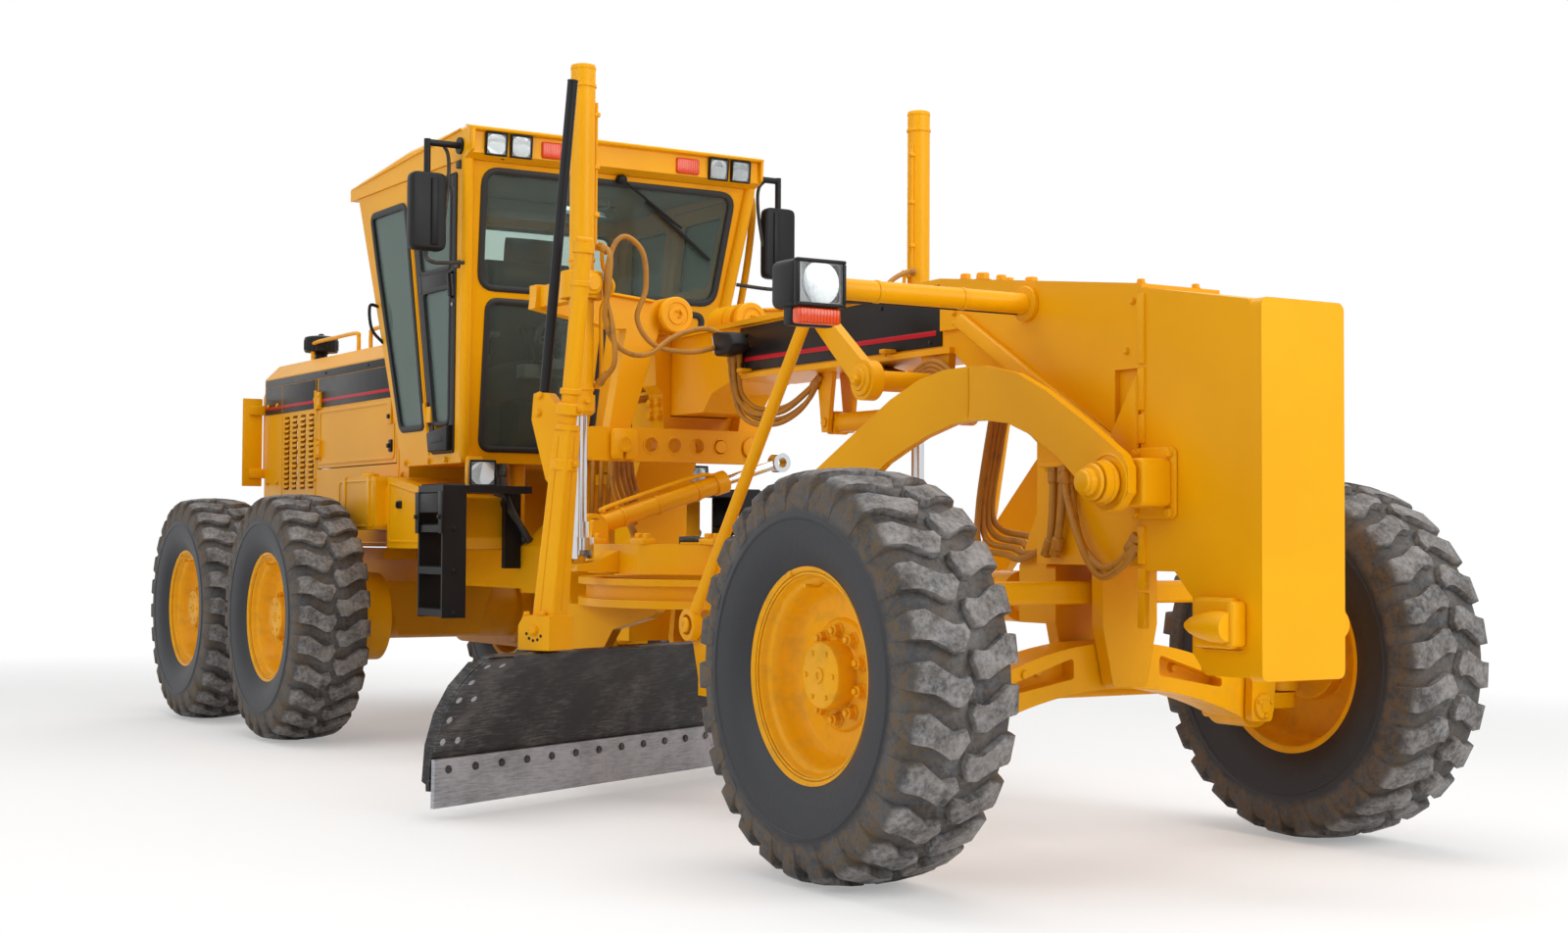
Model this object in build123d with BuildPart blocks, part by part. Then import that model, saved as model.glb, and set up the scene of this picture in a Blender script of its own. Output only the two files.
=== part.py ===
"""Articulated motor grader: six wheels, a hinged gooseneck front frame, a drawbar with circle and
moldboard, a mid-mounted scarifier, a hollow cab and an engine hood with side doors.

Millimetres.  +X points forward, +Y to the machine's left, +Z up.  The origin is on the ground at the
middle of the machine's overall length and width.  Lengths along the machine are given from the front
axle: fx(d) is the place that lies d ahead of that axle.
"""
import math
import os

from build123d import *

# ---------------------------------------------------------------- driving sizes
overall_length = 8540
front_overhang = 940              # front axle to the face of the push block
front_axle_x = overall_length / 2 - front_overhang
wheelbase = 6100                  # front axle to the middle of the tandem
tandem_spacing = 1530
track = 2070
running_gap = 6                   # clearance between pieces that pass each other
pin_fit = 0.3                     # radial clearance of a pin in its hole
seat_gap = 0.5                    # between pieces that are bolted face to face
open_eye_gap = 16                 # radial clearance of an eye where a closed linkage is opened
drop_gap = 14                     # and where its drift is small
stud_radius = 22                  # of the studs under the lift rods
stud_gap = 10                     # beside a stud; it leaves its socket forwards

# wheels
tyre_radius = 655
tyre_width = 400
tyre_sides = 19                   # flats of the casing, with a lug of each shoulder on every flat
lug_depth = 32
lug_width = 72
lug_reach = 146                   # from the shoulder towards the middle of the tread
lug_sweep = 40                    # how far a lug's inner end leads its outer end
shoulder_inset = 24
rim_width = 312
rim_flange_radius = 345
rim_flange_wall = 9
rim_barrel_radius = 318
rim_wall = 14
disc_wall = 22
hub_radius = 150
hub_reach = 62
hub_bore_radius = 64
hub_cap_radius = 104
hub_cap_reach = 112
spindle_radius = hub_bore_radius - pin_fit

# front axle, lean and steering
axle_half_depth = 85
axle_pin_z = 662
axle_pin_radius = 36
axle_lug_wall = 55
axle_lug_half_width = 120
lean_pin_y = 640
lean_pin_z = 500
lean_pin_radius = 36
lean_boss_radius = 78
lean_bar_z = 905
lean_bar_height = 76
lean_bar_half_depth = 58
lean_bar_pin_radius = 20
lean_ear_wall = 34
kingpin_y = 845
kingpin_radius = 34
kingpin_lug_wall = 56
knuckle_low = 544
knuckle_high = 766
knuckle_radius = 68
steer_arm_length = 236
steer_arm_wall = 30
tie_rod_z = 545
tie_rod_radius = 19
tie_neck_radius = 12
tie_pin_radius = 12
tie_eye_gap = 21
tie_eye_radius = 40

# articulation
hitch_x = -3500
hitch_pin_radius = 45
hitch_gap = 8
hitch_lug_wall = 60
hitch_plate_wall = 50
hitch_lug_radius = 120
hitch_lower_z = 660
hitch_upper_z = 1400

# gooseneck frame and push block
frame_half_width = 150
frame_flange_half_width = 172
frame_flange_wall = 22
block_half_width = 176
block_front_wall = 58
block_side_wall = 28
draft_pin_x = 452
draft_pin_z = 1265
draft_pin_radius = 44
bar_x = -187
bar_z = 1902
bar_radius = 36
lamp_y = (1050, 1200)
lamp_z = (1822, 2000)

# blade lift
lift_x = -2280
lift_y = 860
lift_barrel_radius = 52
lift_rod_radius = 30
lift_barrel_bottom_z = 1605
lift_barrel_top_z = 3040
lift_pin_z = 1040
lift_ball_radius = 60
yoke_z = 2130
yoke_height = 110
yoke_radius = 88
yoke_pin_radius = 20
saddle_x = (-2930, -2796)
saddle_z = (1575, 2045)
arm_x = (-2790, -2720)
arm_pivot_y = 195
arm_pivot_z = 2085
arm_pivot_radius = 82
arm_pin_radius = 40
arm_foot_z = 1497
arm_foot_radius = 66
link_bar_x = (-2714, -2660)
link_bar_y = (-642, 227)
link_bar_height = 150
link_hole_pitch = 118
link_hole_radius = 32
shift_foot = (-650, 1130)         # centreshift cylinder's eye at the drawbar, as (y, z)
shift_head = (300, 1430)          # and its head, at the saddle
shift_x = -2585
shift_barrel_radius = 42
shift_rod_radius = 22
shift_pin_radius = 22

# drawbar, circle and blade
ball_x = -450
ball_z = 880
ball_radius = 62
socket_radius = 92
circle_x = -2300
circle_radius = 765
circle_inner_radius = 640
circle_bottom_z = 795
circle_height = 120
circle_turn = 25                  # the circle stands turned this far, right end of the blade forward
drawbar_floor_z = 935
drawbar_top_z = 1058
drawbar_rear_x = -2700
blade_length = 3430
blade_wall = 22
blade_edge_x = -436               # square to the blade, from the circle's centre
blade_edge_z = 45
blade_top_x = -145
blade_top_z = 630
blade_sagitta = 105
blade_shift = 146.4                 # the blade stands shifted this far to the left
cutting_edge_height = 152
cutting_edge_wall = 18
tip_pin_x = -590
tip_pin_z = 330
tip_pin_radius = 28
blade_arm_y = 400                 # inner face of the arms under the circle
blade_arm_wall = 60
rail_size = 46                    # the two rails on the blade's back

# mast on the blade
mast_inset = 349                  # from the blade's right end to the mast
mast_lean = 6
mast_box_z = 780
mast_post_z = 1500
mast_tube_z = 2230
mast_tube_radius = 34
pole_offset = 132
pole_z = (1560, 2870)
pole_radius = 19

# scarifier
draft_arm_y = 342                 # middle of the arm's plate at the crown
draft_arm_wall = 34
crown_x = -280
draft_splay = 12.2                # plan angle of the rear legs
scarifier_x = (-1600, -1470)
scarifier_half_length = 590
scarifier_z = (470, 670)
shank_count = 11
shank_width = 36
shank_tip_z = 262
link_foot_x = -1620
link_foot_z = 745
link_foot_y = 700
rocker_x = -760
rocker_z = 1660
rocker_top_x = -1090
rocker_top_z = 1930
rocker_y = 452
rocker_shaft_radius = 38
link_radius = 24
crank_length = 100
crank_pin_radius = 18
link_pin_radius = 16
link_eye_gap = 24                 # the lift links' lower eyes drift up to 18 mm
lift_cylinder_rear_x = -1640

# rear frame, tandems and engine
rail_y = (262, 352)
rail_z = (830, 1020)
axle_housing_radius = 165
tandem_y = 700
tandem_half_width = 90
tandem_height = 470
tandem_length = tandem_spacing + 620

# cab
cab_floor_z = 1450
cab_top_z = 2885
cab_foot_x = (-4800, -4020)       # rear and front at the floor
cab_head_x = (-5100, -3670)       # rear and front under the roof
cab_foot_half_width = 652
cab_head_half_width = 795
cab_wall = 60
roof_x = (-5200, -3590)
roof_half_width = 805
door_rear_x = -4385
door_front_inset = 84             # behind the slanting front edge
door_z = (1500, 2840)
pane_border = 62
mirror_arm_rise = 65              # the mirrors' arms, above the top of the cab's walls
mirror_arm_drop = 150             # from an arm down to the mirror's top edge
mirror_x = -3700
mirror_y = 975
mirror_width = 170
mirror_height = 360

# hood
hood_x = (-7440, -4985)
hood_half_width = 540
hood_bottom_z = 1035
hood_top_z = 2165
hood_wall = 30
hood_shoulder = 90
hood_door_x = (-6440, -5160)
hood_door_z = (1480, 2010)
hinge_radius = 12
counterweight_x = (-7600, -7450)
tow_pin_radius = 26

SIDES = (("right", -1), ("left", 1))


def fx(distance):
    """Place on the X axis at this distance ahead of the front axle."""
    return front_axle_x + distance


def from_axle(points):
    """Side-view points given from the front axle, moved to the machine's own origin."""
    return [(fx(x), z) for x, z in points]


def prism(plane, points, length, mode=Mode.ADD, rounding=0):
    """Adds the solid that a closed outline on this plane sweeps along the plane's normal."""
    with BuildSketch(plane) as outline:
        with BuildLine():
            Polyline(*points, close=True)
        make_face()
        if rounding:
            fillet(outline.vertices(), radius=rounding)
    extrude(outline.sketch, amount=length, mode=mode)


def side_plate(points, y_span, mode=Mode.ADD, rounding=0):
    """Adds a plate with this side-view (X, Z) outline between two Y planes."""
    low, high = sorted(y_span)
    prism(Plane.XZ.offset(-high), points, high - low, mode, rounding)


def cross_plate(points, x_span, mode=Mode.ADD, rounding=0):
    """Adds a plate with this front-view (Y, Z) outline between two distances from the axle."""
    low, high = sorted(x_span)
    prism(Plane.YZ.offset(fx(low)), points, high - low, mode, rounding)


def level_plate(points, z_span, mode=Mode.ADD, rounding=0):
    """Adds a plate with this plan (X, Y) outline between two levels."""
    low, high = sorted(z_span)
    prism(Plane.XY.offset(low), points, high - low, mode, rounding)


def block(x_span, y_span, z_span, mode=Mode.ADD):
    """Adds a box from its spans; the X span is measured from the front axle."""
    spans = (tuple(fx(x) for x in x_span), y_span, z_span)
    centre = [(low + high) / 2 for low, high in spans]
    size = [abs(high - low) for low, high in spans]
    with Locations(tuple(centre)):
        Box(*size, mode=mode)


def bar(start, end, radius, mode=Mode.ADD):
    """Adds a round bar between two places, each given as (from the axle, y, z)."""
    begin = Vector(fx(start[0]), start[1], start[2])
    run = Vector(fx(end[0]), end[1], end[2]) - begin
    with Locations(Plane(origin=begin, z_dir=run).location):
        Cylinder(radius, run.length, align=(Align.CENTER, Align.CENTER, Align.MIN), mode=mode)


def bore(start, end, radius):
    """Cuts a round hole between two places."""
    bar(start, end, radius, mode=Mode.SUBTRACT)


def ball(place, radius, mode=Mode.ADD):
    with Locations((fx(place[0]), place[1], place[2])):
        Sphere(radius, mode=mode)


def span_of(side, span):
    """A Y span on the given side of the machine, lowest value first."""
    return tuple(sorted(side * value for value in span))


def turned(side, points):
    """Front-view points with their Y on the given side."""
    return [(side * y, z) for y, z in points]


def strap(start, end, start_half, end_half):
    """The four corners of a tapering strap between two points of a plane."""
    run = Vector(end[0] - start[0], end[1] - start[1])
    across = Vector(-run.Y, run.X) / run.length
    return [
        (start[0] + across.X * start_half, start[1] + across.Y * start_half),
        (end[0] + across.X * end_half, end[1] + across.Y * end_half),
        (end[0] - across.X * end_half, end[1] - across.Y * end_half),
        (start[0] - across.X * start_half, start[1] - across.Y * start_half),
    ]


def save(builder, name):
    builder.part.label = name
    export_step(builder.part, f"parts/{name}.step")


os.makedirs("parts", exist_ok=True)

# ---------------------------------------------------------------- wheels
flat_angle = 360 / tyre_sides
lug_half_span = lug_width / 2 + lug_sweep / 2
lug_top = math.sqrt(tyre_radius ** 2 - lug_half_span ** 2)
casing_radius = lug_top - lug_depth
tread_half = tyre_width / 2 - shoulder_inset
ground_turn = math.degrees(math.atan2(lug_half_span, lug_top))


def wheel_ring(out, radius):
    """A flat-sided ring section of the wheel, at this place along its axle."""
    plane = Plane(origin=(0, out, 0), x_dir=(0, 0, -1), z_dir=(0, 1, 0))
    with BuildSketch(plane, mode=Mode.PRIVATE) as ring:
        RegularPolygon(radius, tyre_sides, major_radius=False, rotation=flat_angle / 2)
    return ring.sketch


half_tyre = tyre_width / 2
bead_radius = rim_flange_radius + seat_gap * 8
bead_out = rim_width / 2 + 12
casing_bands = ((-bead_out, bead_radius), (-half_tyre, 490), (-tread_half, casing_radius),
                (tread_half, casing_radius), (half_tyre, 490), (bead_out, bead_radius))
with BuildPart() as tyre_form:
    loft([wheel_ring(out, radius) for out, radius in casing_bands], ruled=True)
    loft([wheel_ring(out, rim_barrel_radius + 1) for out in (-half_tyre, half_tyre)], ruled=True,
         mode=Mode.SUBTRACT)
    for out in (-1, 1):
        bead_band = (out * (rim_width / 2 - 14), out * half_tyre)
        loft([wheel_ring(side_out, bead_radius) for side_out in bead_band], ruled=True, mode=Mode.SUBTRACT)
    for shoulder in (-1, 1):
        outer = shoulder * tread_half
        inner = outer - shoulder * lug_reach
        low, high = -lug_half_span, lug_half_span
        with BuildPart(mode=Mode.PRIVATE) as lug:
            prism(Plane(origin=(0, 0, -lug_top), x_dir=(0, 1, 0), z_dir=(0, 0, 1)),
                  [(outer, low * -shoulder), (outer, (low + lug_width) * -shoulder),
                   (inner, high * -shoulder), (inner, (high - lug_width) * -shoulder)], lug_depth + 2)
        with Locations(*[Location((0, 0, 0), (0, n * flat_angle, 0)) for n in range(tyre_sides)]):
            add(lug.part)

with BuildPart() as rim_form:
    loft([wheel_ring(out, rim_barrel_radius) for out in (-rim_width / 2, rim_width / 2)], ruled=True)
    for out in (-1, 1):
        loft([wheel_ring(side_out, rim_flange_radius)
              for side_out in (out * (rim_width / 2 - rim_flange_wall), out * rim_width / 2)], ruled=True)
    # The dish: open from the outside down to the disc, with a shallower pocket behind it.
    dish = ((disc_wall, 232), (disc_wall + 46, rim_barrel_radius - rim_wall - 26),
            (rim_width / 2 + 1, rim_barrel_radius - rim_wall))
    loft([wheel_ring(out, radius) for out, radius in dish], ruled=True, mode=Mode.SUBTRACT)
    loft([wheel_ring(out, rim_barrel_radius - rim_wall) for out in (-rim_width / 2 - 1, 0)], ruled=True,
         mode=Mode.SUBTRACT)
    axle_line = Plane(origin=(0, 0, 0), x_dir=(1, 0, 0), z_dir=(0, 1, 0))
    with Locations(axle_line.offset(-hub_reach).location):
        Cylinder(hub_radius, hub_reach + disc_wall + 14, align=(Align.CENTER, Align.CENTER, Align.MIN))
        Cylinder(hub_cap_radius, hub_reach + hub_cap_reach, align=(Align.CENTER, Align.CENTER, Align.MIN))
    with Locations(axle_line.offset(-hub_reach - 1).location):
        Cylinder(hub_bore_radius, hub_reach + 31, align=(Align.CENTER, Align.CENTER, Align.MIN),
                 mode=Mode.SUBTRACT)

tandem_wheel_x = {"front": -wheelbase + tandem_spacing / 2, "rear": -wheelbase - tandem_spacing / 2}
WHEELS = []                       # name, distance from the front axle, side
for side_name, side in SIDES:
    WHEELS.append((f"front_{side_name}", 0, side))
    for place, distance in tandem_wheel_x.items():
        WHEELS.append((f"tandem_{place}_{side_name}", distance, side))
for name, distance, side in WHEELS:
    for kind, form in (("tyre", tyre_form), ("rim", rim_form)):
        with BuildPart() as wheel_part:
            with Locations(Location((fx(distance), side * track / 2, tyre_radius), (0, 0, 0))):
                add(form.part if side > 0 else mirror(form.part, about=Plane.XZ, mode=Mode.PRIVATE),
                    rotation=(0, -ground_turn, 0))
        save(wheel_part, f"{kind}_{name}")

# ---------------------------------------------------------------- front axle, lean and steering
with BuildPart() as front_axle:
    with BuildSketch(Plane.YZ.offset(fx(-axle_half_depth))) as beam:
        with BuildLine():
            ThreePointArc((-lean_pin_y, lean_pin_z + 70), (0, 738), (lean_pin_y, lean_pin_z + 70))
            Line((lean_pin_y, lean_pin_z + 70), (lean_pin_y, lean_pin_z - 70))
            ThreePointArc((lean_pin_y, lean_pin_z - 70), (0, 580), (-lean_pin_y, lean_pin_z - 70))
            Line((-lean_pin_y, lean_pin_z - 70), (-lean_pin_y, lean_pin_z + 70))
        make_face()
    extrude(beam.sketch, amount=2 * axle_half_depth)
    # Pockets in both faces leave the beam an I section between its pivot and its ends.
    for low, high in ((-axle_half_depth - 1, -24), (24, axle_half_depth + 1)):
        for side in (-1, 1):
            cross_plate(turned(side, [(190, 620), (480, 570), (480, 600), (190, 690)]), (low, high),
                        Mode.SUBTRACT, rounding=12)
    for side in (-1, 1):
        ends = [(x, side * lean_pin_y, lean_pin_z) for x in (-axle_half_depth, axle_half_depth)]
        bar(*ends, lean_boss_radius)
        bore(*ends, lean_pin_radius + pin_fit)
    bore((-axle_half_depth, 0, axle_pin_z), (axle_half_depth, 0, axle_pin_z), axle_pin_radius + pin_fit)
save(front_axle, "front_axle")

ear_x = (axle_half_depth + running_gap, axle_half_depth + running_gap + lean_ear_wall)
kingpin_lugs = ((knuckle_low - running_gap - kingpin_lug_wall, knuckle_low - running_gap),
                (knuckle_high + running_gap, knuckle_high + running_gap + kingpin_lug_wall))
lug_half_depth = 58
for side_name, side in SIDES:
    pin_line = [(x, side * lean_pin_y, lean_pin_z) for x in (-ear_x[1], ear_x[1])]
    bar_line = [(x, side * lean_pin_y, lean_bar_z) for x in (-ear_x[1], ear_x[1])]
    with BuildPart() as lean_bracket:
        for fore in (-1, 1):
            cross_plate(
                turned(side, [(lean_pin_y - 58, lean_pin_z - 52), (lean_pin_y + 44, lean_pin_z - 56),
                              (lean_pin_y + 64, lean_pin_z + 100), (lean_pin_y + 60, 850),
                              (lean_pin_y + 42, lean_bar_z + 44), (lean_pin_y - 42, lean_bar_z + 44),
                              (lean_pin_y - 50, 640)]),
                (fore * ear_x[0], fore * ear_x[1]), rounding=22)
        block((-ear_x[0] - 1, ear_x[0] + 1), span_of(side, (lean_pin_y + 34, lean_pin_y + 60)), (614, 858))
        block((-lug_half_depth, lug_half_depth), span_of(side, (lean_pin_y + 50, 750)), (626, 828))
        block((-lug_half_depth, lug_half_depth), span_of(side, (726, 752)), (kingpin_lugs[0][0], 640))
        for low, high in kingpin_lugs:
            block((-lug_half_depth, lug_half_depth), span_of(side, (727, kingpin_y)), (low, high))
            bar((0, side * kingpin_y, low), (0, side * kingpin_y, high), lug_half_depth)
        bar((0, side * kingpin_y, kingpin_lugs[0][0]), (0, side * kingpin_y, kingpin_lugs[1][1]),
            kingpin_radius)
        bar(*pin_line, lean_pin_radius)
        bore(*bar_line, lean_bar_pin_radius + pin_fit)
    save(lean_bracket, f"lean_bracket_{side_name}")

    spindle_end = side * (track / 2 + 20)
    arm_end = (-steer_arm_length, side * kingpin_y)
    with BuildPart() as knuckle:
        bar((0, side * kingpin_y, knuckle_low), (0, side * kingpin_y, knuckle_high), knuckle_radius)
        bar((0, side * kingpin_y, tyre_radius), (0, spindle_end, tyre_radius), spindle_radius)
        level_plate([(fx(-20), side * (kingpin_y - 26)), (fx(arm_end[0]), side * (kingpin_y - 24)),
                     (fx(arm_end[0]), side * (kingpin_y + 24)), (fx(-20), side * (kingpin_y + 26))],
                    (tie_rod_z + 32, tie_rod_z + 32 + steer_arm_wall))
        bar((*arm_end, tie_rod_z + 32), (*arm_end, tie_rod_z + 32 + steer_arm_wall), 34)
        bore((0, side * kingpin_y, knuckle_low), (0, side * kingpin_y, knuckle_high),
             kingpin_radius + pin_fit)
        if side < 0:
            bore((*arm_end, tie_rod_z), (*arm_end, tie_rod_z + 90), tie_pin_radius + pin_fit)
        else:
            bar((*arm_end, tie_rod_z - 26), (*arm_end, tie_rod_z + 40), tie_pin_radius)
    save(knuckle, f"knuckle_{side_name}")

with BuildPart() as lean_bar:
    with BuildSketch(Plane.XY.offset(lean_bar_z - lean_bar_height / 2)) as plan:
        with Locations((fx(0), 0)):
            Rectangle(2 * lean_bar_half_depth, 2 * (lean_pin_y - 40))
    extrude(plan.sketch, amount=lean_bar_height)
    fillet(lean_bar.edges().filter_by(Axis.Y), radius=14)
    for side in (-1, 1):
        bar((-lean_bar_half_depth, side * lean_pin_y, lean_bar_z),
            (lean_bar_half_depth, side * lean_pin_y, lean_bar_z), lean_bar_height / 2)
        block((-lean_bar_half_depth, lean_bar_half_depth), span_of(side, (lean_pin_y - 60, lean_pin_y)),
              (lean_bar_z - lean_bar_height / 2, lean_bar_z + lean_bar_height / 2))
        bar((-ear_x[1] - 8, side * lean_pin_y, lean_bar_z), (ear_x[1] + 8, side * lean_pin_y, lean_bar_z),
            lean_bar_pin_radius)
save(lean_bar, "lean_bar")

# The tie rod hangs on a swivel that turns in the right steering arm; its left eye stands open round
# the pin of the left arm.
swivel = (-steer_arm_length, -kingpin_y)
with BuildPart() as tie_rod_end:
    bar((*swivel, tie_rod_z + 21), (*swivel, tie_rod_z + 32 + steer_arm_wall + 12), tie_pin_radius)
    for fore in (-1, 1):
        block(sorted((swivel[0] + fore * 31, swivel[0] + fore * 43)), (swivel[1] - 24, swivel[1] + 24),
              (tie_rod_z - 24, tie_rod_z + 22))
    block((swivel[0] - 43, swivel[0] + 43), (swivel[1] - 24, swivel[1] + 14),
          (tie_rod_z + 21, tie_rod_z + 31.4))
    bore((swivel[0] - 50, swivel[1], tie_rod_z), (swivel[0] + 50, swivel[1], tie_rod_z), 12 + pin_fit)
save(tie_rod_end, "tie_rod_end")

with BuildPart() as tie_rod:
    bar((swivel[0], swivel[1] + 60, tie_rod_z), (swivel[0], kingpin_y - 60, tie_rod_z), tie_rod_radius)
    for start, end in ((swivel[1] + 8, swivel[1] + 64), (kingpin_y - 64, kingpin_y - 34)):
        bar((swivel[0], start, tie_rod_z), (swivel[0], end, tie_rod_z), tie_neck_radius)
    bar((swivel[0] - 25, swivel[1], tie_rod_z), (swivel[0] + 25, swivel[1], tie_rod_z), 17)
    bar((swivel[0] - 52, swivel[1], tie_rod_z), (swivel[0] + 52, swivel[1], tie_rod_z), tie_pin_radius)
    bar((swivel[0], kingpin_y, tie_rod_z - 11), (swivel[0], kingpin_y, tie_rod_z + 11), tie_eye_radius)
    bore((swivel[0], kingpin_y, tie_rod_z - 30), (swivel[0], kingpin_y, tie_rod_z + 30),
         tie_pin_radius + tie_eye_gap)
save(tie_rod, "tie_rod")

# ---------------------------------------------------------------- front frame
frame_top = [(-3040, 2000), (-2200, 2015), (-700, 2045), (400, 1915)]
frame_arch = [(-20, 1345), (-160, 1420), (-640, 1765), (-2250, 1765), (-2420, 1720), (-2500, 1640),
              (-2960, 1640), (-3176, 1300), (-3188, 600)]


def flange_strip(line, wall):
    """A strip that lies against this side-view line, on the side where wall points."""
    return from_axle(line) + from_axle([(x, z + wall) for x, z in reversed(line)])


with BuildPart() as front_frame:
    side_plate(from_axle([(-3340, 600), (-3340, 1500), (-3180, 1840)] + frame_top
                         + [(400, 1000), (-160, 1000), (-160, 1345)] + frame_arch[1:]),
               (-frame_half_width, frame_half_width))
    flange_y = (-frame_flange_half_width, frame_flange_half_width)
    top_line = [(arm_x[1] + 40, 2006)] + frame_top[1:]
    side_plate(flange_strip(top_line, -frame_flange_wall), flange_y)
    side_plate(flange_strip([(-640, 1765), (-2250, 1765)], frame_flange_wall), flange_y)
    # Cheeks of the front housing, with the slanting gusset below them.
    for side in (-1, 1):
        side_plate(from_axle([(-700, 2030), (400, 1900), (400, 1640), (272, 1640), (272, 1345), (120, 1345),
                              (-560, 1850), (-700, 1850)]),
                   span_of(side, (frame_half_width - 1, frame_flange_half_width)))
    for low in (hitch_lower_z, hitch_upper_z):
        block((hitch_x, -3330), (-hitch_lug_radius, hitch_lug_radius), (low, low + hitch_lug_wall))
        bar((hitch_x, 0, low), (hitch_x, 0, low + hitch_lug_wall), hitch_lug_radius)
    bore((hitch_x, 0, 500), (hitch_x, 0, 1600), hitch_pin_radius + pin_fit)
    # Bracket for the drawbar's ball, and the two lugs that carry the front axle's pin.
    side_plate(from_axle([(ball_x + 104, 792), (-149, 792), (-149, 1001), (-100, 1001), (-100, 1260),
                          (-205, 1260),
                          (ball_x + 104, 990)]), (-80, 80))
    bar((ball_x + 105, 0, ball_z), (ball_x + 30, 0, ball_z), 32)
    ball((ball_x, 0, ball_z), ball_radius)
    lug_inner = axle_half_depth + 10
    for fore in (-1, 1):
        cross_plate([(-axle_lug_half_width, 1001), (axle_lug_half_width, 1001), (axle_lug_half_width, 800),
                     (72, 590), (-72, 590), (-axle_lug_half_width, 800)],
                    (fore * lug_inner, fore * (lug_inner + axle_lug_wall)), rounding=18)
    bar((-lug_inner - axle_lug_wall, 0, axle_pin_z), (lug_inner + axle_lug_wall, 0, axle_pin_z),
        axle_pin_radius)
    # Hangers under the arch for the scarifier's rocker shaft, and the clevis of its cylinder.
    for side in (-1, 1):
        side_plate(from_axle([(rocker_x - 90, 1790), (rocker_x + 90, 1790), (rocker_x + 74, rocker_z - 20),
                              (rocker_x + 30, rocker_z - 66), (rocker_x - 30, rocker_z - 66),
                              (rocker_x - 74, rocker_z - 20)]),
                   span_of(side, (118, frame_half_width)))
    bore((rocker_x, -300, rocker_z), (rocker_x, 300, rocker_z), rocker_shaft_radius + pin_fit)
    for side in (-1, 1):
        side_plate(from_axle([(lift_cylinder_rear_x - 60, 1770), (lift_cylinder_rear_x + 60, 1770),
                              (lift_cylinder_rear_x + 34, rocker_z - crank_length + 40),
                              (lift_cylinder_rear_x + 22, rocker_z - crank_length - 40),
                              (lift_cylinder_rear_x - 22, rocker_z - crank_length - 40),
                              (lift_cylinder_rear_x - 34, rocker_z - crank_length + 40)]),
                   span_of(side, (46, 66)))
    bore((lift_cylinder_rear_x, -100, rocker_z - crank_length),
         (lift_cylinder_rear_x, 100, rocker_z - crank_length), crank_pin_radius + pin_fit)
    bore((bar_x, -300, bar_z), (bar_x, 300, bar_z), bar_radius + seat_gap)
save(front_frame, "front_frame")

block_side_y = (block_half_width - block_side_wall, block_half_width)
with BuildPart() as push_block:
    with BuildSketch(Plane.YZ.offset(fx(front_overhang - block_front_wall))) as face:
        with Locations((0, 1240)):
            RectangleRounded(2 * block_half_width, 1160, 26)
    extrude(face.sketch, amount=block_front_wall)
    for side in (-1, 1):
        side_plate(from_axle([(400 + seat_gap, 1902), (884, 1818), (884, 668), (700, 668), (640, 735),
                              (640, 905),
                              (560, 985), (400 + seat_gap, 985)]),
                   span_of(side, block_side_y))
    inner_y = (-block_side_y[0] - 1, block_side_y[0] + 1)
    side_plate(from_axle([(400 + seat_gap, 1902), (884, 1818), (884, 1790), (400 + seat_gap, 1874)]),
               inner_y)
    for low in (668, 985, 1440):
        block((704 if low < 700 else 561, 884), inner_y, (low, low + 24))
    block((400 + seat_gap, 428), inner_y, (1005, 1890))
    # The draft arms' pin, its hubs against the block and the caps outside the arms.
    for side in (-1, 1):
        arm_face = draft_arm_y - draft_arm_wall / 2 - running_gap
        bar((draft_pin_x, side * (block_half_width - 10), draft_pin_z),
            (draft_pin_x, side * arm_face, draft_pin_z), 78)
        bar((draft_pin_x, side * (block_half_width - 20), draft_pin_z),
            (draft_pin_x, side * (draft_arm_y + draft_arm_wall / 2 + 60), draft_pin_z), draft_pin_radius)
        bar((draft_pin_x, side * (draft_arm_y + draft_arm_wall / 2 + running_gap), draft_pin_z),
            (draft_pin_x, side * (draft_arm_y + draft_arm_wall / 2 + 58), draft_pin_z), 66)
        # Tow hook
        side_plate(from_axle([(690, 760), (840, 760), (840, 905), (780, 905), (780, 850), (750, 826),
                              (716, 850), (716, 905), (690, 890)]),
                   span_of(side, (block_half_width - 1, block_half_width + 38)))
save(push_block, "push_block")

with BuildPart() as headlight_bar:
    bar((bar_x, -lamp_y[0] - 40, bar_z), (bar_x, lamp_y[0] + 40, bar_z), bar_radius)
    for side in (-1, 1):
        bar((bar_x, side * (frame_flange_half_width + 2), bar_z),
            (bar_x, side * (frame_flange_half_width + 22), bar_z), 62)
        cross_plate(turned(side, [(lamp_y[0], lamp_z[0]), (lamp_y[1], lamp_z[0]), (lamp_y[1], lamp_z[1]),
                                  (lamp_y[0], lamp_z[1])]), (bar_x - 70, bar_x + 74), rounding=20)
        block((bar_x + 20, bar_x + 66), span_of(side, (lamp_y[0] - 100, lamp_y[0] - 4)), (1772, 1846))
        block((bar_x - 6, bar_x + 40), span_of(side, (lamp_y[0] - 62, lamp_y[0] - 42)), (1840, bar_z))
save(headlight_bar, "headlight_bar")

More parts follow.
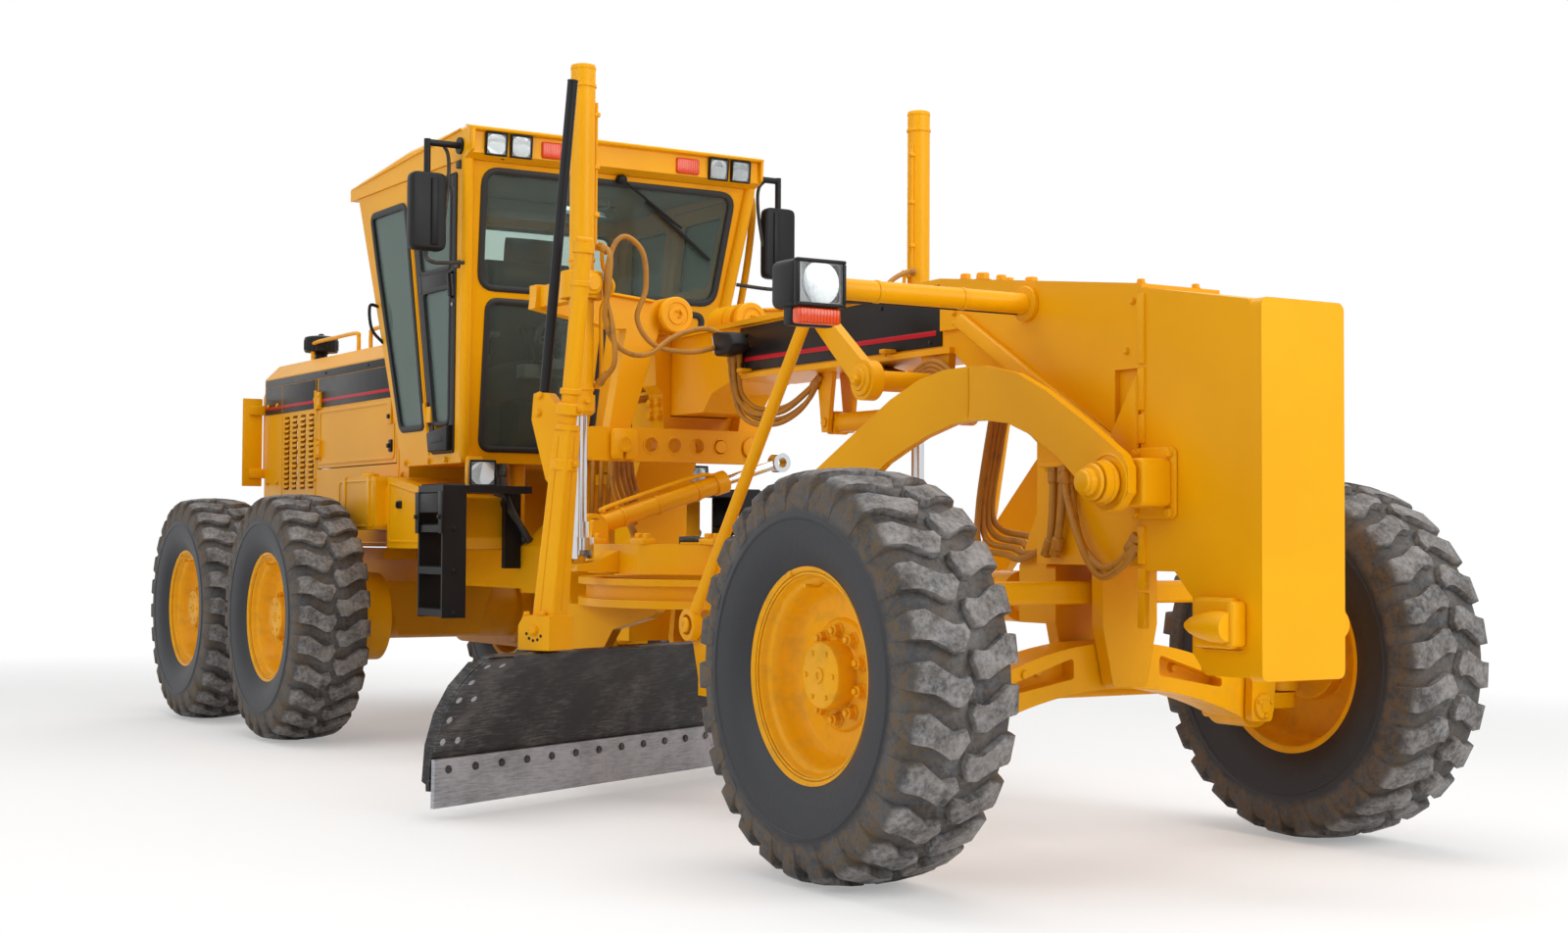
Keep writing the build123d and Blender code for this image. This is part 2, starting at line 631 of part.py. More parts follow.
# ---------------------------------------------------------------- blade-lift saddle and arms
RIGHT_ARM = {"pivot": (-arm_pivot_y, arm_pivot_z), "yoke": (-lift_y, yoke_z), "foot": (-468, arm_foot_z)}
LEFT_ARM = {"pivot": (arm_pivot_y, arm_pivot_z), "yoke": (lift_y, yoke_z), "foot": (196, arm_foot_z)}
with BuildPart() as lift_saddle:
    for side in (-1, 1):
        cross_plate(turned(side, [(frame_half_width + seat_gap, saddle_z[0]), (186, saddle_z[0]),
                                  (192, 1740),
                                  (226, 1775), (238, saddle_z[1] - 60), (238, saddle_z[1]),
                                  (frame_half_width + seat_gap, saddle_z[1])]), saddle_x, rounding=4)
        bar((saddle_x[0], side * arm_pivot_y, arm_pivot_z), (saddle_x[1], side * arm_pivot_y, arm_pivot_z),
            arm_pivot_radius)
        bar((saddle_x[0], side * arm_pivot_y, arm_pivot_z),
            (arm_x[1] + 26, side * arm_pivot_y, arm_pivot_z),
            arm_pin_radius)
        bar((arm_x[1] + 10, side * arm_pivot_y, arm_pivot_z),
            (arm_x[1] + 26, side * arm_pivot_y, arm_pivot_z),
            arm_pin_radius + 14)
    block(saddle_x, (-frame_half_width - 2, frame_half_width + 2), (2012, saddle_z[1]))
    block(saddle_x, (-frame_half_width - 2, frame_half_width + 2), (saddle_z[0], 1636))
    # Tongue below the saddle whose pin locks the link bar.
    lock_y = link_bar_y[1] - 195
    cross_plate([(lock_y - 60, saddle_z[0] + 8), (lock_y + 60, saddle_z[0] + 8),
                 (lock_y + 44, arm_foot_z - 40),
                 (lock_y, arm_foot_z - 62), (lock_y - 44, arm_foot_z - 40)], saddle_x, rounding=10)
    bar((saddle_x[1] - 1, lock_y, arm_foot_z), (link_bar_x[1] + 12, lock_y, arm_foot_z),
        link_hole_radius - 4)
save(lift_saddle, "lift_saddle")

with BuildPart() as lift_arms:
    for side, arm in ((-1, RIGHT_ARM), (1, LEFT_ARM)):
        pivot, yoke, foot = arm["pivot"], arm["yoke"], arm["foot"]
        elbow = (side * 470, 2085)
        cross_plate(strap(pivot, elbow, 62, 74), arm_x)
        cross_plate(strap(elbow, yoke, 74, 52), arm_x)
        cross_plate(strap(foot, (pivot[0] + side * 130, pivot[1] - 20), 46, 84), arm_x)
        bar((arm_x[0], *elbow), (arm_x[1], *elbow), 74)
        bar((arm_x[0], *pivot), (arm_x[1], *pivot), arm_pivot_radius)
        bar((arm_x[0], *foot), (arm_x[1], *foot), arm_foot_radius)
        bore((arm_x[0] - 1, *pivot), (arm_x[1] + 1, *pivot), arm_pin_radius + pin_fit)
        # Neck from the arm forward to the ring that holds the lift cylinder's trunnion.
        inner_y = lift_y - 78
        block((arm_x[0], lift_x - 40), span_of(side, (inner_y, inner_y + 60)), (yoke_z - 46, yoke_z + 46))
        block((arm_x[0], arm_x[1]), span_of(side, (inner_y - 4, lift_y)), (yoke_z - 52, yoke_z + 52))
        bar((lift_x, side * lift_y, yoke_z - yoke_height / 2),
            (lift_x, side * lift_y, yoke_z + yoke_height / 2),
            yoke_radius)
        bore((lift_x, side * lift_y, yoke_z - yoke_height), (lift_x, side * lift_y, yoke_z + yoke_height),
             lift_barrel_radius + running_gap + 4)
        bore((lift_x - 110, side * lift_y, yoke_z), (lift_x + 110, side * lift_y, yoke_z),
             yoke_pin_radius + pin_fit)
        bar((arm_x[1] - 1, *foot), (link_bar_x[1] + 10, *foot), link_hole_radius - 4)
save(lift_arms, "lift_arms")

bar_middle_y = (link_bar_y[0] + link_bar_y[1]) / 2
with BuildPart() as link_bar:
    with BuildSketch(Plane.YZ.offset(fx(link_bar_x[0]))) as plate:
        with Locations((bar_middle_y, arm_foot_z)):
            SlotOverall(link_bar_y[1] - link_bar_y[0] + 60, link_bar_height)
        for foot in (RIGHT_ARM["foot"], LEFT_ARM["foot"]):
            with Locations(foot):
                Circle(link_hole_radius - 4 + pin_fit, mode=Mode.SUBTRACT)
        with Locations(*[(lock_y - n * link_hole_pitch, arm_foot_z) for n in range(4)]):
            Circle(link_hole_radius, mode=Mode.SUBTRACT)
    extrude(plate.sketch, amount=link_bar_x[1] - link_bar_x[0])
save(link_bar, "link_bar")

with BuildPart() as lift_barrels:
    for side in (-1, 1):
        y = side * lift_y
        bar((lift_x, y, lift_barrel_bottom_z), (lift_x, y, lift_barrel_top_z), lift_barrel_radius)
        bar((lift_x, y, lift_barrel_bottom_z), (lift_x, y, lift_barrel_bottom_z + 70),
            lift_barrel_radius + 9)
        bar((lift_x - 100, y, yoke_z), (lift_x + 100, y, yoke_z), yoke_pin_radius)
        bore((lift_x, y, lift_barrel_bottom_z - 1), (lift_x, y, lift_barrel_top_z - 120),
             lift_rod_radius + pin_fit)
save(lift_barrels, "lift_barrels")

with BuildPart() as lift_rods:
    for side in (-1, 1):
        y = side * lift_y
        bar((lift_x, y, lift_pin_z + 40), (lift_x, y, lift_barrel_top_z - 420), lift_rod_radius)
        bar((lift_x, y, lift_pin_z - 44), (lift_x, y, lift_pin_z + 44), lift_ball_radius)
        bar((lift_x, y, lift_pin_z + 40), (lift_x, y, lift_pin_z + 110), lift_rod_radius + 9)
        bore((lift_x, y, lift_pin_z - 60), (lift_x, y, lift_pin_z - 8), stud_radius + stud_gap)
        block((lift_x, lift_x + 90), (y - stud_radius - stud_gap, y + stud_radius + stud_gap),
              (lift_pin_z - 60, lift_pin_z - 8), Mode.SUBTRACT)
save(lift_rods, "lift_rods")

# The centreshift cylinder: its rod swings from the saddle's left side, its barrel slides on the rod.
shift_run = Vector(0, shift_foot[0] - shift_head[0], shift_foot[1] - shift_head[1])
shift_way = shift_run / shift_run.length


def along_shift(distance):
    """Place this far down the centreshift cylinder from its head."""
    return (shift_x, shift_head[0] + shift_way.Y * distance, shift_head[1] + shift_way.Z * distance)


shift_gland = 300
with BuildPart() as centreshift_rod:
    bar(along_shift(30), along_shift(shift_run.length - 190), shift_rod_radius)
    bar((shift_x - 30, *shift_head), (shift_x + 30, *shift_head), 44)
    bore((shift_x - 40, *shift_head), (shift_x + 40, *shift_head), shift_pin_radius + pin_fit)
save(centreshift_rod, "centreshift_rod")

with BuildPart() as centreshift_barrel:
    bar(along_shift(shift_gland), along_shift(shift_run.length - 50), shift_barrel_radius)
    bar(along_shift(shift_gland), along_shift(shift_gland + 60), shift_barrel_radius + 9)
    bore(along_shift(shift_gland - 1), along_shift(shift_run.length - 110), shift_rod_radius + pin_fit)
    bar((shift_x - 32, *shift_foot), (shift_x + 32, *shift_foot), 58)
    bore((shift_x - 40, *shift_foot), (shift_x + 40, *shift_foot), shift_pin_radius + drop_gap)
save(centreshift_barrel, "centreshift_barrel")

# ---------------------------------------------------------------- drawbar and circle
with BuildPart() as drawbar:
    # A-frame: a beam from the ball socket that forks round the circle's opening.
    side_plate(from_axle([(ball_x - 60, 812), (ball_x - 60, 948), (-1500, drawbar_top_z - 8),
                          (-1960, drawbar_top_z),
                          (drawbar_rear_x, drawbar_top_z), (drawbar_rear_x, drawbar_floor_z),
                          (-1480, drawbar_floor_z - 2)]), (-circle_radius, circle_radius))
    fork_side = ((ball_x - 61, 92), (-1420, 128), (-1900, 600), (-2060, 700), (-2520, 700),
                 (drawbar_rear_x, 520))
    fork_outline = [(x, -y) for x, y in fork_side] + list(reversed(fork_side))
    level_plate(from_axle(fork_outline), (700, 1200), Mode.INTERSECT)
    level_plate([(fx(-1720), -180), (fx(-1720), 180), (fx(-1980), 430), (fx(-2560), 430), (fx(-2560), -430),
                 (fx(-1980), -430)], (700, 1200), Mode.SUBTRACT, rounding=40)
    # Socket of the ball: a block with a spherical seat, open to the front.
    bar((ball_x - 96, 0, ball_z), (ball_x + 22, 0, ball_z), socket_radius)
    ball((ball_x, 0, ball_z), ball_radius + pin_fit, Mode.SUBTRACT)
    with Locations(Plane(origin=(fx(ball_x), 0, ball_z), z_dir=(1, 0, 0)).location):
        Cone(34, 60, 40, align=(Align.CENTER, Align.CENTER, Align.MIN), mode=Mode.SUBTRACT)
    for side in (-1, 1):
        # Stub and ball stud under each lift rod.
        stud_y = side * lift_y
        cross_plate(turned(side, [(640, drawbar_floor_z), (lift_y - 30, lift_pin_z - 96),
                                  (lift_y + 34, lift_pin_z - 96),
                                  (lift_y + 34, lift_pin_z - 66), (lift_y - 50, lift_pin_z - 56),
                                  (640, drawbar_top_z)]),
                    (lift_x - 52, lift_x + 52))
        bar((lift_x, stud_y, lift_pin_z - 70), (lift_x, stud_y, lift_pin_z - 30), stud_radius)
    # Rail for the centreshift cylinder's eye, on the right leg.
    bar((shift_x - 60, *shift_foot), (shift_x + 80, *shift_foot), shift_pin_radius)
    cross_plate([(shift_foot[0] - 52, drawbar_floor_z + 6), (shift_foot[0] + 52, drawbar_floor_z + 6),
                 (shift_foot[0] + 34, shift_foot[1] + 30), (shift_foot[0] - 34, shift_foot[1] + 30)],
                (shift_x + 40, shift_x + 80), rounding=12)
save(drawbar, "drawbar")

with BuildPart() as circle:
    with BuildSketch(Plane.XY.offset(circle_bottom_z)) as ring:
        with Locations((fx(circle_x), 0)):
            Circle(circle_radius)
            Circle(circle_inner_radius, mode=Mode.SUBTRACT)
    extrude(ring.sketch, amount=circle_height)
    # The rim's groove leaves a flange above and below.
    with BuildSketch(Plane.XY.offset(circle_bottom_z + 34)) as groove:
        with Locations((fx(circle_x), 0)):
            Circle(circle_radius + 1)
            Circle(circle_radius - 34, mode=Mode.SUBTRACT)
    extrude(groove.sketch, amount=circle_height - 62, mode=Mode.SUBTRACT)
save(circle, "circle_ring")

# The blade group is drawn square to the machine and turned about the circle's centre.
blade_turn = Location((fx(circle_x), 0, 0), (0, 0, circle_turn))


def blade_point(ahead, across, level):
    """Place given square to the blade from the circle's centre, along the blade and up."""
    place = blade_turn * Location((ahead, across, level))
    return tuple(place.position)


def blade_plane(across):
    """Side-view plane of the blade group, at this place along the blade (left is positive)."""
    ahead = Vector(1, 0, 0).rotate(Axis.Z, circle_turn)
    left = Vector(0, 1, 0).rotate(Axis.Z, circle_turn)
    return Plane(origin=blade_point(0, across, 0), x_dir=ahead, z_dir=-left)


def blade_plate(points, across, mode=Mode.ADD, rounding=0):
    """Adds a plate with this (square to the blade, up) outline between two places along the blade."""
    low, high = sorted(across)
    prism(blade_plane(high), points, high - low, mode, rounding)


def blade_bar(start, end, radius, mode=Mode.ADD):
    """Adds a round bar between two (square to the blade, along it, up) places."""
    begin, finish = Vector(*blade_point(*start)), Vector(*blade_point(*end))
    run = finish - begin
    with Locations(Plane(origin=begin, z_dir=run).location):
        Cylinder(radius, run.length, align=(Align.CENTER, Align.CENTER, Align.MIN), mode=mode)


arm_outer = blade_arm_y + blade_arm_wall
with BuildPart() as blade_arms:
    for side in (-1, 1):
        blade_plate([(-690, circle_bottom_z - seat_gap), (-150, circle_bottom_z - seat_gap), (-230, 742),
                     (-420, 690), (-500, 560), (tip_pin_x + 62, tip_pin_z - 10),
                     (tip_pin_x + 30, tip_pin_z - 56), (tip_pin_x - 34, tip_pin_z - 56),
                     (tip_pin_x - 66, tip_pin_z), (-706, 620)],
                    span_of(side, (blade_arm_y, arm_outer)), rounding=16)
        # Flange along the arm's rear edge.
        blade_plate([(-690, circle_bottom_z - seat_gap), (-668, circle_bottom_z - seat_gap), (-684, 620),
                     (tip_pin_x - 60, tip_pin_z + 60), (tip_pin_x - 76, tip_pin_z + 40), (-712, 620)],
                    span_of(side, (blade_arm_y - 60, arm_outer)))
        blade_bar((tip_pin_x, side * (blade_arm_y - 6), tip_pin_z),
                  (tip_pin_x, side * (arm_outer + 60), tip_pin_z),
                  tip_pin_radius)
save(blade_arms, "blade_arms")


def blade_arc(gap):
    """(start, middle, end) of the moldboard's concave face, moved back square to its chord by gap."""
    chord = Vector(blade_top_x - blade_edge_x, blade_top_z - blade_edge_z)
    back = Vector(-chord.Y, chord.X) / chord.length
    low = Vector(blade_edge_x, blade_edge_z) + back * gap
    high = Vector(blade_top_x, blade_top_z) + back * gap
    middle = (low + high) / 2 + back * blade_sagitta
    return [(p.X, p.Y) for p in (low, middle, high)]


def on_arc(gap, share):
    """Point of the blade's face, moved back by gap, at this share of its height."""
    low, middle, high = (Vector(*p) for p in blade_arc(gap))
    chord = (low + high) / 2 - middle
    along = low + (high - low) * share
    sink = 1 - (2 * share - 1) ** 2
    return (along.X - chord.X * sink, along.Y - chord.Y * sink)


blade_left = blade_length / 2 + blade_shift
blade_right = blade_left - blade_length
RAIL_SHARES = (0.24, 0.72)        # heights of the two rails on the moldboard's back
with BuildPart() as moldboard:
    with BuildSketch(blade_plane(blade_left)) as section:
        with BuildLine():
            face_arc = ThreePointArc(*blade_arc(0))
            back_arc = ThreePointArc(*blade_arc(blade_wall))
            Line(face_arc @ 0, back_arc @ 0)
            Line(face_arc @ 1, back_arc @ 1)
        make_face()
        with BuildLine():
            Polyline((-700, 0), (-200, 0), (-200, blade_edge_z + 60), (-700, blade_edge_z + 60), close=True)
        make_face(mode=Mode.SUBTRACT)
    extrude(section.sketch, amount=blade_length)
    for share in RAIL_SHARES:
        seat = on_arc(blade_wall - 6, share)
        end = on_arc(blade_wall + rail_size, share)
        blade_plate(strap(seat, end, rail_size / 2, rail_size / 2), (blade_left - 260, blade_right + 260))
    # End plates stiffen the board's two ends.
    for across in (blade_left, blade_right + 24):
        blade_plate([on_arc(blade_wall - 8, s) for s in (0.1, 0.3, 0.5, 0.7, 0.9)]
                    + [on_arc(blade_wall + 26, s) for s in (0.9, 0.7, 0.5, 0.3, 0.1)],
                    (across - 24, across))
save(moldboard, "moldboard")

edge_top = cutting_edge_height / (blade_top_z - blade_edge_z)
with BuildPart() as cutting_edge:
    blade_plate(strap(on_arc(-1 - cutting_edge_wall / 2, 0), on_arc(-1 - cutting_edge_wall / 2, edge_top),
                      cutting_edge_wall / 2, cutting_edge_wall / 2), (blade_left, blade_right))
save(cutting_edge, "cutting_edge")

bracket_y = (arm_outer + running_gap, arm_outer + running_gap + 44)
with BuildPart() as tilt_bracket:
    for side in (-1, 1):
        span = span_of(side, bracket_y)
        lower, upper = [on_arc(blade_wall + rail_size, share) for share in RAIL_SHARES]
        blade_plate([(tip_pin_x - 52, tip_pin_z - 30), (tip_pin_x - 52, tip_pin_z + 60),
                     (upper[0] - 100, upper[1] + 60), (upper[0] - 8, upper[1] + 46),
                     (upper[0] - 14, upper[1] - 30), (lower[0] - 14, lower[1] + 40),
                     (lower[0] - 20, lower[1] - 40), (lower[0] - 70, lower[1] - 40)], span, rounding=8)
        blade_bar((tip_pin_x, side * (bracket_y[0] - 1), tip_pin_z),
                  (tip_pin_x, side * (bracket_y[1] + 1), tip_pin_z),
                  tip_pin_radius + pin_fit, mode=Mode.SUBTRACT)
save(tilt_bracket, "tilt_bracket")

# Grade-control mast on the blade's top edge, near its right end.
mast_across = blade_right + mast_inset
lean = math.tan(math.radians(mast_lean))


def mast_foot(z):
    """Place of the mast's centre line, square to the blade, at this level."""
    return blade_top_x - 10 + (z - blade_top_z) * lean


def mast_section(z, depth, width):
    plane = Plane(origin=blade_point(mast_foot(z), mast_across, z),
                  x_dir=Vector(1, 0, 0).rotate(Axis.Z, circle_turn), z_dir=(0, 0, 1))
    with BuildSketch(plane, mode=Mode.PRIVATE) as section:
        RectangleRounded(depth, width, 10)
    return section.sketch


with BuildPart() as mast:
    blade_plate([(blade_top_x - 96, blade_top_z + 14), (blade_top_x + 62, blade_top_z + 14),
                 (blade_top_x + 62, mast_box_z), (blade_top_x - 70, mast_box_z),
                 (blade_top_x - 96, mast_box_z - 40)],
                (mast_across - 74, mast_across + 74), rounding=6)
    blade_plate([(blade_top_x - 60, blade_top_z + 40), (blade_top_x + 40, blade_top_z + 40),
                 (blade_top_x + 40, mast_box_z - 26), (blade_top_x - 60, mast_box_z - 26)],
                (mast_across - 52, mast_across + 75), Mode.SUBTRACT, rounding=12)
    loft([mast_section(mast_box_z - 2, 104, 104), mast_section(mast_post_z, 78, 78)])
    blade_bar((mast_foot(mast_post_z - 2), mast_across, mast_post_z - 2),
              (mast_foot(mast_tube_z), mast_across, mast_tube_z), mast_tube_radius)
    blade_bar((mast_foot(mast_tube_z - 40), mast_across, mast_tube_z - 40),
              (mast_foot(mast_tube_z), mast_across, mast_tube_z + 2), mast_tube_radius + 8)
    # Cast side bracket and the pole that it carries.
    blade_plate([(mast_foot(1250), 1250), (mast_foot(1250) - 60, 1310),
                 (mast_foot(1560) - pole_offset - 34, 1545),
                 (mast_foot(1650) - pole_offset - 34, 1650), (mast_foot(1650) - pole_offset + 34, 1650),
                 (mast_foot(1590) - 30, 1585), (mast_foot(1590), 1585)],
                (mast_across - 26, mast_across + 26), rounding=8)
    blade_bar((mast_foot(pole_z[0]) - pole_offset, mast_across, pole_z[0]),
              (mast_foot(pole_z[1]) - pole_offset, mast_across, pole_z[1]), pole_radius)
save(mast, "mast")

# ---------------------------------------------------------------- scarifier
splay = math.radians(draft_splay)
leg_upper = [(-390, 1676), (-506, 1647), (-640, 1582), (-776, 1493), (-973, 1362), (-1250, 1175),
             (-1440, 1035), (-1560, 880), (-1600, scarifier_z[1])]
leg_lower = [(-1600, scarifier_z[0] + 20), (-1490, scarifier_z[0] + 20), (-1440, 720), (-1330, 860),
             (-1120, 1010),
             (-900, 1170), (-659, 1355), (-572, 1399), (-479, 1442), (-350, 1483)]
with BuildPart() as draft_arms:
    for side in (-1, 1):
        plate_y = (draft_arm_y - draft_arm_wall / 2, draft_arm_y + draft_arm_wall / 2)
        side_plate(from_axle([
            (crown_x, 1682), (-202, 1680), (-12, 1642), (139, 1576), (342, 1462), (520, 1352), (548, 1310),
            (548, 1230), (500, 1185), (430, 1180), (199, 1356), (49, 1437), (-58, 1475), (-201, 1492),
            (crown_x, 1492)]), span_of(side, plate_y))
        bar((draft_pin_x, side * plate_y[0], draft_pin_z), (draft_pin_x, side * plate_y[1], draft_pin_z),
            88)
        bore((draft_pin_x, side * (plate_y[0] - 30), draft_pin_z),
             (draft_pin_x, side * (plate_y[1] + 30), draft_pin_z),
             draft_pin_radius + pin_fit)
        # Rear leg, drawn in a plane that splays outwards from the crown.
        leg_plane = Plane(origin=(fx(crown_x), side * plate_y[1], 0),
                          x_dir=(math.cos(splay), -side * math.sin(splay), 0),
                          z_dir=(-side * math.sin(splay), -math.cos(splay), 0))
        leg_line = [(crown_x + 6, 1682)] + leg_upper + leg_lower + [(crown_x + 6, 1492)]
        prism(leg_plane, [((x - crown_x) / math.cos(splay), z) for x, z in leg_line], side * draft_arm_wall)
        # Ears behind the cross block for the lift link.
        side_plate(from_axle([(scarifier_x[0] - 2, scarifier_z[0]), (scarifier_x[1], scarifier_z[0]),
                              (scarifier_x[1], scarifier_z[1] + 20),
                              (scarifier_x[0] - 2, scarifier_z[1] + 20)]),
                   span_of(side, (scarifier_half_length - 4, link_foot_y - 26)))
        side_plate(from_axle([(link_foot_x - 40, link_foot_z - 24), (link_foot_x - 34, link_foot_z + 22),
                              (link_foot_x + 34, link_foot_z + 22),
                              (scarifier_x[1] - 40, scarifier_z[1] - 40),
                              (scarifier_x[0], scarifier_z[0] + 60)]),
                   span_of(side, (link_foot_y - 50, link_foot_y - 26)))
        bar((link_foot_x, side * (link_foot_y - 36), link_foot_z),
            (link_foot_x, side * (link_foot_y + 30), link_foot_z), link_pin_radius)
    block(scarifier_x, (-scarifier_half_length, scarifier_half_length), scarifier_z)
save(draft_arms, "draft_arms")

shank_pitch = (2 * scarifier_half_length - 2 * shank_width) / (shank_count - 1)
shank_z = scarifier_z[0] - seat_gap
with BuildPart() as shank_bar:
    block((scarifier_x[0] + 12, scarifier_x[1] - 12), (-scarifier_half_length, scarifier_half_length),
          (shank_z - 46, shank_z))
    for n in range(shank_count):
        middle = -scarifier_half_length + shank_width + n * shank_pitch
        side_plate(from_axle([(scarifier_x[0] + 24, shank_z - 40), (scarifier_x[1] - 20, shank_z - 40),
                              (scarifier_x[1] - 24, 330), (scarifier_x[1] + 28, shank_tip_z),
                              (scarifier_x[1] - 14, shank_tip_z + 4), (scarifier_x[0] + 30, 330)]),
                   (middle - shank_width / 2, middle + shank_width / 2))
save(shank_bar, "shank_bar")

rocker_base, rocker_top = (fx(rocker_x), rocker_z), (fx(rocker_top_x), rocker_top_z)
with BuildPart() as rocker:
    bar((rocker_x, -rocker_y - 26, rocker_z), (rocker_x, rocker_y + 26, rocker_z), rocker_shaft_radius)
    for side in (-1, 1):
        span = span_of(side, (rocker_y - 20, rocker_y + 20))
        side_plate(strap(rocker_base, rocker_top, 52, 38), span)
        bar((rocker_x, span[0] - 6, rocker_z), (rocker_x, span[1] + 6, rocker_z), 74)
        bar((rocker_top_x, span[0], rocker_top_z), (rocker_top_x, span[1], rocker_top_z), 42)
        bar((rocker_top_x, side * rocker_y, rocker_top_z),
            (rocker_top_x, side * (rocker_y + 76), rocker_top_z), 20)
    side_plate(strap(rocker_base, (fx(rocker_x), rocker_z - crank_length), 50, 32), (-24, 24))
    bar((rocker_x, -24, rocker_z - crank_length), (rocker_x, 24, rocker_z - crank_length), 50)
    bore((rocker_x, -30, rocker_z - crank_length), (rocker_x, 30, rocker_z - crank_length),
         crank_pin_radius + open_eye_gap)
save(rocker, "rocker")

link_top = (rocker_top_x, rocker_y + 48, rocker_top_z)
link_foot = (link_foot_x, link_foot_y, link_foot_z)
with BuildPart() as scarifier_links:
    for side in (-1, 1):
        top = (link_top[0], side * link_top[1], link_top[2])
        foot = (link_foot[0], side * link_foot[1], link_foot[2])
        run = Vector(*foot) - Vector(*top)
        way = run / run.length
        near = tuple(Vector(*top) + way * 26)
        far = tuple(Vector(*foot) - way * 58)
        bar(near, far, link_radius)
        bar((top[0], side * (link_top[1] - 20), top[2]), (top[0], side * (link_top[1] + 20), top[2]), 36)
        bar((foot[0], side * (link_foot_y - 18), foot[2]), (foot[0], side * (link_foot_y + 18), foot[2]),
            62)
        bore((top[0], side * (link_top[1] - 30), top[2]), (top[0], side * (link_top[1] + 30), top[2]),
             20 + pin_fit)
        bore((foot[0], side * (link_foot_y - 30), foot[2]), (foot[0], side * (link_foot_y + 30), foot[2]),
             link_pin_radius + link_eye_gap)
save(scarifier_links, "scarifier_links")

cylinder_z = rocker_z - crank_length
with BuildPart() as scarifier_barrel:
    bar((lift_cylinder_rear_x, 0, cylinder_z), (rocker_x - 330, 0, cylinder_z), 40)
    bar((lift_cylinder_rear_x, -38, cylinder_z), (lift_cylinder_rear_x, 38, cylinder_z), 48)
    bar((lift_cylinder_rear_x, -74, cylinder_z), (lift_cylinder_rear_x, 74, cylinder_z), crank_pin_radius)
    bore((lift_cylinder_rear_x + 80, 0, cylinder_z), (rocker_x - 329, 0, cylinder_z), 20 + pin_fit)
save(scarifier_barrel, "scarifier_barrel")

with BuildPart() as scarifier_rod:
    bar((lift_cylinder_rear_x + 230, 0, cylinder_z), (rocker_x - 70, 0, cylinder_z), 20)
    block((rocker_x - 98, rocker_x - 64), (-52, 52), (cylinder_z - 30, cylinder_z + 30))
    for side in (-1, 1):
        block((rocker_x - 70, rocker_x + 30), span_of(side, (32, 52)), (cylinder_z - 30, cylinder_z + 30))
    bar((rocker_x, -52, cylinder_z), (rocker_x, 52, cylinder_z), crank_pin_radius)
save(scarifier_rod, "scarifier_rod")

# ---------------------------------------------------------------- rear frame, axle and tandems
with BuildPart() as rear_frame:
    for side in (-1, 1):
        block((-7380, -3900), span_of(side, rail_y), rail_z)
        for x in (-4680, -4120):
            bar((x, side * 307, rail_z[1] - 1), (x, side * 307, cab_floor_z - seat_gap), 42)
        for x in (-6900, -5400):
            block((x - 60, x + 60), span_of(side, (rail_y[1] - 20, hood_half_width)), (960, 1019))
    for x in (-7300, -6700, -5500, -4500):
        block((x - 40, x + 40), (-rail_y[0] - 1, rail_y[0] + 1), (rail_z[0] + 20, rail_z[1] - 20))
    # Column at the hitch.
    cross_plate([(-rail_y[1], rail_z[0] - 20), (rail_y[1], rail_z[0] - 20), (rail_y[1], 1040), (230, 1150),
                 (200, 1430), (-200, 1430), (-230, 1150), (-rail_y[1], 1040)], (-3960, -3640))
    cross_plate([(-190, 560), (190, 560), (240, 820), (-240, 820)], (-3900, -3640))
    block((-3810, -3640), (-190, 190), (1429, 1562))
    for low in (hitch_lower_z, hitch_upper_z):
        high = low + hitch_lug_wall
        for plate_low in (low - hitch_gap - hitch_plate_wall, high + hitch_gap):
            block((-3641, hitch_x), (-hitch_lug_radius, hitch_lug_radius),
                  (plate_low, plate_low + hitch_plate_wall))
            bar((hitch_x, 0, plate_low), (hitch_x, 0, plate_low + hitch_plate_wall), hitch_lug_radius)
        bar((hitch_x, 0, low - hitch_gap - hitch_plate_wall - 20),
            (hitch_x, 0, high + hitch_gap + hitch_plate_wall + 20), hitch_pin_radius)
    # Axle housing with its flanges for the tandem cases.
    tandem_inner = tandem_y - tandem_half_width
    bar((-wheelbase, -tandem_inner + running_gap, tyre_radius),
        (-wheelbase, tandem_inner - running_gap, tyre_radius),
        axle_housing_radius)
    for side in (-1, 1):
        bar((-wheelbase, side * (tandem_inner - 60), tyre_radius),
            (-wheelbase, side * (tandem_inner - running_gap), tyre_radius), 210)
        bar((-wheelbase, side * (tandem_inner - 20), tyre_radius),
            (-wheelbase, side * (tandem_y + tandem_half_width + 14), tyre_radius), 90)
    cross_plate([(-250, 520), (250, 520), (300, 700), (rail_y[1], 840), (-rail_y[1], 840), (-300, 700)],
                (-wheelbase - 250, -wheelbase + 250))
    # Bumper plate with the bore of the towing pin.
    block((counterweight_x[0], counterweight_x[1]), (-470, 470), (700, 1000))
    block((counterweight_x[1] - 1, -7300), (-rail_y[1], rail_y[1]), (840, 1000))
    block((counterweight_x[0] - 0, counterweight_x[1]), (-150, 150), (620, 701))
    bore((-7530, 0, 600), (-7530, 0, 1010), tow_pin_radius)
save(rear_frame, "rear_frame")

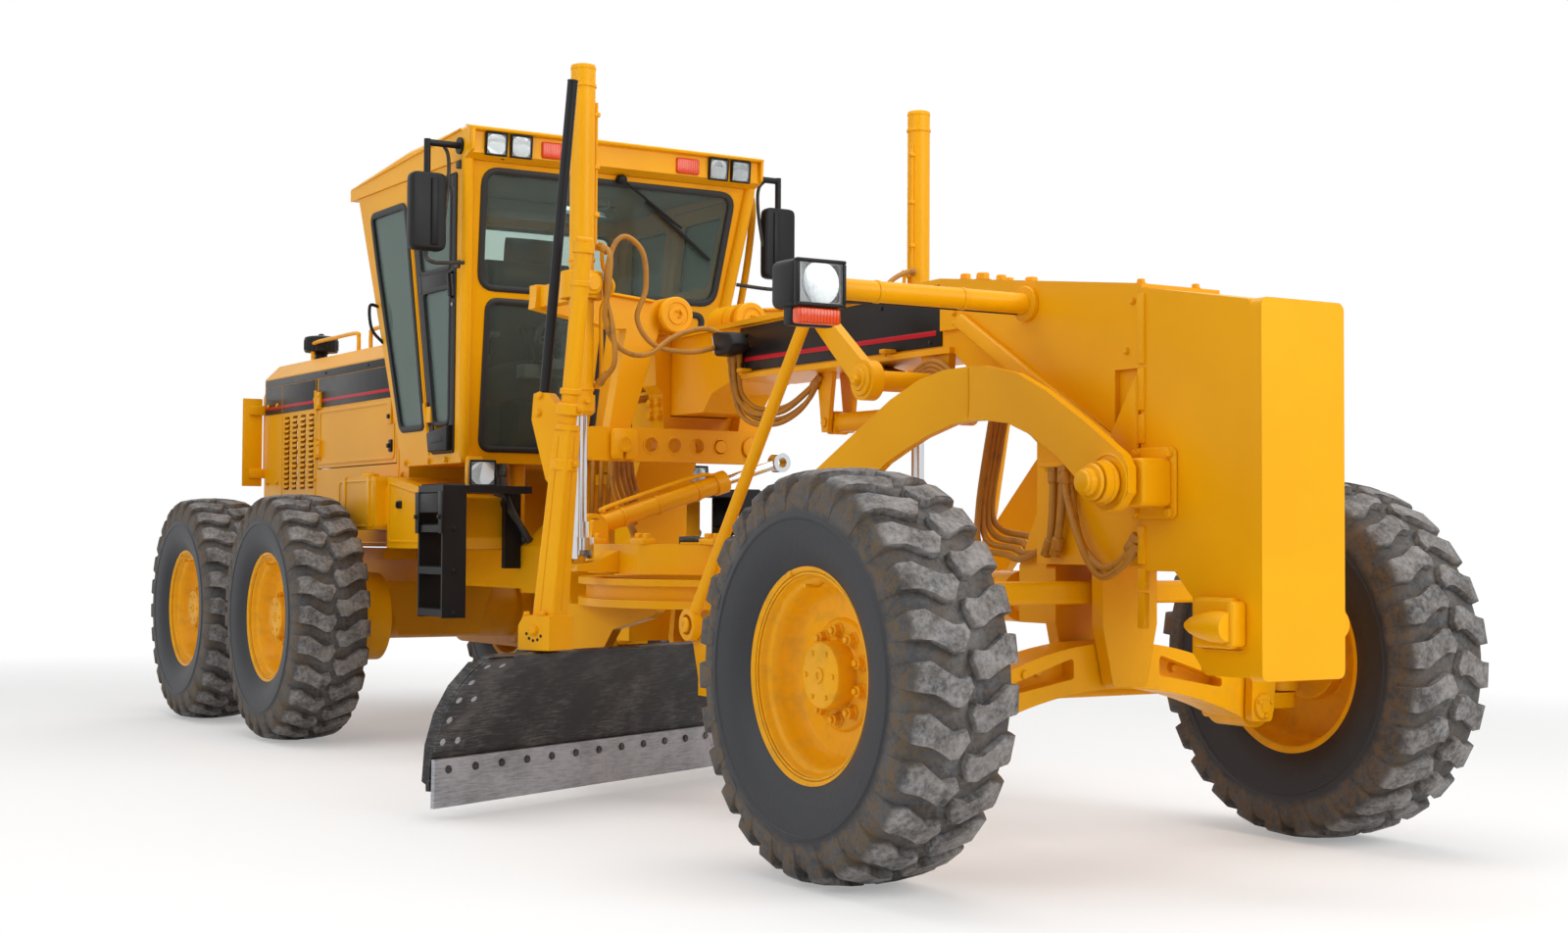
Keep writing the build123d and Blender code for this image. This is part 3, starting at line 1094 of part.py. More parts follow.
for side_name, side in SIDES:
    with BuildPart() as tandem:
        with BuildSketch(Plane.XZ.offset(-side * tandem_y)) as case:
            with Locations((fx(-wheelbase), tyre_radius)):
                SlotOverall(tandem_length, tandem_height)
        extrude(case.sketch, amount=tandem_half_width, both=True)
        bore((-wheelbase, side * (tandem_y - 200), tyre_radius),
             (-wheelbase, side * (tandem_y + 200), tyre_radius),
             90 + pin_fit)
        for x in tandem_wheel_x.values():
            bar((x, side * (tandem_y + tandem_half_width - 1), tyre_radius),
                (x, side * (track / 2 + 20), tyre_radius), spindle_radius)
            bar((x, side * (tandem_y + tandem_half_width - 1), tyre_radius),
                (x, side * (track / 2 - hub_reach - running_gap), tyre_radius), 108)
    save(tandem, f"tandem_case_{side_name}")

with BuildPart() as engine:
    block((-6960, -5300), (-250, 250), (1026, 1860))
save(engine, "engine")

# ---------------------------------------------------------------- hood and its doors


def hood_section(inset):
    """Front-view outline of the hood, its walls moved in by inset."""
    half, top = hood_half_width - inset, hood_top_z - inset
    return [(-half, hood_bottom_z), (-half, top - hood_shoulder), (-half + hood_shoulder, top),
            (half - hood_shoulder, top), (half, top - hood_shoulder), (half, hood_bottom_z)]


vent_x = [-7050 + n * 150 for n in range(4)]
with BuildPart() as hood:
    cross_plate(hood_section(0), hood_x)
    inside = [(y, z - 1 if z == hood_bottom_z else z) for y, z in hood_section(hood_wall)]
    cross_plate(inside, (hood_x[0] + hood_wall, hood_x[1] - hood_wall), Mode.SUBTRACT)
    for side in (-1, 1):
        door_span = span_of(side, (hood_half_width - hood_wall - 1, hood_half_width + 1))
        block(hood_door_x, door_span, hood_door_z, Mode.SUBTRACT)
        for x in vent_x:
            side_plate([(fx(x), 1370), (fx(x) + 96, 1370), (fx(x) + 96, 1820), (fx(x), 1820)], door_span,
                       Mode.SUBTRACT, rounding=14)
    # Opening of the radiator at the rear.
    block((hood_x[0] - 1, hood_x[0] + hood_wall + 1), (-420, 420), (1180, 1980), Mode.SUBTRACT)
    with Locations((fx(-7000), -330, hood_top_z + 50)):
        Cylinder(34, 101)
    with Locations((fx(-7000), -330, hood_top_z + 110)):
        Cylinder(96, 90)
save(hood, "engine_hood")

radiator_x = (hood_x[0] + 2, hood_x[0] + 26)
with BuildPart() as grille:
    block(radiator_x, (-419, 419), (1181, 1979))
    for n in range(9):
        low = 1215 + n * 84
        block((radiator_x[0] - 1, radiator_x[1] + 1), (-385, 385), (low, low + 56), Mode.SUBTRACT)
save(grille, "grille")

for side_name, side in SIDES:
    with BuildPart() as hood_door:
        span = span_of(side, (hood_half_width - hood_wall, hood_half_width))
        side_plate(from_axle([(hood_door_x[0] + running_gap, hood_door_z[0] + running_gap),
                              (hood_door_x[1] - running_gap, hood_door_z[0] + running_gap),
                              (hood_door_x[1] - running_gap, hood_door_z[1] - running_gap),
                              (hood_door_x[0] + running_gap,
                               hood_door_z[1] - running_gap)]), span, rounding=12)
        for z in (hood_door_z[0] + 60, hood_door_z[1] - 180):
            hinge_y = side * (hood_half_width + hinge_radius + 1)
            bar((hood_door_x[0], hinge_y, z), (hood_door_x[0], hinge_y, z + 120), hinge_radius)
            block((hood_door_x[0] + running_gap + 1, hood_door_x[0] + 70),
                  span_of(side, (hood_half_width - 1, hood_half_width + hinge_radius + 5)),
                  (z + 10, z + 110))
        block((hood_door_x[1] - 120, hood_door_x[1] - 60),
              span_of(side, (hood_half_width - 1, hood_half_width + 16)),
              (1700, 1840))
    save(hood_door, f"hood_door_{side_name}")

# ---------------------------------------------------------------- cab


def cab_share(z):
    return (z - cab_floor_z) / (cab_top_z - cab_floor_z)


def cab_span(z):
    """Rear and front face of the cab at this level."""
    return [foot + (head - foot) * cab_share(z) for foot, head in zip(cab_foot_x, cab_head_x)]


def cab_half(z):
    return cab_foot_half_width + (cab_head_half_width - cab_foot_half_width) * cab_share(z)


def cab_section(z, inset):
    """Plan of the tapering cab at this level, its walls moved in by inset."""
    rear, front = cab_span(z)
    with BuildSketch(Plane.XY.offset(z), mode=Mode.PRIVATE) as section:
        with Locations((fx((rear + front) / 2), 0)):
            Rectangle(front - rear - 2 * inset, 2 * (cab_half(z) - inset))
    return section.sketch


def cab_front_at(z, inset):
    """Point of the side view that lies inset behind the cab's front face."""
    return (cab_span(z)[1] - inset, z)


def door_outline(gap):
    """Side view of the door opening, shrunk by gap."""
    low, high = door_z[0] + gap, door_z[1] - gap
    return from_axle([(door_rear_x + gap, low), cab_front_at(low, door_front_inset + gap),
                      cab_front_at(high, door_front_inset + gap), (door_rear_x + gap, high)])


def pane_outline(low, high, gap):
    """Side view of a door pane between two levels."""
    return from_axle([(door_rear_x + gap + pane_border, low),
                      cab_front_at(low, door_front_inset + gap + pane_border),
                      cab_front_at(high, door_front_inset + gap + pane_border),
                      (door_rear_x + gap + pane_border, high)])


outside = (cab_foot_half_width - 400, cab_head_half_width + 40)
door_panes = ((1600, 2310), (2400, 2770))
with BuildPart() as cab:
    loft([cab_section(cab_floor_z, 0), cab_section(cab_top_z, 0)], ruled=True)
    loft([cab_section(cab_floor_z + cab_wall, cab_wall), cab_section(cab_top_z + 20, cab_wall)], ruled=True,
         mode=Mode.SUBTRACT)
    for side in (-1, 1):
        side_plate(door_outline(0), span_of(side, outside), Mode.SUBTRACT, rounding=20)
        # Narrow window behind the door.
        side_plate(from_axle([(-4770, 1640), (-4455, 1640), (-4455, 2770), (-4930, 2770), (-4900, 2500)]),
                   span_of(side, outside), Mode.SUBTRACT, rounding=24)
        # Lower front windows
        cross_plate(turned(side, [(40, 1520), (556, 1520), (600, 2235), (40, 2235)]), (-4100, -3600),
                    Mode.SUBTRACT, rounding=36)
    front_panes = [(-690, 2845), (690, 2845), (650, 2295), (-650, 2295)]
    cross_plate(front_panes, (-3950, -3600), Mode.SUBTRACT, rounding=60)
    cross_plate([(-640, 1900), (640, 1900), (700, 2800), (-700, 2800)], (-5200, -4800), Mode.SUBTRACT,
                rounding=50)
save(cab, "cab_shell")

for side_name, side in SIDES:
    with BuildPart() as cab_door:
        loft([cab_section(cab_floor_z, 0), cab_section(cab_top_z, 0)], ruled=True)
        loft([cab_section(cab_floor_z - 1, cab_wall), cab_section(cab_top_z + 1, cab_wall)], ruled=True,
             mode=Mode.SUBTRACT)
        side_plate(door_outline(running_gap), span_of(side, outside), Mode.INTERSECT, rounding=18)
        for low, high in door_panes:
            side_plate(pane_outline(low, high, running_gap), span_of(side, outside), Mode.SUBTRACT,
                       rounding=30)
        for z in (1640, 2560):
            hinge_low = (door_rear_x, side * (cab_half(z) + hinge_radius + 2), z)
            hinge_high = (door_rear_x, side * (cab_half(z + 120) + hinge_radius + 2), z + 120)
            bar(hinge_low, hinge_high, hinge_radius)
            block((door_rear_x + running_gap + 1, door_rear_x + 70),
                  span_of(side, (cab_half(z + 60) - 8, cab_half(z + 60) + hinge_radius + 6)),
                  (z + 20, z + 100))
    save(cab_door, f"cab_door_{side_name}")

with BuildPart() as roof:
    side_plate(from_axle([(roof_x[0], cab_top_z + seat_gap), (roof_x[0], cab_top_z + 60),
                          (roof_x[0] + 60, cab_top_z + 84),
                          (-4400, 3034), (roof_x[1] - 60, 3045), (roof_x[1], 3015),
                          (roof_x[1], 2905), (roof_x[1] - 60, cab_top_z + seat_gap)]),
               (-roof_half_width, roof_half_width))
    chamfer(roof.edges().filter_by(Axis.X, tolerance=10).group_by(Axis.Z)[-1], length=20)
save(roof, "cab_roof")

floor = cab_floor_z + cab_wall + seat_gap
with BuildPart() as seat:
    block((-4660, -4420), (-160, 160), (floor, floor + 280))
    block((-4700, -4230), (-255, 255), (floor + 280, floor + 420))
    side_plate(from_axle([(-4700, floor + 400), (-4570, floor + 400), (-4660, 2560), (-4760, 2560)]),
               (-240, 240),
               rounding=30)
save(seat, "seat")

wheel_centre = (fx(-4125), 0, 2140)
with BuildPart() as console:
    side_plate(from_axle([(-4190, floor), (-4085, floor), (-4050, 1900), (-4075, 2090), (-4125, 2090),
                          (-4150, 1900)]),
               (-60, 60))
    with Locations(Plane(origin=wheel_centre, z_dir=(-0.5, 0, 1)).location):
        Torus(180, 15)
        for turn in (0, 120, 240):
            with Locations(Location((0, 0, 0), (0, 0, turn))):
                Box(180, 26, 12, align=(Align.MIN, Align.CENTER, Align.CENTER))
        Cylinder(44, 110, align=(Align.CENTER, Align.CENTER, Align.MAX))
save(console, "console")

mirror_arm_z = cab_top_z + mirror_arm_rise
mirror_top_z = mirror_arm_z - mirror_arm_drop
mirror_low_z = mirror_top_z - mirror_height
mirror_across = (mirror_y - mirror_width / 2, mirror_y + mirror_width / 2)
with BuildPart() as mirrors:
    for side in (-1, 1):
        bar((mirror_x, side * (roof_half_width + seat_gap), mirror_arm_z),
            (mirror_x, side * mirror_y, mirror_arm_z), 16)
        bar((mirror_x, side * (roof_half_width + seat_gap), mirror_arm_z),
            (mirror_x, side * (roof_half_width + 12), mirror_arm_z), 40)
        bar((mirror_x, side * mirror_y, mirror_arm_z + 16),
            (mirror_x, side * mirror_y, mirror_top_z - 10), 16)
        cross_plate(turned(side, [(mirror_across[0], mirror_low_z), (mirror_across[1], mirror_low_z),
                                  (mirror_across[1], mirror_top_z), (mirror_across[0], mirror_top_z)]),
                    (mirror_x - 30, mirror_x + 28), rounding=22)
save(mirrors, "mirrors")

with BuildPart() as ladders:
    for side in (-1, 1):
        span = span_of(side, (760, 880))
        for x in (-3990, -3700):
            side_plate(from_axle([(x - 8, 700), (x + 8, 700), (x + 8, 1330), (x - 8, 1330)]), span)
        for z in (706, 906, 1106):
            block((-3990, -3700), span, (z, z + 34))
        block((-3998, -3692), span_of(side, (420, 880)), (1296, 1330))
        block((-3998, -3960), span_of(side, (355, 440)), (930, 1330))
save(ladders, "ladders")

with BuildPart() as side_boxes:
    for side in (-1, 1):
        side_plate(from_axle([(-4880, 1024), (-4080, 1024), (-4020, 1080), (-4020, 1280), (-4880, 1400)]),
                   span_of(side, (360, 700)), rounding=12)
        side_plate(from_axle([(-5460, 1120), (-4900, 1120), (-4900, 1400), (-5460, 1400)]),
                   span_of(side, (560, 760)),
                   rounding=30)
        block((-4960, -4870), span_of(side, (560, 700)), (1150, 1350))
save(side_boxes, "side_boxes")
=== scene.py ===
# %% [markdown]
# # A motor grader, dressed around its CAD frame
#
# A motor grader is a long road machine: two hinged frames, six big tyres, a curved blade under the
# middle and a tall glass cab.  Its solids come from a CAD program and are already in the right place.
# This lesson dresses them: it gives every solid a painted, rubber, steel or glass finish and adds the
# many small things that make a machine look real, such as lugs, nuts, hoses, gaskets and lamps.

# %% Libraries and the frame
import math

import bmesh
import bpy
from mathutils import Matrix, Vector


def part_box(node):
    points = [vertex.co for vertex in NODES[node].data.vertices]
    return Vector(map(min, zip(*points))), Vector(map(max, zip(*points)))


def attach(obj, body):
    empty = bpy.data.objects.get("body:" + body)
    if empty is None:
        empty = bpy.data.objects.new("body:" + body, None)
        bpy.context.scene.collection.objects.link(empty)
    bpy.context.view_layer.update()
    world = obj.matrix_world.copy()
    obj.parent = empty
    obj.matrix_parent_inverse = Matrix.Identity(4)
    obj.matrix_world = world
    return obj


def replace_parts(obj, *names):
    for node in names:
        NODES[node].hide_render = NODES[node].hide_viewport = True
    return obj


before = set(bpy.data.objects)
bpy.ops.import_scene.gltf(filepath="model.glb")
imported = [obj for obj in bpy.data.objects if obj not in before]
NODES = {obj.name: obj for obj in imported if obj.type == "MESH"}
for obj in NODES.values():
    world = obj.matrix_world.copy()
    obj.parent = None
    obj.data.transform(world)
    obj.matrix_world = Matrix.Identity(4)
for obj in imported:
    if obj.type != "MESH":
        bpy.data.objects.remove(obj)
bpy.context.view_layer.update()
SIDES = (("right", -1), ("left", 1))
WHEELS = [f"{place}_{label}" for label, _ in SIDES for place in ("front", "tandem_front",
    "tandem_rear")]


# %% [markdown]
# ## Where things are
#
# All places are in metres, with X forward, Y to the machine's left and Z up.  Lengths along the machine
# are easier to read from the front axle, so one helper turns "so far ahead of the axle" into X.  The
# axle itself is measured on the right front tyre, so nothing here has to be retyped if the machine
# moves.

# %% Measured places
X, Y, Z = Vector((1, 0, 0)), Vector((0, 1, 0)), Vector((0, 0, 1))


def middle(node):
    """Centre of a CAD node's box."""
    low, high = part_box(node)
    return (Vector(low) + Vector(high)) / 2


AXLE = middle("tyre_front_right")
AXLE_X = AXLE.x
TYRE_RADIUS = AXLE.z


def ahead(distance):
    """The X of a place that lies this far ahead of the front axle."""
    return AXLE_X + distance


def at(distance, y, z):
    """A point given from the front axle."""
    return Vector((ahead(distance), y, z))


print("front axle at X", round(AXLE_X, 3), "and tyre radius", round(TYRE_RADIUS, 3))

# %% [markdown]
# ## Camera, floor and light
#
# The view is a low three-quarter view from the front right, from about a metre above the ground.  A
# real catalogue picture of such a machine is lit by large soft lamps over a white sweep.  Four area
# lamps do that here: a broad one from the front, a weaker one from the side where the camera stands,
# a soft one above and a small one behind.  The world adds an even fill, so the far side isn't black.

# %% Camera
CAMERA_PLACE = at(5.454, -4.673, 1.080)
CAMERA_HEADING = math.radians(148.12)
CAMERA_TILT = math.radians(2.02)
CAMERA_ROLL = math.radians(0.295)
SENSOR_WIDTH = 36.0
FOCAL_LENGTH = 47.4993

forward = Vector((math.cos(CAMERA_TILT) * math.cos(CAMERA_HEADING),
    math.cos(CAMERA_TILT) * math.sin(CAMERA_HEADING), math.sin(CAMERA_TILT)))
level_right = forward.cross(Z).normalized()
level_up = level_right.cross(forward)
right = level_right * math.cos(CAMERA_ROLL) + level_up * math.sin(CAMERA_ROLL)
up = level_up * math.cos(CAMERA_ROLL) - level_right * math.sin(CAMERA_ROLL)

camera_data = bpy.data.cameras.new("camera")
camera_data.lens = FOCAL_LENGTH
camera_data.sensor_width = SENSOR_WIDTH
camera_data.clip_end = 200
camera = bpy.data.objects.new("camera", camera_data)
bpy.context.scene.collection.objects.link(camera)
camera.matrix_world = Matrix.Translation(CAMERA_PLACE) @ Matrix((right, up, -forward)).transposed(
    ).to_4x4()
bpy.context.scene.camera = camera
bpy.context.scene.view_settings.view_transform = "Standard"
print("camera at", [round(v, 2) for v in CAMERA_PLACE], "with a lens of", round(FOCAL_LENGTH, 1), "mm")

# %% Lamps
LAMPS = (  # name, place from the front axle, aim from the front axle, width, depth, watts
    ("front_lamp", (7.5, 2.5, 5.5), (0, 0, 1.0), 7.0, 5.0, 500),
    ("side_lamp", (-1.0, -9.0, 5.0), (-2.5, 0, 1.2), 9.0, 4.0, 205),
    ("top_lamp", (-2.5, -0.5, 8.5), (-3, 0, 0.5), 10.0, 5.0, 380),
    ("rear_lamp", (-12.5, 5.0, 4.5), (-5, 0, 1.2), 6.0, 4.0, 180),
)
for name, place, aim, width, depth, watts in LAMPS:
    lamp_data = bpy.data.lights.new(name, "AREA")
    lamp_data.shape = "RECTANGLE"
    lamp_data.size = width
    lamp_data.size_y = depth
    lamp_data.energy = watts
    lamp = bpy.data.objects.new(name, lamp_data)
    bpy.context.scene.collection.objects.link(lamp)
    lamp.location = at(*place)
    lamp.rotation_euler = (at(*aim) - at(*place)).to_track_quat("-Z", "Y").to_euler()
print(len(LAMPS), "area lamps")

# %% [markdown]
# ## A short way to write shader nodes
#
# A shader is a small graph.  Written by hand, each sum takes five lines, so one class wraps a socket
# and lets Python's own operators add the Math nodes: `1 - mask * 0.5` then reads as what it is.  A
# second class holds one material and makes every other kind of node with a single method.


# %% The socket class
class Signal:
    """A value that changes over a surface: one output socket, with Python's arithmetic."""

    def __init__(self, finish, socket):
        self.finish = finish
        self.socket = socket

    def _math(self, operation, first, second):
        return self.finish.node("ShaderNodeMath", {"operation": operation}, {0: first, 1: second})

    def __add__(self, other):
        return self._math("ADD", self, other)

    def __radd__(self, other):
        return self._math("ADD", other, self)

    def __sub__(self, other):
        return self._math("SUBTRACT", self, other)

    def __rsub__(self, other):
        return self._math("SUBTRACT", other, self)

    def __mul__(self, other):
        return self._math("MULTIPLY", self, other)

    def __rmul__(self, other):
        return self._math("MULTIPLY", other, self)

    def __truediv__(self, other):
        return self._math("DIVIDE", self, other)

    def __rtruediv__(self, other):
        return self._math("DIVIDE", other, self)

    def __pow__(self, other):
        return self._math("POWER", self, other)

    def between(self, low, high):
        """Turns the stretch from low to high into a soft step from 0 to 1."""
        return self.finish.node("ShaderNodeMapRange", {"interpolation_type": "SMOOTHSTEP"},
            {"Value": self, "From Min": low, "From Max": high, "To Min": 0.0, "To Max": 1.0})


def colour(red, green, blue):
    """A colour written as on a paint card, 0 to 255, as the linear light that Blender works with."""
    channels = []
    for value in (red, green, blue):
        share = value / 255
        channels.append(share / 12.92 if share <= 0.04045 else ((share + 0.055) / 1.055) ** 2.4)
    return (*channels, 1.0)


# %% The material class
class Finish:
    """One material: a Principled shader and the nodes that vary it."""

    def __init__(self, name, base, roughness, **constants):
        self.material = bpy.data.materials.new(name)
        self.material.use_nodes = True
        self.tree = self.material.node_tree
        self.shader = self.tree.nodes["Principled BSDF"]
        self.shader.inputs["Base Color"].default_value = base
        self.shader.inputs["Roughness"].default_value = roughness
        for socket, value in constants.items():
            self.shader.inputs[socket.replace("_", " ")].default_value = value
        self.base = base

    def node(self, kind, settings=None, inputs=None, output=0):
        """Adds a node, sets it up, feeds its sockets and gives one of its outputs."""
        made = self.tree.nodes.new(kind)
        for name, value in (settings or {}).items():
            if name == "stops":
                for stop, (place, tone) in zip((made.color_ramp.elements[0],
                        made.color_ramp.elements[1]), value):
                    stop.position = place
                    stop.color = tone
                for place, tone in value[2:]:
                    made.color_ramp.elements.new(place).color = tone
            else:
                setattr(made, name, value)
        for socket, value in (inputs or {}).items():
            if isinstance(value, Signal):
                self.tree.links.new(value.socket, made.inputs[socket])
            else:
                made.inputs[socket].default_value = value
        return Signal(self, made.outputs[output])

    def feed(self, socket, value):
        self.tree.links.new(value.socket, self.shader.inputs[socket])

    def place(self, stretch=(1, 1, 1)):
        """The point on the piece, stretched for patterns that run along one axis."""
        here = self.node("ShaderNodeTexCoord", output="Object")
        return self.node("ShaderNodeVectorMath", {"operation": "MULTIPLY"}, {0: here, 1: stretch})

    def axis(self, letter, stretch=(1, 1, 1)):
        return self.node("ShaderNodeSeparateXYZ", None, {0: self.place(stretch)}, output=letter)

    def noise(self, scale, detail=3.0, roughness=0.55, stretch=(1, 1, 1)):
        return self.node("ShaderNodeTexNoise", None, {"Vector": self.place(stretch),
            "Scale": scale, "Detail": detail, "Roughness": roughness})

    def blend(self, mask, low, high):
        """Mixes two colours, or a colour and a signal, by a mask."""
        return self.node("ShaderNodeMix", {"data_type": "RGBA"}, {"Factor": mask, 6: low, 7: high},
            output=2)

    def relief(self, height, strength, distance, rounding=0.0):
        """Feeds a height to the shader's normal, over edges rounded by so many metres."""
        inputs = {"Height": height, "Strength": strength, "Distance": distance}
        if rounding:
            inputs["Normal"] = self.node("ShaderNodeBevel", {"samples": 4}, {"Radius": rounding})
        self.feed("Normal", self.node("ShaderNodeBump", None, inputs))


print("shader helpers ready")

# %% [markdown]
# ## Floor
#
# The floor is one large pale sheet that keeps the soft shadow under the machine.  Further out it fades
# from that lit colour to plain white that shines by itself, so no horizon shows.  Only the camera,
# mirrors and glass see the fade and the white world behind it; a calmer grey light fills the machine.

# %% Floor and world
floor_mesh = bpy.data.meshes.new("floor")
FLOOR_HALF = 60.0
floor_mesh.from_pydata([(-FLOOR_HALF, -FLOOR_HALF, 0), (FLOOR_HALF, -FLOOR_HALF, 0),
    (FLOOR_HALF, FLOOR_HALF, 0), (-FLOOR_HALF, FLOOR_HALF, 0)], [], [(0, 1, 2, 3)])
floor = bpy.data.objects.new("floor", floor_mesh)
bpy.context.scene.collection.objects.link(floor)
PALE, BLACK, WHITE = colour(247, 247, 247), (0, 0, 0, 1), (1, 1, 1, 1)
floor_finish = Finish("studio_floor", PALE, 0.9, Specular_IOR_Level=0.1, Emission_Strength=1.0)
sight = floor_finish.node("ShaderNodeLightPath", output="Is Camera Ray")
for kind in ("Is Glossy Ray", "Is Transmission Ray"):
    ray = floor_finish.node("ShaderNodeLightPath", output=kind)
    sight = floor_finish.node("ShaderNodeMath", {"operation": "MAXIMUM"}, {0: sight, 1: ray})
along, across = floor_finish.axis("X"), floor_finish.axis("Y")
FADE_FROM, FADE_TO = 4.2, 9.0
away = (along * along * 0.55 + across * across) ** 0.5
fade = (away.between(FADE_FROM, FADE_TO) * 0.68 + 0.32) * sight
floor_finish.feed("Base Color", floor_finish.blend(fade, PALE, BLACK))
floor_finish.feed("Emission Color", floor_finish.blend(fade, BLACK, WHITE))
floor_mesh.materials.append(floor_finish.material)

world = bpy.data.worlds.new("studio")
bpy.context.scene.world = world
world.use_nodes = True
world_nodes = world.node_tree.nodes
world_links = world.node_tree.links
FILL_LIGHT = 0.42
white_wall = world_nodes["Background"]
white_wall.inputs["Color"].default_value = (1, 1, 1, 1)
rays = world_nodes.new("ShaderNodeLightPath")
seen = world_nodes.new("ShaderNodeMath")
seen.operation = "MAXIMUM"
seen_through = world_nodes.new("ShaderNodeMath")
seen_through.operation = "MAXIMUM"
strength = world_nodes.new("ShaderNodeMapRange")
strength.inputs["To Min"].default_value = FILL_LIGHT
world_links.new(rays.outputs["Is Camera Ray"], seen.inputs[0])
world_links.new(rays.outputs["Is Glossy Ray"], seen.inputs[1])
world_links.new(seen.outputs[0], seen_through.inputs[0])
world_links.new(rays.outputs["Is Transmission Ray"], seen_through.inputs[1])
world_links.new(seen_through.outputs[0], strength.inputs["Value"])
world_links.new(strength.outputs["Result"], white_wall.inputs["Strength"])
print("floor and world ready")

# %% [markdown]
# ## Finishes
#
# Yellow enamel covers most of the machine.  It is sprayed on thick plate, so it has a faint orange
# peel, a gloss that varies a little, and a shade that drifts where dust has settled low down.  A bevel
# in the shader rounds the sharp CAD edges by a few millimetres, so that they catch the light as welded
# and ground plate does.

# %% Enamels
YELLOW = colour(243, 172, 2)
YELLOW_SHADE = colour(234, 160, 0)
YELLOW_DUSTY = colour(205, 152, 50)
EDGE_ROUNDING = 0.004


def enamel(name, base, shade, dusty, gloss, dust_height=0.75, rounding=EDGE_ROUNDING):
    """Sprayed enamel: cloudy shade, dust low down, orange peel and rounded edges."""
    finish = Finish(name, base, gloss, Specular_IOR_Level=0.2)
    clouds = finish.noise(1.7, 3.0).between(0.35, 0.68)
    grime = finish.noise(14.0, 5.0, 0.65)
    low_down = 1 - finish.axis("Z").between(0.35, dust_height)
    dust = (grime.between(0.42, 0.72) * low_down) * 0.55
    finish.feed("Base Color", finish.blend(dust, finish.blend(clouds * 0.55, base, shade), dusty))
    finish.feed("Roughness", gloss + grime * 0.12 + dust * 0.3)
    finish.relief(finish.noise(260.0, 2.0) + finish.noise(9.0, 2.0) * 2.0, 0.05, 0.002, rounding)
    return finish


yellow_paint = enamel("yellow_paint", YELLOW, YELLOW_SHADE, YELLOW_DUSTY, 0.30)
black_paint = enamel("black_paint", colour(24, 24, 26), colour(33, 33, 35), colour(92, 84, 70), 0.36)
print("enamels:", yellow_paint.material.name, black_paint.material.name)

# %% [markdown]
# ## Rubber
#
# The tyres are black rubber that has been off the road.  The sidewall is nearly clean and blue-black,
# the shoulder carries dried brown mud, and the tops of the lugs are scuffed to a mottled grey that is
# also a painted highlight, as if lamps caught them.  The distance from the hub tells these zones
# apart, because each tyre's own origin is at its hub.

# %% Tyre rubber
def tyre_rubber():
    finish = Finish("tyre_rubber", colour(38, 40, 44), 0.72)
    across = finish.axis("X")
    height = finish.axis("Z")
    radius = (across * across + height * height) ** 0.5
    fine = finish.noise(55.0, 6.0, 0.7)
    broad = finish.noise(9.0, 5.0, 0.7)
    streaks = finish.noise(26.0, 6.0, 0.75, (1.0, 0.35, 1.0))
    tread_zone = (radius + broad * 0.03).between(0.520, 0.560)
    shoulder_zone = tread_zone * (1 - (radius + fine * 0.012).between(0.600, 0.640))
    mud = streaks.between(0.40, 0.62) * (shoulder_zone * 0.75 + tread_zone * 0.30)
    # The lug tops and tread get a lighter mottled grey: partly scuffed rubber, partly a painted highlight
    # where the tread would catch the light.
    lug_top_scuff_and_highlight = radius.between(0.616, 0.634) * 0.75 + 0.25
    patchy = (fine * 0.45 + broad * 0.55).between(0.32, 0.66)
    scuff_and_highlight_tone = finish.blend(patchy * lug_top_scuff_and_highlight, colour(44, 44, 47), colour(150, 148, 147))
    scuff_and_highlight_tread = finish.blend(tread_zone, colour(26, 28, 34), scuff_and_highlight_tone)
    marked = finish.blend(finish.noise(120.0, 4.0, 0.8).between(0.60, 0.78) * tread_zone * 0.6,
        scuff_and_highlight_tread, colour(168, 158, 142))
    finish.feed("Base Color", finish.blend(mud * 0.85, marked, colour(104, 86, 64)))
    finish.feed("Roughness", 0.52 + tread_zone * 0.22 + mud * 0.15)
    finish.relief(fine * 0.6 + finish.noise(150.0, 3.0) * 0.25 + mud * 0.5, 0.35, 0.006)
    return finish


rubber = tyre_rubber()
print("rubber ready")

# %% [markdown]
# ## Steel, chrome, glass and small finishes
#
# The moldboard wears its black paint off as soil rolls over it, in fine arcs along its length.  The
# cutting edge is bare steel, and the cylinder rods are hard chrome.  Window glass is thin and tinted:
# a mirror-like coat over a see-through sheet, mixed by how steeply one looks at it.

# %% Metals
def worn_steel(name, paint, bare, rust, wear_low, wear_high, gloss):
    """Steel whose dark paint is scoured by soil, finest along the machine's width."""
    finish = Finish(name, bare, gloss, Metallic=0.35)
    scour = finish.noise(30.0, 6.0, 0.7, (1.0, 0.12, 6.0))
    patches = finish.noise(3.2, 5.0, 0.65)
    spots = finish.noise(42.0, 5.0, 0.75)
    worn = (scour * 0.6 + patches * 0.6).between(wear_low, wear_high)
    rusty = (spots * 0.5 + patches * 0.5).between(0.56, 0.68)
    finish.feed("Base Color", finish.blend(rusty * 0.55, finish.blend(worn, paint, bare), rust))
    finish.feed("Roughness", gloss + scour * 0.22 + rusty * 0.15)
    finish.relief(scour + spots * 0.5, 0.25, 0.002, 0.003)
    return finish


blade_face = worn_steel("blade_face", colour(38, 37, 37), colour(112, 110, 109),
    colour(116, 88, 62), 0.54, 0.82, 0.32)
edge_steel = worn_steel("edge_steel", colour(138, 140, 146), colour(188, 190, 196),
    colour(146, 116, 92), 0.45, 0.72, 0.34)
chrome = Finish("chrome", colour(205, 208, 212), 0.14, Metallic=1.0)
chrome.feed("Roughness", 0.10 + chrome.noise(60.0, 3.0, 0.6, (1, 1, 0.2)) * 0.14)
plated = Finish("plated_steel", colour(150, 148, 142), 0.38, Metallic=0.9)
plated.feed("Roughness", 0.28 + plated.noise(80.0, 4.0) * 0.25)
print("metals ready")


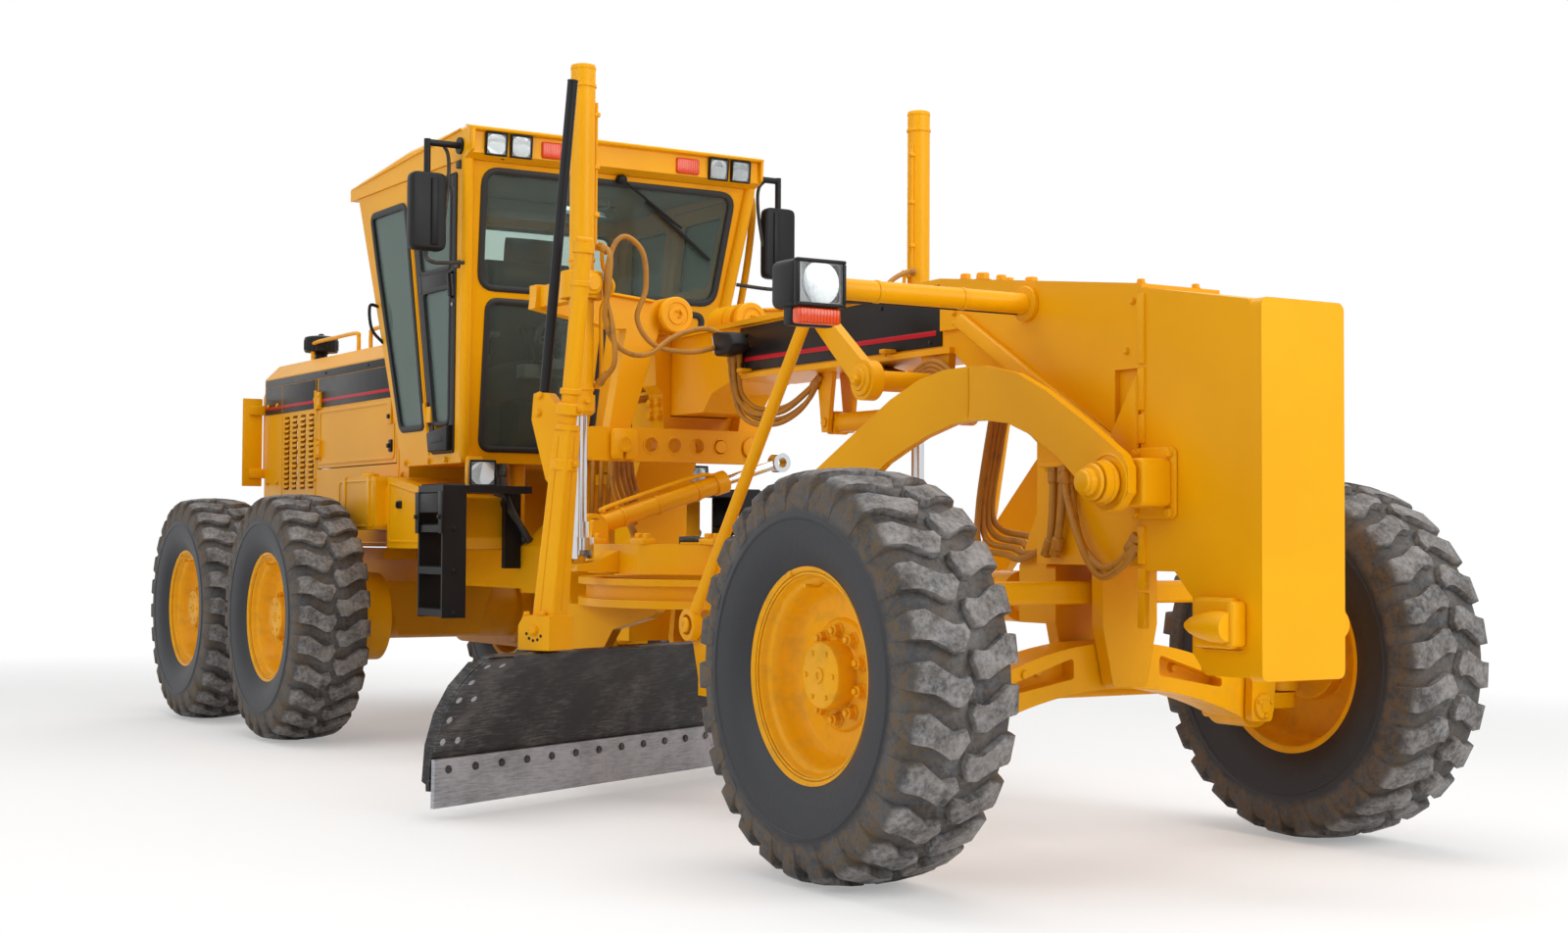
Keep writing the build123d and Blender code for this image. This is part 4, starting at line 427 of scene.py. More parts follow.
# %% Glass and lenses
def pane_glass(name, tint, face_tone, clear_share):
    """Thin tinted glass: a clear tinted sheet under a mirror-like face."""
    finish = Finish(name, face_tone, 0.03, Specular_IOR_Level=0.9)
    clear = finish.node("ShaderNodeBsdfTransparent", None, {"Color": tint})
    slant = finish.node("ShaderNodeFresnel", None, {"IOR": 1.5})
    smears = finish.noise(2.4, 3.0)
    share = (slant * 1.1 + (1 - clear_share) + smears * 0.06).between(0.0, 1.0)
    mixed = finish.node("ShaderNodeMixShader", None, {"Fac": share, 1: clear})
    finish.tree.links.new(finish.shader.outputs[0], mixed.socket.node.inputs[2])
    finish.tree.links.new(mixed.socket, finish.tree.nodes["Material Output"].inputs["Surface"])
    return finish


window_glass = pane_glass("window_glass", colour(240, 248, 245), colour(140, 156, 150), 0.85)
lamp_glass = pane_glass("lamp_glass", colour(250, 251, 251), colour(238, 240, 240), 0.90)


def lens(name, base, deep, ribs):
    """Moulded lamp plastic with fine ribs in it."""
    finish = Finish(name, base, 0.20, Coat_Weight=0.2)
    flutes = finish.node("ShaderNodeTexWave", {"bands_direction": "Y"}, {"Vector": finish.place(),
        "Scale": ribs, "Distortion": 0.0}, output="Fac")
    finish.feed("Base Color", finish.blend(flutes * 0.7 + finish.noise(30.0, 2.0) * 0.2, base, deep))
    finish.relief(flutes, 0.5, 0.002)
    return finish


amber_lens = lens("amber_lens", colour(238, 78, 0), colour(196, 44, 0), 26.0)
clear_lens = lens("clear_lens", colour(236, 238, 238), colour(176, 180, 182), 22.0)
reflector = Finish("reflector", colour(225, 228, 230), 0.12, Metallic=1.0)
reflector.feed("Roughness", 0.08 + reflector.noise(90.0, 2.0) * 0.12)
print("glass and lenses ready")


# %% Rubber trim, hose, cloth and plastic
def plain_stuff(name, base, shade, gloss, grain, depth, dirt=None):
    """Moulded or woven stuff with a grain of its own."""
    finish = Finish(name, base, gloss)
    fine = finish.noise(grain, 4.0, 0.6)
    tone = finish.blend(finish.noise(6.0, 3.0), base, shade)
    if dirt:
        tone = finish.blend(finish.noise(17.0, 5.0, 0.7).between(0.5, 0.72) * 0.7, tone, dirt)
    finish.feed("Base Color", tone)
    finish.feed("Roughness", gloss + fine * 0.15)
    finish.relief(fine, 0.3, depth, 0.001)
    return finish


gasket = plain_stuff("gasket_rubber", colour(20, 20, 21), colour(28, 28, 29), 0.5, 220.0, 0.001)
hose_cover = plain_stuff("hose_cover", colour(192, 130, 14), colour(160, 104, 12), 0.45, 320.0,
    0.001, colour(120, 84, 30))
black_hose = plain_stuff("black_hose", colour(30, 29, 28), colour(44, 42, 38), 0.5, 320.0, 0.001,
    colour(92, 76, 52))
cab_plastic = plain_stuff("cab_plastic", colour(126, 130, 126), colour(104, 108, 106), 0.6, 260.0,
    0.0008)
seat_cloth = plain_stuff("seat_cloth", colour(66, 68, 72), colour(50, 52, 56), 0.85, 420.0, 0.002)
mirror_glass = Finish("mirror_glass", colour(170, 176, 180), 0.04, Metallic=1.0)
mirror_glass.feed("Roughness", 0.03 + mirror_glass.noise(12.0, 2.0) * 0.05)
stripe_red = enamel("stripe_red", colour(196, 24, 40), colour(180, 20, 34), colour(150, 70, 50), 0.35)
panel_black = enamel("panel_black", colour(26, 25, 26), colour(33, 32, 33), colour(90, 80, 66), 0.30)
print("small finishes ready")

# %% [markdown]
# ## The workbench
#
# Everything that is added to the machine is made of a few shop shapes: plates cut to an outline, turned
# parts, round bars, bent tubes and bolts.  A bench collects such shapes into one piece, eases their
# edges as a grinder would, and gives each its own finish.  Edges are eased while a shape is alone,
# because easing a whole assembly at once would also round the seams between separate parts.

# %% Outlines in the three views
def side_view(points, y):
    """Corners of an outline in side view, given as (ahead of the axle, up)."""
    return [at(x, y, z) for x, z in points]


def front_view(points, x):
    """Corners of an outline in front view, given as (left, up)."""
    return [at(x, y, z) for y, z in points]


def plan_view(points, z):
    """Corners of an outline in plan, given as (ahead of the axle, left)."""
    return [at(x, y, z) for x, y in points]


def rectangle(first_span, second_span):
    """The four corners of a rectangle, for any of the three views."""
    (a0, a1), (b0, b1) = first_span, second_span
    return [(a0, b0), (a1, b0), (a1, b1), (a0, b1)]


def path(*points):
    """A line of places, each given from the front axle."""
    return [at(*point) for point in points]


def smooth_path(corners, steps=7):
    """A flowing line through these corners, as a hose takes between its clips."""
    line = []
    ends = [corners[0] * 2 - corners[1], *corners, corners[-1] * 2 - corners[-2]]
    for before, start, end, after in zip(ends, ends[1:], ends[2:], ends[3:]):
        for step in range(steps):
            t = step / steps
            line.append(0.5 * (2 * start + (end - before) * t + (2 * before - 5 * start + 4 * end
                - after) * t ** 2 + (3 * start - before - 3 * end + after) * t ** 3))
    return [*line, corners[-1]]


def square_to(direction):
    """Two directions square to this one and to each other."""
    along = direction.normalized()
    helper = Z if abs(along.z) < 0.9 else X
    first = along.cross(helper).normalized()
    return first, along.cross(first)


# %% The bench
class Bench:
    """Collects shaped parts into one piece that rides on a CAD body."""

    def __init__(self, name, body, finish):
        self.name = name
        self.body = body
        self.finishes = [finish]
        self.finish = finish
        self.form = bmesh.new()

    def use(self, finish):
        """The finish of the shapes made from now on."""
        if finish not in self.finishes:
            self.finishes.append(finish)
        self.finish = finish
        return self

    def take(self, shape, bevel=0.0, segments=2):
        """Eases a shape's sharp edges and adds it to the piece."""
        if bevel:
            sharp = [edge for edge in shape.edges if len(edge.link_faces) == 2
                and edge.calc_face_angle(0) > 0.6]
            bmesh.ops.bevel(shape, geom=sharp, offset=bevel, segments=segments, profile=0.5,
                affect="EDGES", clamp_overlap=True)
        bmesh.ops.recalc_face_normals(shape, faces=shape.faces)
        for face in shape.faces:
            face.material_index = self.finishes.index(self.finish)
            face.smooth = True
        carrier = bpy.data.meshes.new("carrier")
        shape.to_mesh(carrier)
        shape.free()
        self.form.from_mesh(carrier)
        bpy.data.meshes.remove(carrier)
        return self

    def plate(self, corners, depth, bevel=0.003, segments=2):
        """A plate cut to these corners and as thick as the depth vector is long."""
        shape = bmesh.new()
        face = shape.faces.new([shape.verts.new(corner) for corner in corners])
        swept = bmesh.ops.extrude_face_region(shape, geom=[face])
        moved = [item for item in swept["geom"] if isinstance(item, bmesh.types.BMVert)]
        bmesh.ops.translate(shape, verts=moved, vec=depth)
        return self.take(shape, bevel, segments)

    def block(self, x_span, y_span, z_span, bevel=0.003, segments=2):
        """A block from its spans; the X span is given from the front axle."""
        y0, y1 = y_span
        return self.plate(side_view(rectangle(x_span, z_span), y0), Y * (y1 - y0), bevel, segments)

    def turned(self, start, direction, profile, sides=24, bevel=0.0):
        """A part turned on a lathe: (distance along, radius) pairs from one end to the other."""
        along = direction.normalized()
        first, second = square_to(along)
        shape = bmesh.new()
        rings = []
        for distance, radius in profile:
            centre = start + along * distance
            if radius <= 0:
                rings.append([shape.verts.new(centre)])
            else:
                rings.append([shape.verts.new(centre + (first * math.cos(a)
                    + second * math.sin(a)) * radius) for a in (math.tau * n / sides
                    for n in range(sides))])
        for near, far in zip(rings, rings[1:]):
            for n in range(sides):
                m = (n + 1) % sides
                if len(near) == 1 and len(far) > 1:
                    shape.faces.new((near[0], far[m], far[n]))
                elif len(far) == 1 and len(near) > 1:
                    shape.faces.new((near[n], near[m], far[0]))
                elif len(near) > 1:
                    shape.faces.new((near[n], near[m], far[m], far[n]))
        for ring in (rings[0], rings[-1]):
            if len(ring) > 1 and profile[0] != profile[-1]:
                shape.faces.new(ring)
        if profile[0] == profile[-1]:
            bmesh.ops.remove_doubles(shape, verts=shape.verts, dist=1e-6)
        return self.take(shape, bevel)

    def rod(self, start, end, radius, bevel=0.002, sides=24, end_radius=None):
        """A round bar between two places, its ends chamfered."""
        length = (end - start).length
        last = radius if end_radius is None else end_radius
        return self.turned(start, end - start, [(0, 0), (0, radius - bevel), (bevel, radius),
            (length - bevel, last), (length, last - bevel), (length, 0)], sides)

    def ring(self, centre, direction, inner, outer, depth, bevel=0.002, sides=32):
        """A washer or collar."""
        return self.turned(centre, direction, [(0, inner), (0, outer - bevel), (bevel, outer),
            (depth - bevel, outer), (depth, outer - bevel), (depth, inner), (0, inner)], sides)

    def tube(self, corners, radius, steps=7, sides=10, straight=False):
        """A tube or hose along a flowing path through these corners."""
        line = list(corners) if straight else smooth_path(corners, steps)
        shape = bmesh.new()
        across, _ = square_to(line[1] - line[0])
        rings = []
        for n, place in enumerate(line):
            along = (line[min(n + 1, len(line) - 1)] - line[max(n - 1, 0)]).normalized()
            across = (across - along * across.dot(along)).normalized()
            other = along.cross(across)
            rings.append([shape.verts.new(place + (across * math.cos(a)
                + other * math.sin(a)) * radius) for a in (math.tau * k / sides
                for k in range(sides))])
        for near, far in zip(rings, rings[1:]):
            for k in range(sides):
                shape.faces.new((near[k], near[(k + 1) % sides], far[(k + 1) % sides], far[k]))
        shape.faces.new(rings[0])
        shape.faces.new(rings[-1])
        return self.take(shape)

    def hose(self, corners, radius, fitting=True):
        """A hydraulic hose, with a crimped ferrule and a hexagon nut at each end."""
        self.tube(corners, radius)
        if fitting:
            for end, next_to in ((corners[0], corners[1]), (corners[-1], corners[-2])):
                way = (next_to - end).normalized()
                self.turned(end, way, [(0, 0), (0, radius * 1.55), (0.022, radius * 1.55),
                    (0.022, 0)], 6)
                self.turned(end + way * 0.020, way, [(0, radius * 1.2), (0.004, radius * 1.42),
                    (0.040, radius * 1.42), (0.046, radius * 1.1)], 12)
        return self

    def bolt(self, place, direction, across=0.030, head=0.015, washer=True):
        """A hexagon bolt on its washer, standing on a face that looks along direction."""
        lift = 0.0
        if washer:
            self.turned(place, direction, [(0, 0), (0, across * 0.72), (0.0035, across * 0.72),
                (0.0035, 0)], 20)
            lift = 0.0035
        half = across / math.sqrt(3)
        self.turned(place + direction.normalized() * lift, direction, [(0, 0), (0, half),
            (head * 0.82, half), (head, half * 0.80), (head, 0)], 6)
        return self

    def weld(self, corners, radius=0.006):
        """A weld bead with its ripples, along these corners."""
        line = smooth_path(corners, 12)
        beads = []
        for start, end in zip(line, line[1:]):
            bead_count = max(1, int((end - start).length / (radius * 0.9)))
            beads += [start.lerp(end, k / bead_count) for k in range(bead_count)]
        for n, place in enumerate(beads[:-1]):
            along = (beads[n + 1] - place)
            if along.length > 1e-6:
                self.turned(place - along * 0.6, along, [(0, 0), (0.001, radius * 0.8),
                    (along.length * 1.1, radius), (along.length * 1.7, radius * 0.55),
                    (along.length * 1.9, 0)], 6)
        return self

    def done(self, sharp=35.0):
        """Puts the piece into the scene, on its body."""
        mesh = bpy.data.meshes.new(self.name)
        self.form.to_mesh(mesh)
        self.form.free()
        for finish in self.finishes:
            mesh.materials.append(finish.material)
        mesh.set_sharp_from_angle(angle=math.radians(sharp))
        piece = bpy.data.objects.new(self.name, mesh)
        bpy.context.scene.collection.objects.link(piece)
        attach(piece, self.body)
        print(f"{self.name}: {len(mesh.polygons)} faces on {self.body}")
        return piece


# %% [markdown]
# ## A finish for every CAD solid
#
# Nearly all of the machine is yellow enamel.  Black is kept for the moldboard, the cab's sills, the
# mirrors, the ladders and the lamp housings; rods and studs that slide are chrome.  Choosing this from
# one table keeps each solid's finish easy to find and to change.

# %% Finishes of the CAD solids
SOLID_FINISH = {"tyre": rubber, "moldboard": blade_face, "cutting_edge": edge_steel,
    "shank_bar": yellow_paint, "lift_rods": chrome, "centreshift_rod": chrome,
    "scarifier_rod": chrome, "mirrors": black_paint, "ladders": black_paint, "seat": seat_cloth,
    "console": cab_plastic, "grille": black_paint, "engine_hood": yellow_paint,
    "engine": black_paint,}
for node, solid in NODES.items():
    chosen = next((finish for start, finish in SOLID_FINISH.items() if node.startswith(start)),
        yellow_paint)
    if not solid.material_slots:
        solid.data.materials.append(chosen.material)
    for material_slot in solid.material_slots:
        material_slot.material = chosen.material
print(len(NODES), "solids painted")

# %% [markdown]
# ## Tyres
#
# A grader's tyre has a directional traction tread: heavy zigzag lugs that start at the shoulder, lean
# one way round and end near the middle, with those of the other side half a pitch later.  One lug is drawn
# flat, as a mould maker would, then wrapped round the casing; it is repeated round both shoulders.
# Drawing it flat keeps its outline simple, and the wrapping gives it the tyre's crown and the
# buttress that runs down over the shoulder.  All six wheels share the one casing.

# %% Tyre casing and lugs
LUGS_A_SIDE = 26
CASING_LINE = ((-0.10, 0.200, 0.520), (-0.06, 0.197, 0.556), (-0.03, 0.188, 0.585),
    (0.0, 0.170, 0.606), (0.05, 0.128, 0.617), (0.12, 0.058, 0.622), (0.178, 0.0, 0.623))
LUG_TOP_LINE = ((-0.10, 0.201, 0.520), (-0.06, 0.2005, 0.565), (-0.03, 0.197, 0.600),
    (-0.01, 0.190, 0.622), (0.01, 0.172, 0.636), (0.05, 0.130, 0.645), (0.12, 0.058, 0.653),
    (0.178, 0.0, 0.655))
SIDEWALL = ((0.150, 0.338), (0.160, 0.344), (0.165, 0.356), (0.176, 0.372), (0.190, 0.405),
    (0.197, 0.440), (0.2005, 0.470), (0.2015, 0.489), (0.2045, 0.492), (0.2045, 0.500),
    (0.201, 0.504))
LUG_OUTLINE = ((-0.100, 0.010), (0.0, 0.0), (0.045, 0.0), (0.12, 0.055), (0.165, 0.045),
    (0.185, 0.075), (0.150, 0.128), (0.12, 0.130), (0.05, 0.085), (0.0, 0.085), (-0.100, 0.072))
FLAT_LUG_HEIGHT = 0.030
LUG_FLARE = 0.006
WRAP_RADIUS = 0.625
TYRE_FACETS = 104


def along_line(line, u):
    """Place across the tyre and radius where a section line has come u in from the shoulder."""
    for (u0, t0, r0), (u1, t1, r1) in zip(line, line[1:]):
        if u <= u1:
            share = max(0.0, (u - u0) / (u1 - u0))
            return t0 + (t1 - t0) * share, r0 + (r1 - r0) * share
    return line[-1][1:]


def flat_lug():
    """One lug drawn flat, as (in from the shoulder, round the tyre, up), with flared walls."""
    lug = bmesh.new()
    centre_u = sum(u for u, _ in LUG_OUTLINE) / len(LUG_OUTLINE)
    centre_s = sum(s for _, s in LUG_OUTLINE) / len(LUG_OUTLINE)
    foot, head = [], []
    for u, s in LUG_OUTLINE:
        away = Vector((u - centre_u, s - centre_s)).normalized() * LUG_FLARE
        foot.append(lug.verts.new((u + (away.x if u > -0.09 else 0), s + away.y, -0.004)))
        head.append(lug.verts.new((u, s, FLAT_LUG_HEIGHT)))
    lug.faces.new(head)
    for n in range(len(foot)):
        m = (n + 1) % len(foot)
        lug.faces.new((foot[n], foot[m], head[m], head[n]))
    rim_edges = [edge for edge in lug.edges if all(v.co.z > 0 for v in edge.verts)]
    bmesh.ops.bevel(lug, geom=rim_edges, offset=0.006, segments=2, profile=0.5, affect="EDGES",
        clamp_overlap=True)
    for cut in (-0.06, -0.03, -0.01, 0.01, 0.05, 0.09, 0.12, 0.15):
        geometry = list(lug.verts) + list(lug.edges) + list(lug.faces)
        bmesh.ops.bisect_plane(lug, geom=geometry, dist=1e-5, plane_co=(cut, 0, 0), plane_no=(1, 0, 0))
    bmesh.ops.triangulate(lug, faces=[face for face in lug.faces if len(face.verts) > 4])
    return lug


def wrap(lug, side, turn):
    """Wraps a flat lug round the casing on one side, turned by this angle."""
    for vert in lug.verts:
        u, s, h = vert.co
        low_t, low_r = along_line(CASING_LINE, u)
        top_t, top_r = along_line(LUG_TOP_LINE, u)
        share = h / FLAT_LUG_HEIGHT
        across = low_t + (top_t - low_t) * share
        radius = low_r + (top_r - low_r) * share
        angle = turn + s / WRAP_RADIUS
        vert.co = (radius * math.cos(angle), side * across, radius * math.sin(angle))


def tyre_mesh():
    tyre = bmesh.new()
    section = [*SIDEWALL, *[(t, r) for _, t, r in CASING_LINE]]
    section = section + [(-t, r) for t, r in reversed(section[:-1])]
    rings = [[tyre.verts.new((r * math.cos(a), t, r * math.sin(a))) for t, r in section]
        for a in (math.tau * n / TYRE_FACETS for n in range(TYRE_FACETS))]
    for n in range(TYRE_FACETS):
        here, there = rings[n], rings[(n + 1) % TYRE_FACETS]
        for k in range(len(section) - 1):
            tyre.faces.new((here[k], here[k + 1], there[k + 1], there[k]))
    pitch = math.tau / LUGS_A_SIDE
    carrier = bpy.data.meshes.new("carrier")
    for side in (-1, 1):
        for n in range(LUGS_A_SIDE):
            lug = flat_lug()
            wrap(lug, side, n * pitch + (pitch / 2 if side > 0 else 0))
            lug.to_mesh(carrier)
            lug.free()
            tyre.from_mesh(carrier)
    bpy.data.meshes.remove(carrier)
    bmesh.ops.recalc_face_normals(tyre, faces=tyre.faces)
    for face in tyre.faces:
        face.smooth = True
    mesh = bpy.data.meshes.new("tyre")
    tyre.to_mesh(mesh)
    tyre.free()
    mesh.materials.append(rubber.material)
    mesh.set_sharp_from_angle(angle=math.radians(40))
    return mesh


tyre_shape = tyre_mesh()
print("tyre:", len(tyre_shape.polygons), "faces and", 2 * LUGS_A_SIDE, "lugs")


# %% [markdown]
# ## Wheels
#
# Each tyre sits on a three-piece steel rim with a dished disc, ten flanged nuts on studs and a hub cap
# with a filler plug in its middle.  The rim is turned from one section line.  It is the same on both
# sides of the machine, only turned round, because on such a machine any rim fits any hub.

# %% Rims, nuts and hub caps
RIM_LINE = ((0.112, 0.0), (0.112, 0.094), (0.108, 0.103), (0.100, 0.107), (0.042, 0.108),
    (0.038, 0.113), (0.036, 0.118), (0.036, 0.168), (0.032, 0.174), (0.022, 0.180), (0.022, 0.246),
    (0.027, 0.256), (0.046, 0.270), (0.078, 0.284), (0.104, 0.291), (0.110, 0.297), (0.113, 0.304),
    (0.118, 0.308), (0.134, 0.311), (0.141, 0.316), (0.147, 0.326), (0.151, 0.334), (0.156, 0.339),
    (0.157, 0.345), (0.152, 0.348), (0.147, 0.345), (0.147, 0.320), (0.147, 0.317),
    (-0.147, 0.317), (-0.147, 0.345), (-0.152, 0.348), (-0.157, 0.345), (-0.157, 0.338),
    (-0.150, 0.318), (-0.120, 0.305), (-0.020, 0.303), (0.0, 0.290), (0.0, 0.156), (-0.006, 0.150),
    (-0.058, 0.150), (-0.062, 0.146), (-0.062, 0.066), (-0.060, 0.064), (0.028, 0.064),
    (0.028, 0.0))
NUT_COUNT = 10
NUT_CIRCLE = 0.140


def rim_mesh():
    bench = Bench("rim", None, yellow_paint)
    origin = Y * 0
    bench.turned(origin, Y, RIM_LINE, 72)
    for n in range(NUT_COUNT):
        angle = math.tau * (n + 0.5) / NUT_COUNT
        foot = Vector((NUT_CIRCLE * math.cos(angle), 0.036, NUT_CIRCLE * math.sin(angle)))
        bench.turned(foot, Y, [(0, 0), (0, 0.026), (0.005, 0.025), (0.007, 0.0205),
            (0.026, 0.0205), (0.029, 0.016), (0.029, 0)], 6)
        bench.rod(foot + Y * 0.028, foot + Y * 0.038, 0.011, 0.002, 12)
    bench.turned(Y * 0.110, Y, [(0, 0), (0, 0.026), (0.008, 0.024), (0.008, 0.012), (0.003, 0.010),
        (0.003, 0)], 20)
    for n in range(6):
        angle = math.tau * n / 6
        bench.bolt(Vector((0.078 * math.cos(angle), 0.111, 0.078 * math.sin(angle))), Y, 0.014,
            0.007, False)
    # Valve stem on the barrel, and the split of the lock ring.
    bench.tube([Vector((0, 0.100, 0.290)), Vector((0, 0.120, 0.278)), Vector((0, 0.150, 0.280))],
        0.0055, 5, 8)
    bench.rod(Vector((0, 0.146, 0.280)), Vector((0, 0.168, 0.281)), 0.007, 0.001, 10)
    lock_split = [Vector((x, 0.128, z)) for x, z in rectangle((0.100, 0.125), (0.306, 0.335))]
    bench.plate(lock_split, Y * 0.030, 0.003)
    mesh = bpy.data.meshes.new("rim")
    bench.form.to_mesh(mesh)
    bench.form.free()
    mesh.materials.append(yellow_paint.material)
    mesh.set_sharp_from_angle(angle=math.radians(35))
    return mesh


rim_shape = rim_mesh()
for wheel in WHEELS:
    side = -1 if wheel.endswith("right") else 1
    centre = middle(f"tyre_{wheel}")
    for kind, shape in (("tyre", tyre_shape), ("rim", rim_shape)):
        piece = bpy.data.objects.new(f"dressed_{kind}_{wheel}", shape)
        bpy.context.scene.collection.objects.link(piece)
        piece.location = centre
        # Half a turn on the right, so that the dish faces outwards.  It turns the tread's direction too.
        piece.rotation_euler = (0, 0, 0) if side > 0 else (0, 0, math.pi)
        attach(piece, f"wheel_{wheel}")
        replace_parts(piece, f"{kind}_{wheel}")
print("rim:", len(rim_shape.polygons), "faces; six wheels dressed")


# %% [markdown]
# ## Push block and front housing
#
# The push block is a thick plate that other machines push against.  It has a tow horn cast on a boss at
# each side, and a hinged cover strip where it meets the housing.  The horn is a turned, slightly
# flattened cone, because a chain must slip on easily and not slide off.

# %% Tow horns and cover strips
BAR_X, BAR_Z = -0.187, 1.902
HOUSING_TOP, HOUSING_TOP_REAR, HOUSING_FALL = 2.045, -0.700, -0.130 / 1.1
tow_gear = Bench("tow_horns", "front_frame", yellow_paint)
for side in (-1, 1):
    tow_gear.block((0.684, 0.848), (side * 0.174, side * 0.217), (0.754, 0.910), 0.014, 3)
    tow_gear.block((0.842, 0.876), (side * 0.174, side * 0.236), (0.762, 0.900), 0.012, 3)
    tow_gear.turned(at(0.862, side * 0.236, 0.822), -X, [(0, 0), (0, 0.044), (0.030, 0.050),
        (0.075, 0.047), (0.125, 0.037), (0.160, 0.026), (0.182, 0.014), (0.188, 0)], 28)
    tow_gear.weld(path((0.690, side * 0.177, 0.748), (0.866, side * 0.177, 0.748)), 0.005)
tow_gear.done()

housing = Bench("housing_seams", "front_frame", yellow_paint)
for side in (-1, 1):
    outer = side * 0.1765
    # Hinge strip behind the block: short leaves with gaps between them.
    for low, high in ((0.800, 0.915), (0.925, 0.994), (1.006, 1.130), (1.395, 1.490),
            (1.502, 1.640), (1.652, 1.880)):
        housing.block((0.392, 0.424), (side * 0.160, side * 0.184), (low, high), 0.003)
    # Raised plate round the draft pin, with its four bolts.
    housing.plate(side_view([(0.375, 1.150), (0.560, 1.150), (0.575, 1.165), (0.575, 1.365),
        (0.560, 1.380), (0.375, 1.380)], outer), Y * side * 0.012, 0.004)
    for x, z in ((0.395, 1.170), (0.552, 1.170), (0.395, 1.360), (0.552, 1.360)):
        housing.bolt(at(x, outer + side * 0.012, z), Y * side, 0.026, 0.013)
    # Ring where the lamp bar enters, the rib of the gusset and the seams of the housing plates.
    housing.ring(at(BAR_X, side * 0.171, BAR_Z), Y * side, 0.037, 0.053, 0.008)
    housing.plate(side_view([(-0.60, 1.868), (-0.54, 1.900), (0.300, 1.412), (0.300, 1.345),
        (0.272, 1.345), (0.250, 1.362)], side * 0.171), Y * side * 0.030, 0.010, 3)
    housing.plate(side_view([(0.272, 1.345), (0.396, 1.345), (0.396, 1.620), (0.272, 1.430)],
        side * 0.171), Y * side * 0.024, 0.008)
    housing.weld(path((-0.56, side * 0.173, 1.905), (-0.15, side * 0.173, 1.668),
        (0.30, side * 0.173, 1.415)), 0.004)
    for x, z in ((-0.610, 1.910), (-0.625, 1.985), (0.330, 1.700), (0.360, 1.860)):
        housing.bolt(at(x, side * 0.172, z), Y * side, 0.018, 0.008)
# Lifting eyes and bolts on the top.
for x, y, across in ((-0.640, -0.100, 0.036), (-0.520, -0.112, 0.044), (-0.440, -0.090, 0.034),
        (-0.640, 0.100, 0.036), (-0.520, 0.112, 0.044), (0.340, -0.120, 0.024),
        (0.340, 0.120, 0.024)):
    top = HOUSING_TOP + (x - HOUSING_TOP_REAR) * HOUSING_FALL
    housing.bolt(at(x, y, top), Z, across, across * 0.55)
housing.done()


# %% [markdown]
# ## Dark panels on the gooseneck
#
# A plain black panel with one red line fills each side of the gooseneck between its flanges.  It is
# held by small black-headed screws, and a work lamp that faces the blade hangs at its rear end.

# %% Gooseneck panels and their work lamps
panels = Bench("gooseneck_panels", "front_frame", panel_black)
for side in (-1, 1):
    face = side * 0.1505
    panels.use(panel_black)
    panels.plate(side_view([(-2.200, 1.797), (-0.712, 1.797), (-0.712, 2.012), (-2.170, 1.984)],
        face), Y * side * 0.006, 0.002)
    for x, z in ((-2.12, 1.95), (-1.62, 1.962), (-1.10, 1.972), (-0.78, 1.98), (-2.12, 1.82),
            (-0.78, 1.815)):
        panels.bolt(at(x, face + side * 0.006, z), Y * side, 0.016, 0.006, False)
    panels.use(stripe_red)
    panels.plate(side_view(rectangle((-2.130, -0.745), (1.838, 1.857)), face), Y * side * 0.0075,
        0.0008)
    # Work lamp, turned towards the blade.
    panels.use(black_paint)
    panels.block((-2.130, -2.080), (side * 0.150, side * 0.215), (1.880, 1.900), 0.004)
    panels.plate(side_view([(-2.205, 1.965), (-2.060, 1.955), (-2.020, 1.900), (-2.065, 1.868),
        (-2.180, 1.858)], side * 0.195), Y * side * 0.085, 0.012, 3)
    panels.use(reflector)
    panels.plate(side_view([(-2.212, 1.945), (-2.196, 1.947), (-2.184, 1.880), (-2.196, 1.876)],
        side * 0.206), Y * side * 0.062, 0.003)
    panels.use(clear_lens)
    panels.plate(side_view([(-2.217, 1.947), (-2.210, 1.949), (-2.196, 1.878), (-2.203, 1.874)],
        side * 0.204), Y * side * 0.066, 0.002)
panels.done()

# %% [markdown]
# ## Headlights and turn lamps
#
# Each headlight is a square black housing with a bezel, a dished reflector with its bulb and a clear
# moulded lens.  The turn lamp below is an amber cover on a black base.  The reflector is a real dish
# behind a real lens, since that depth is what makes a lamp read as a lamp.


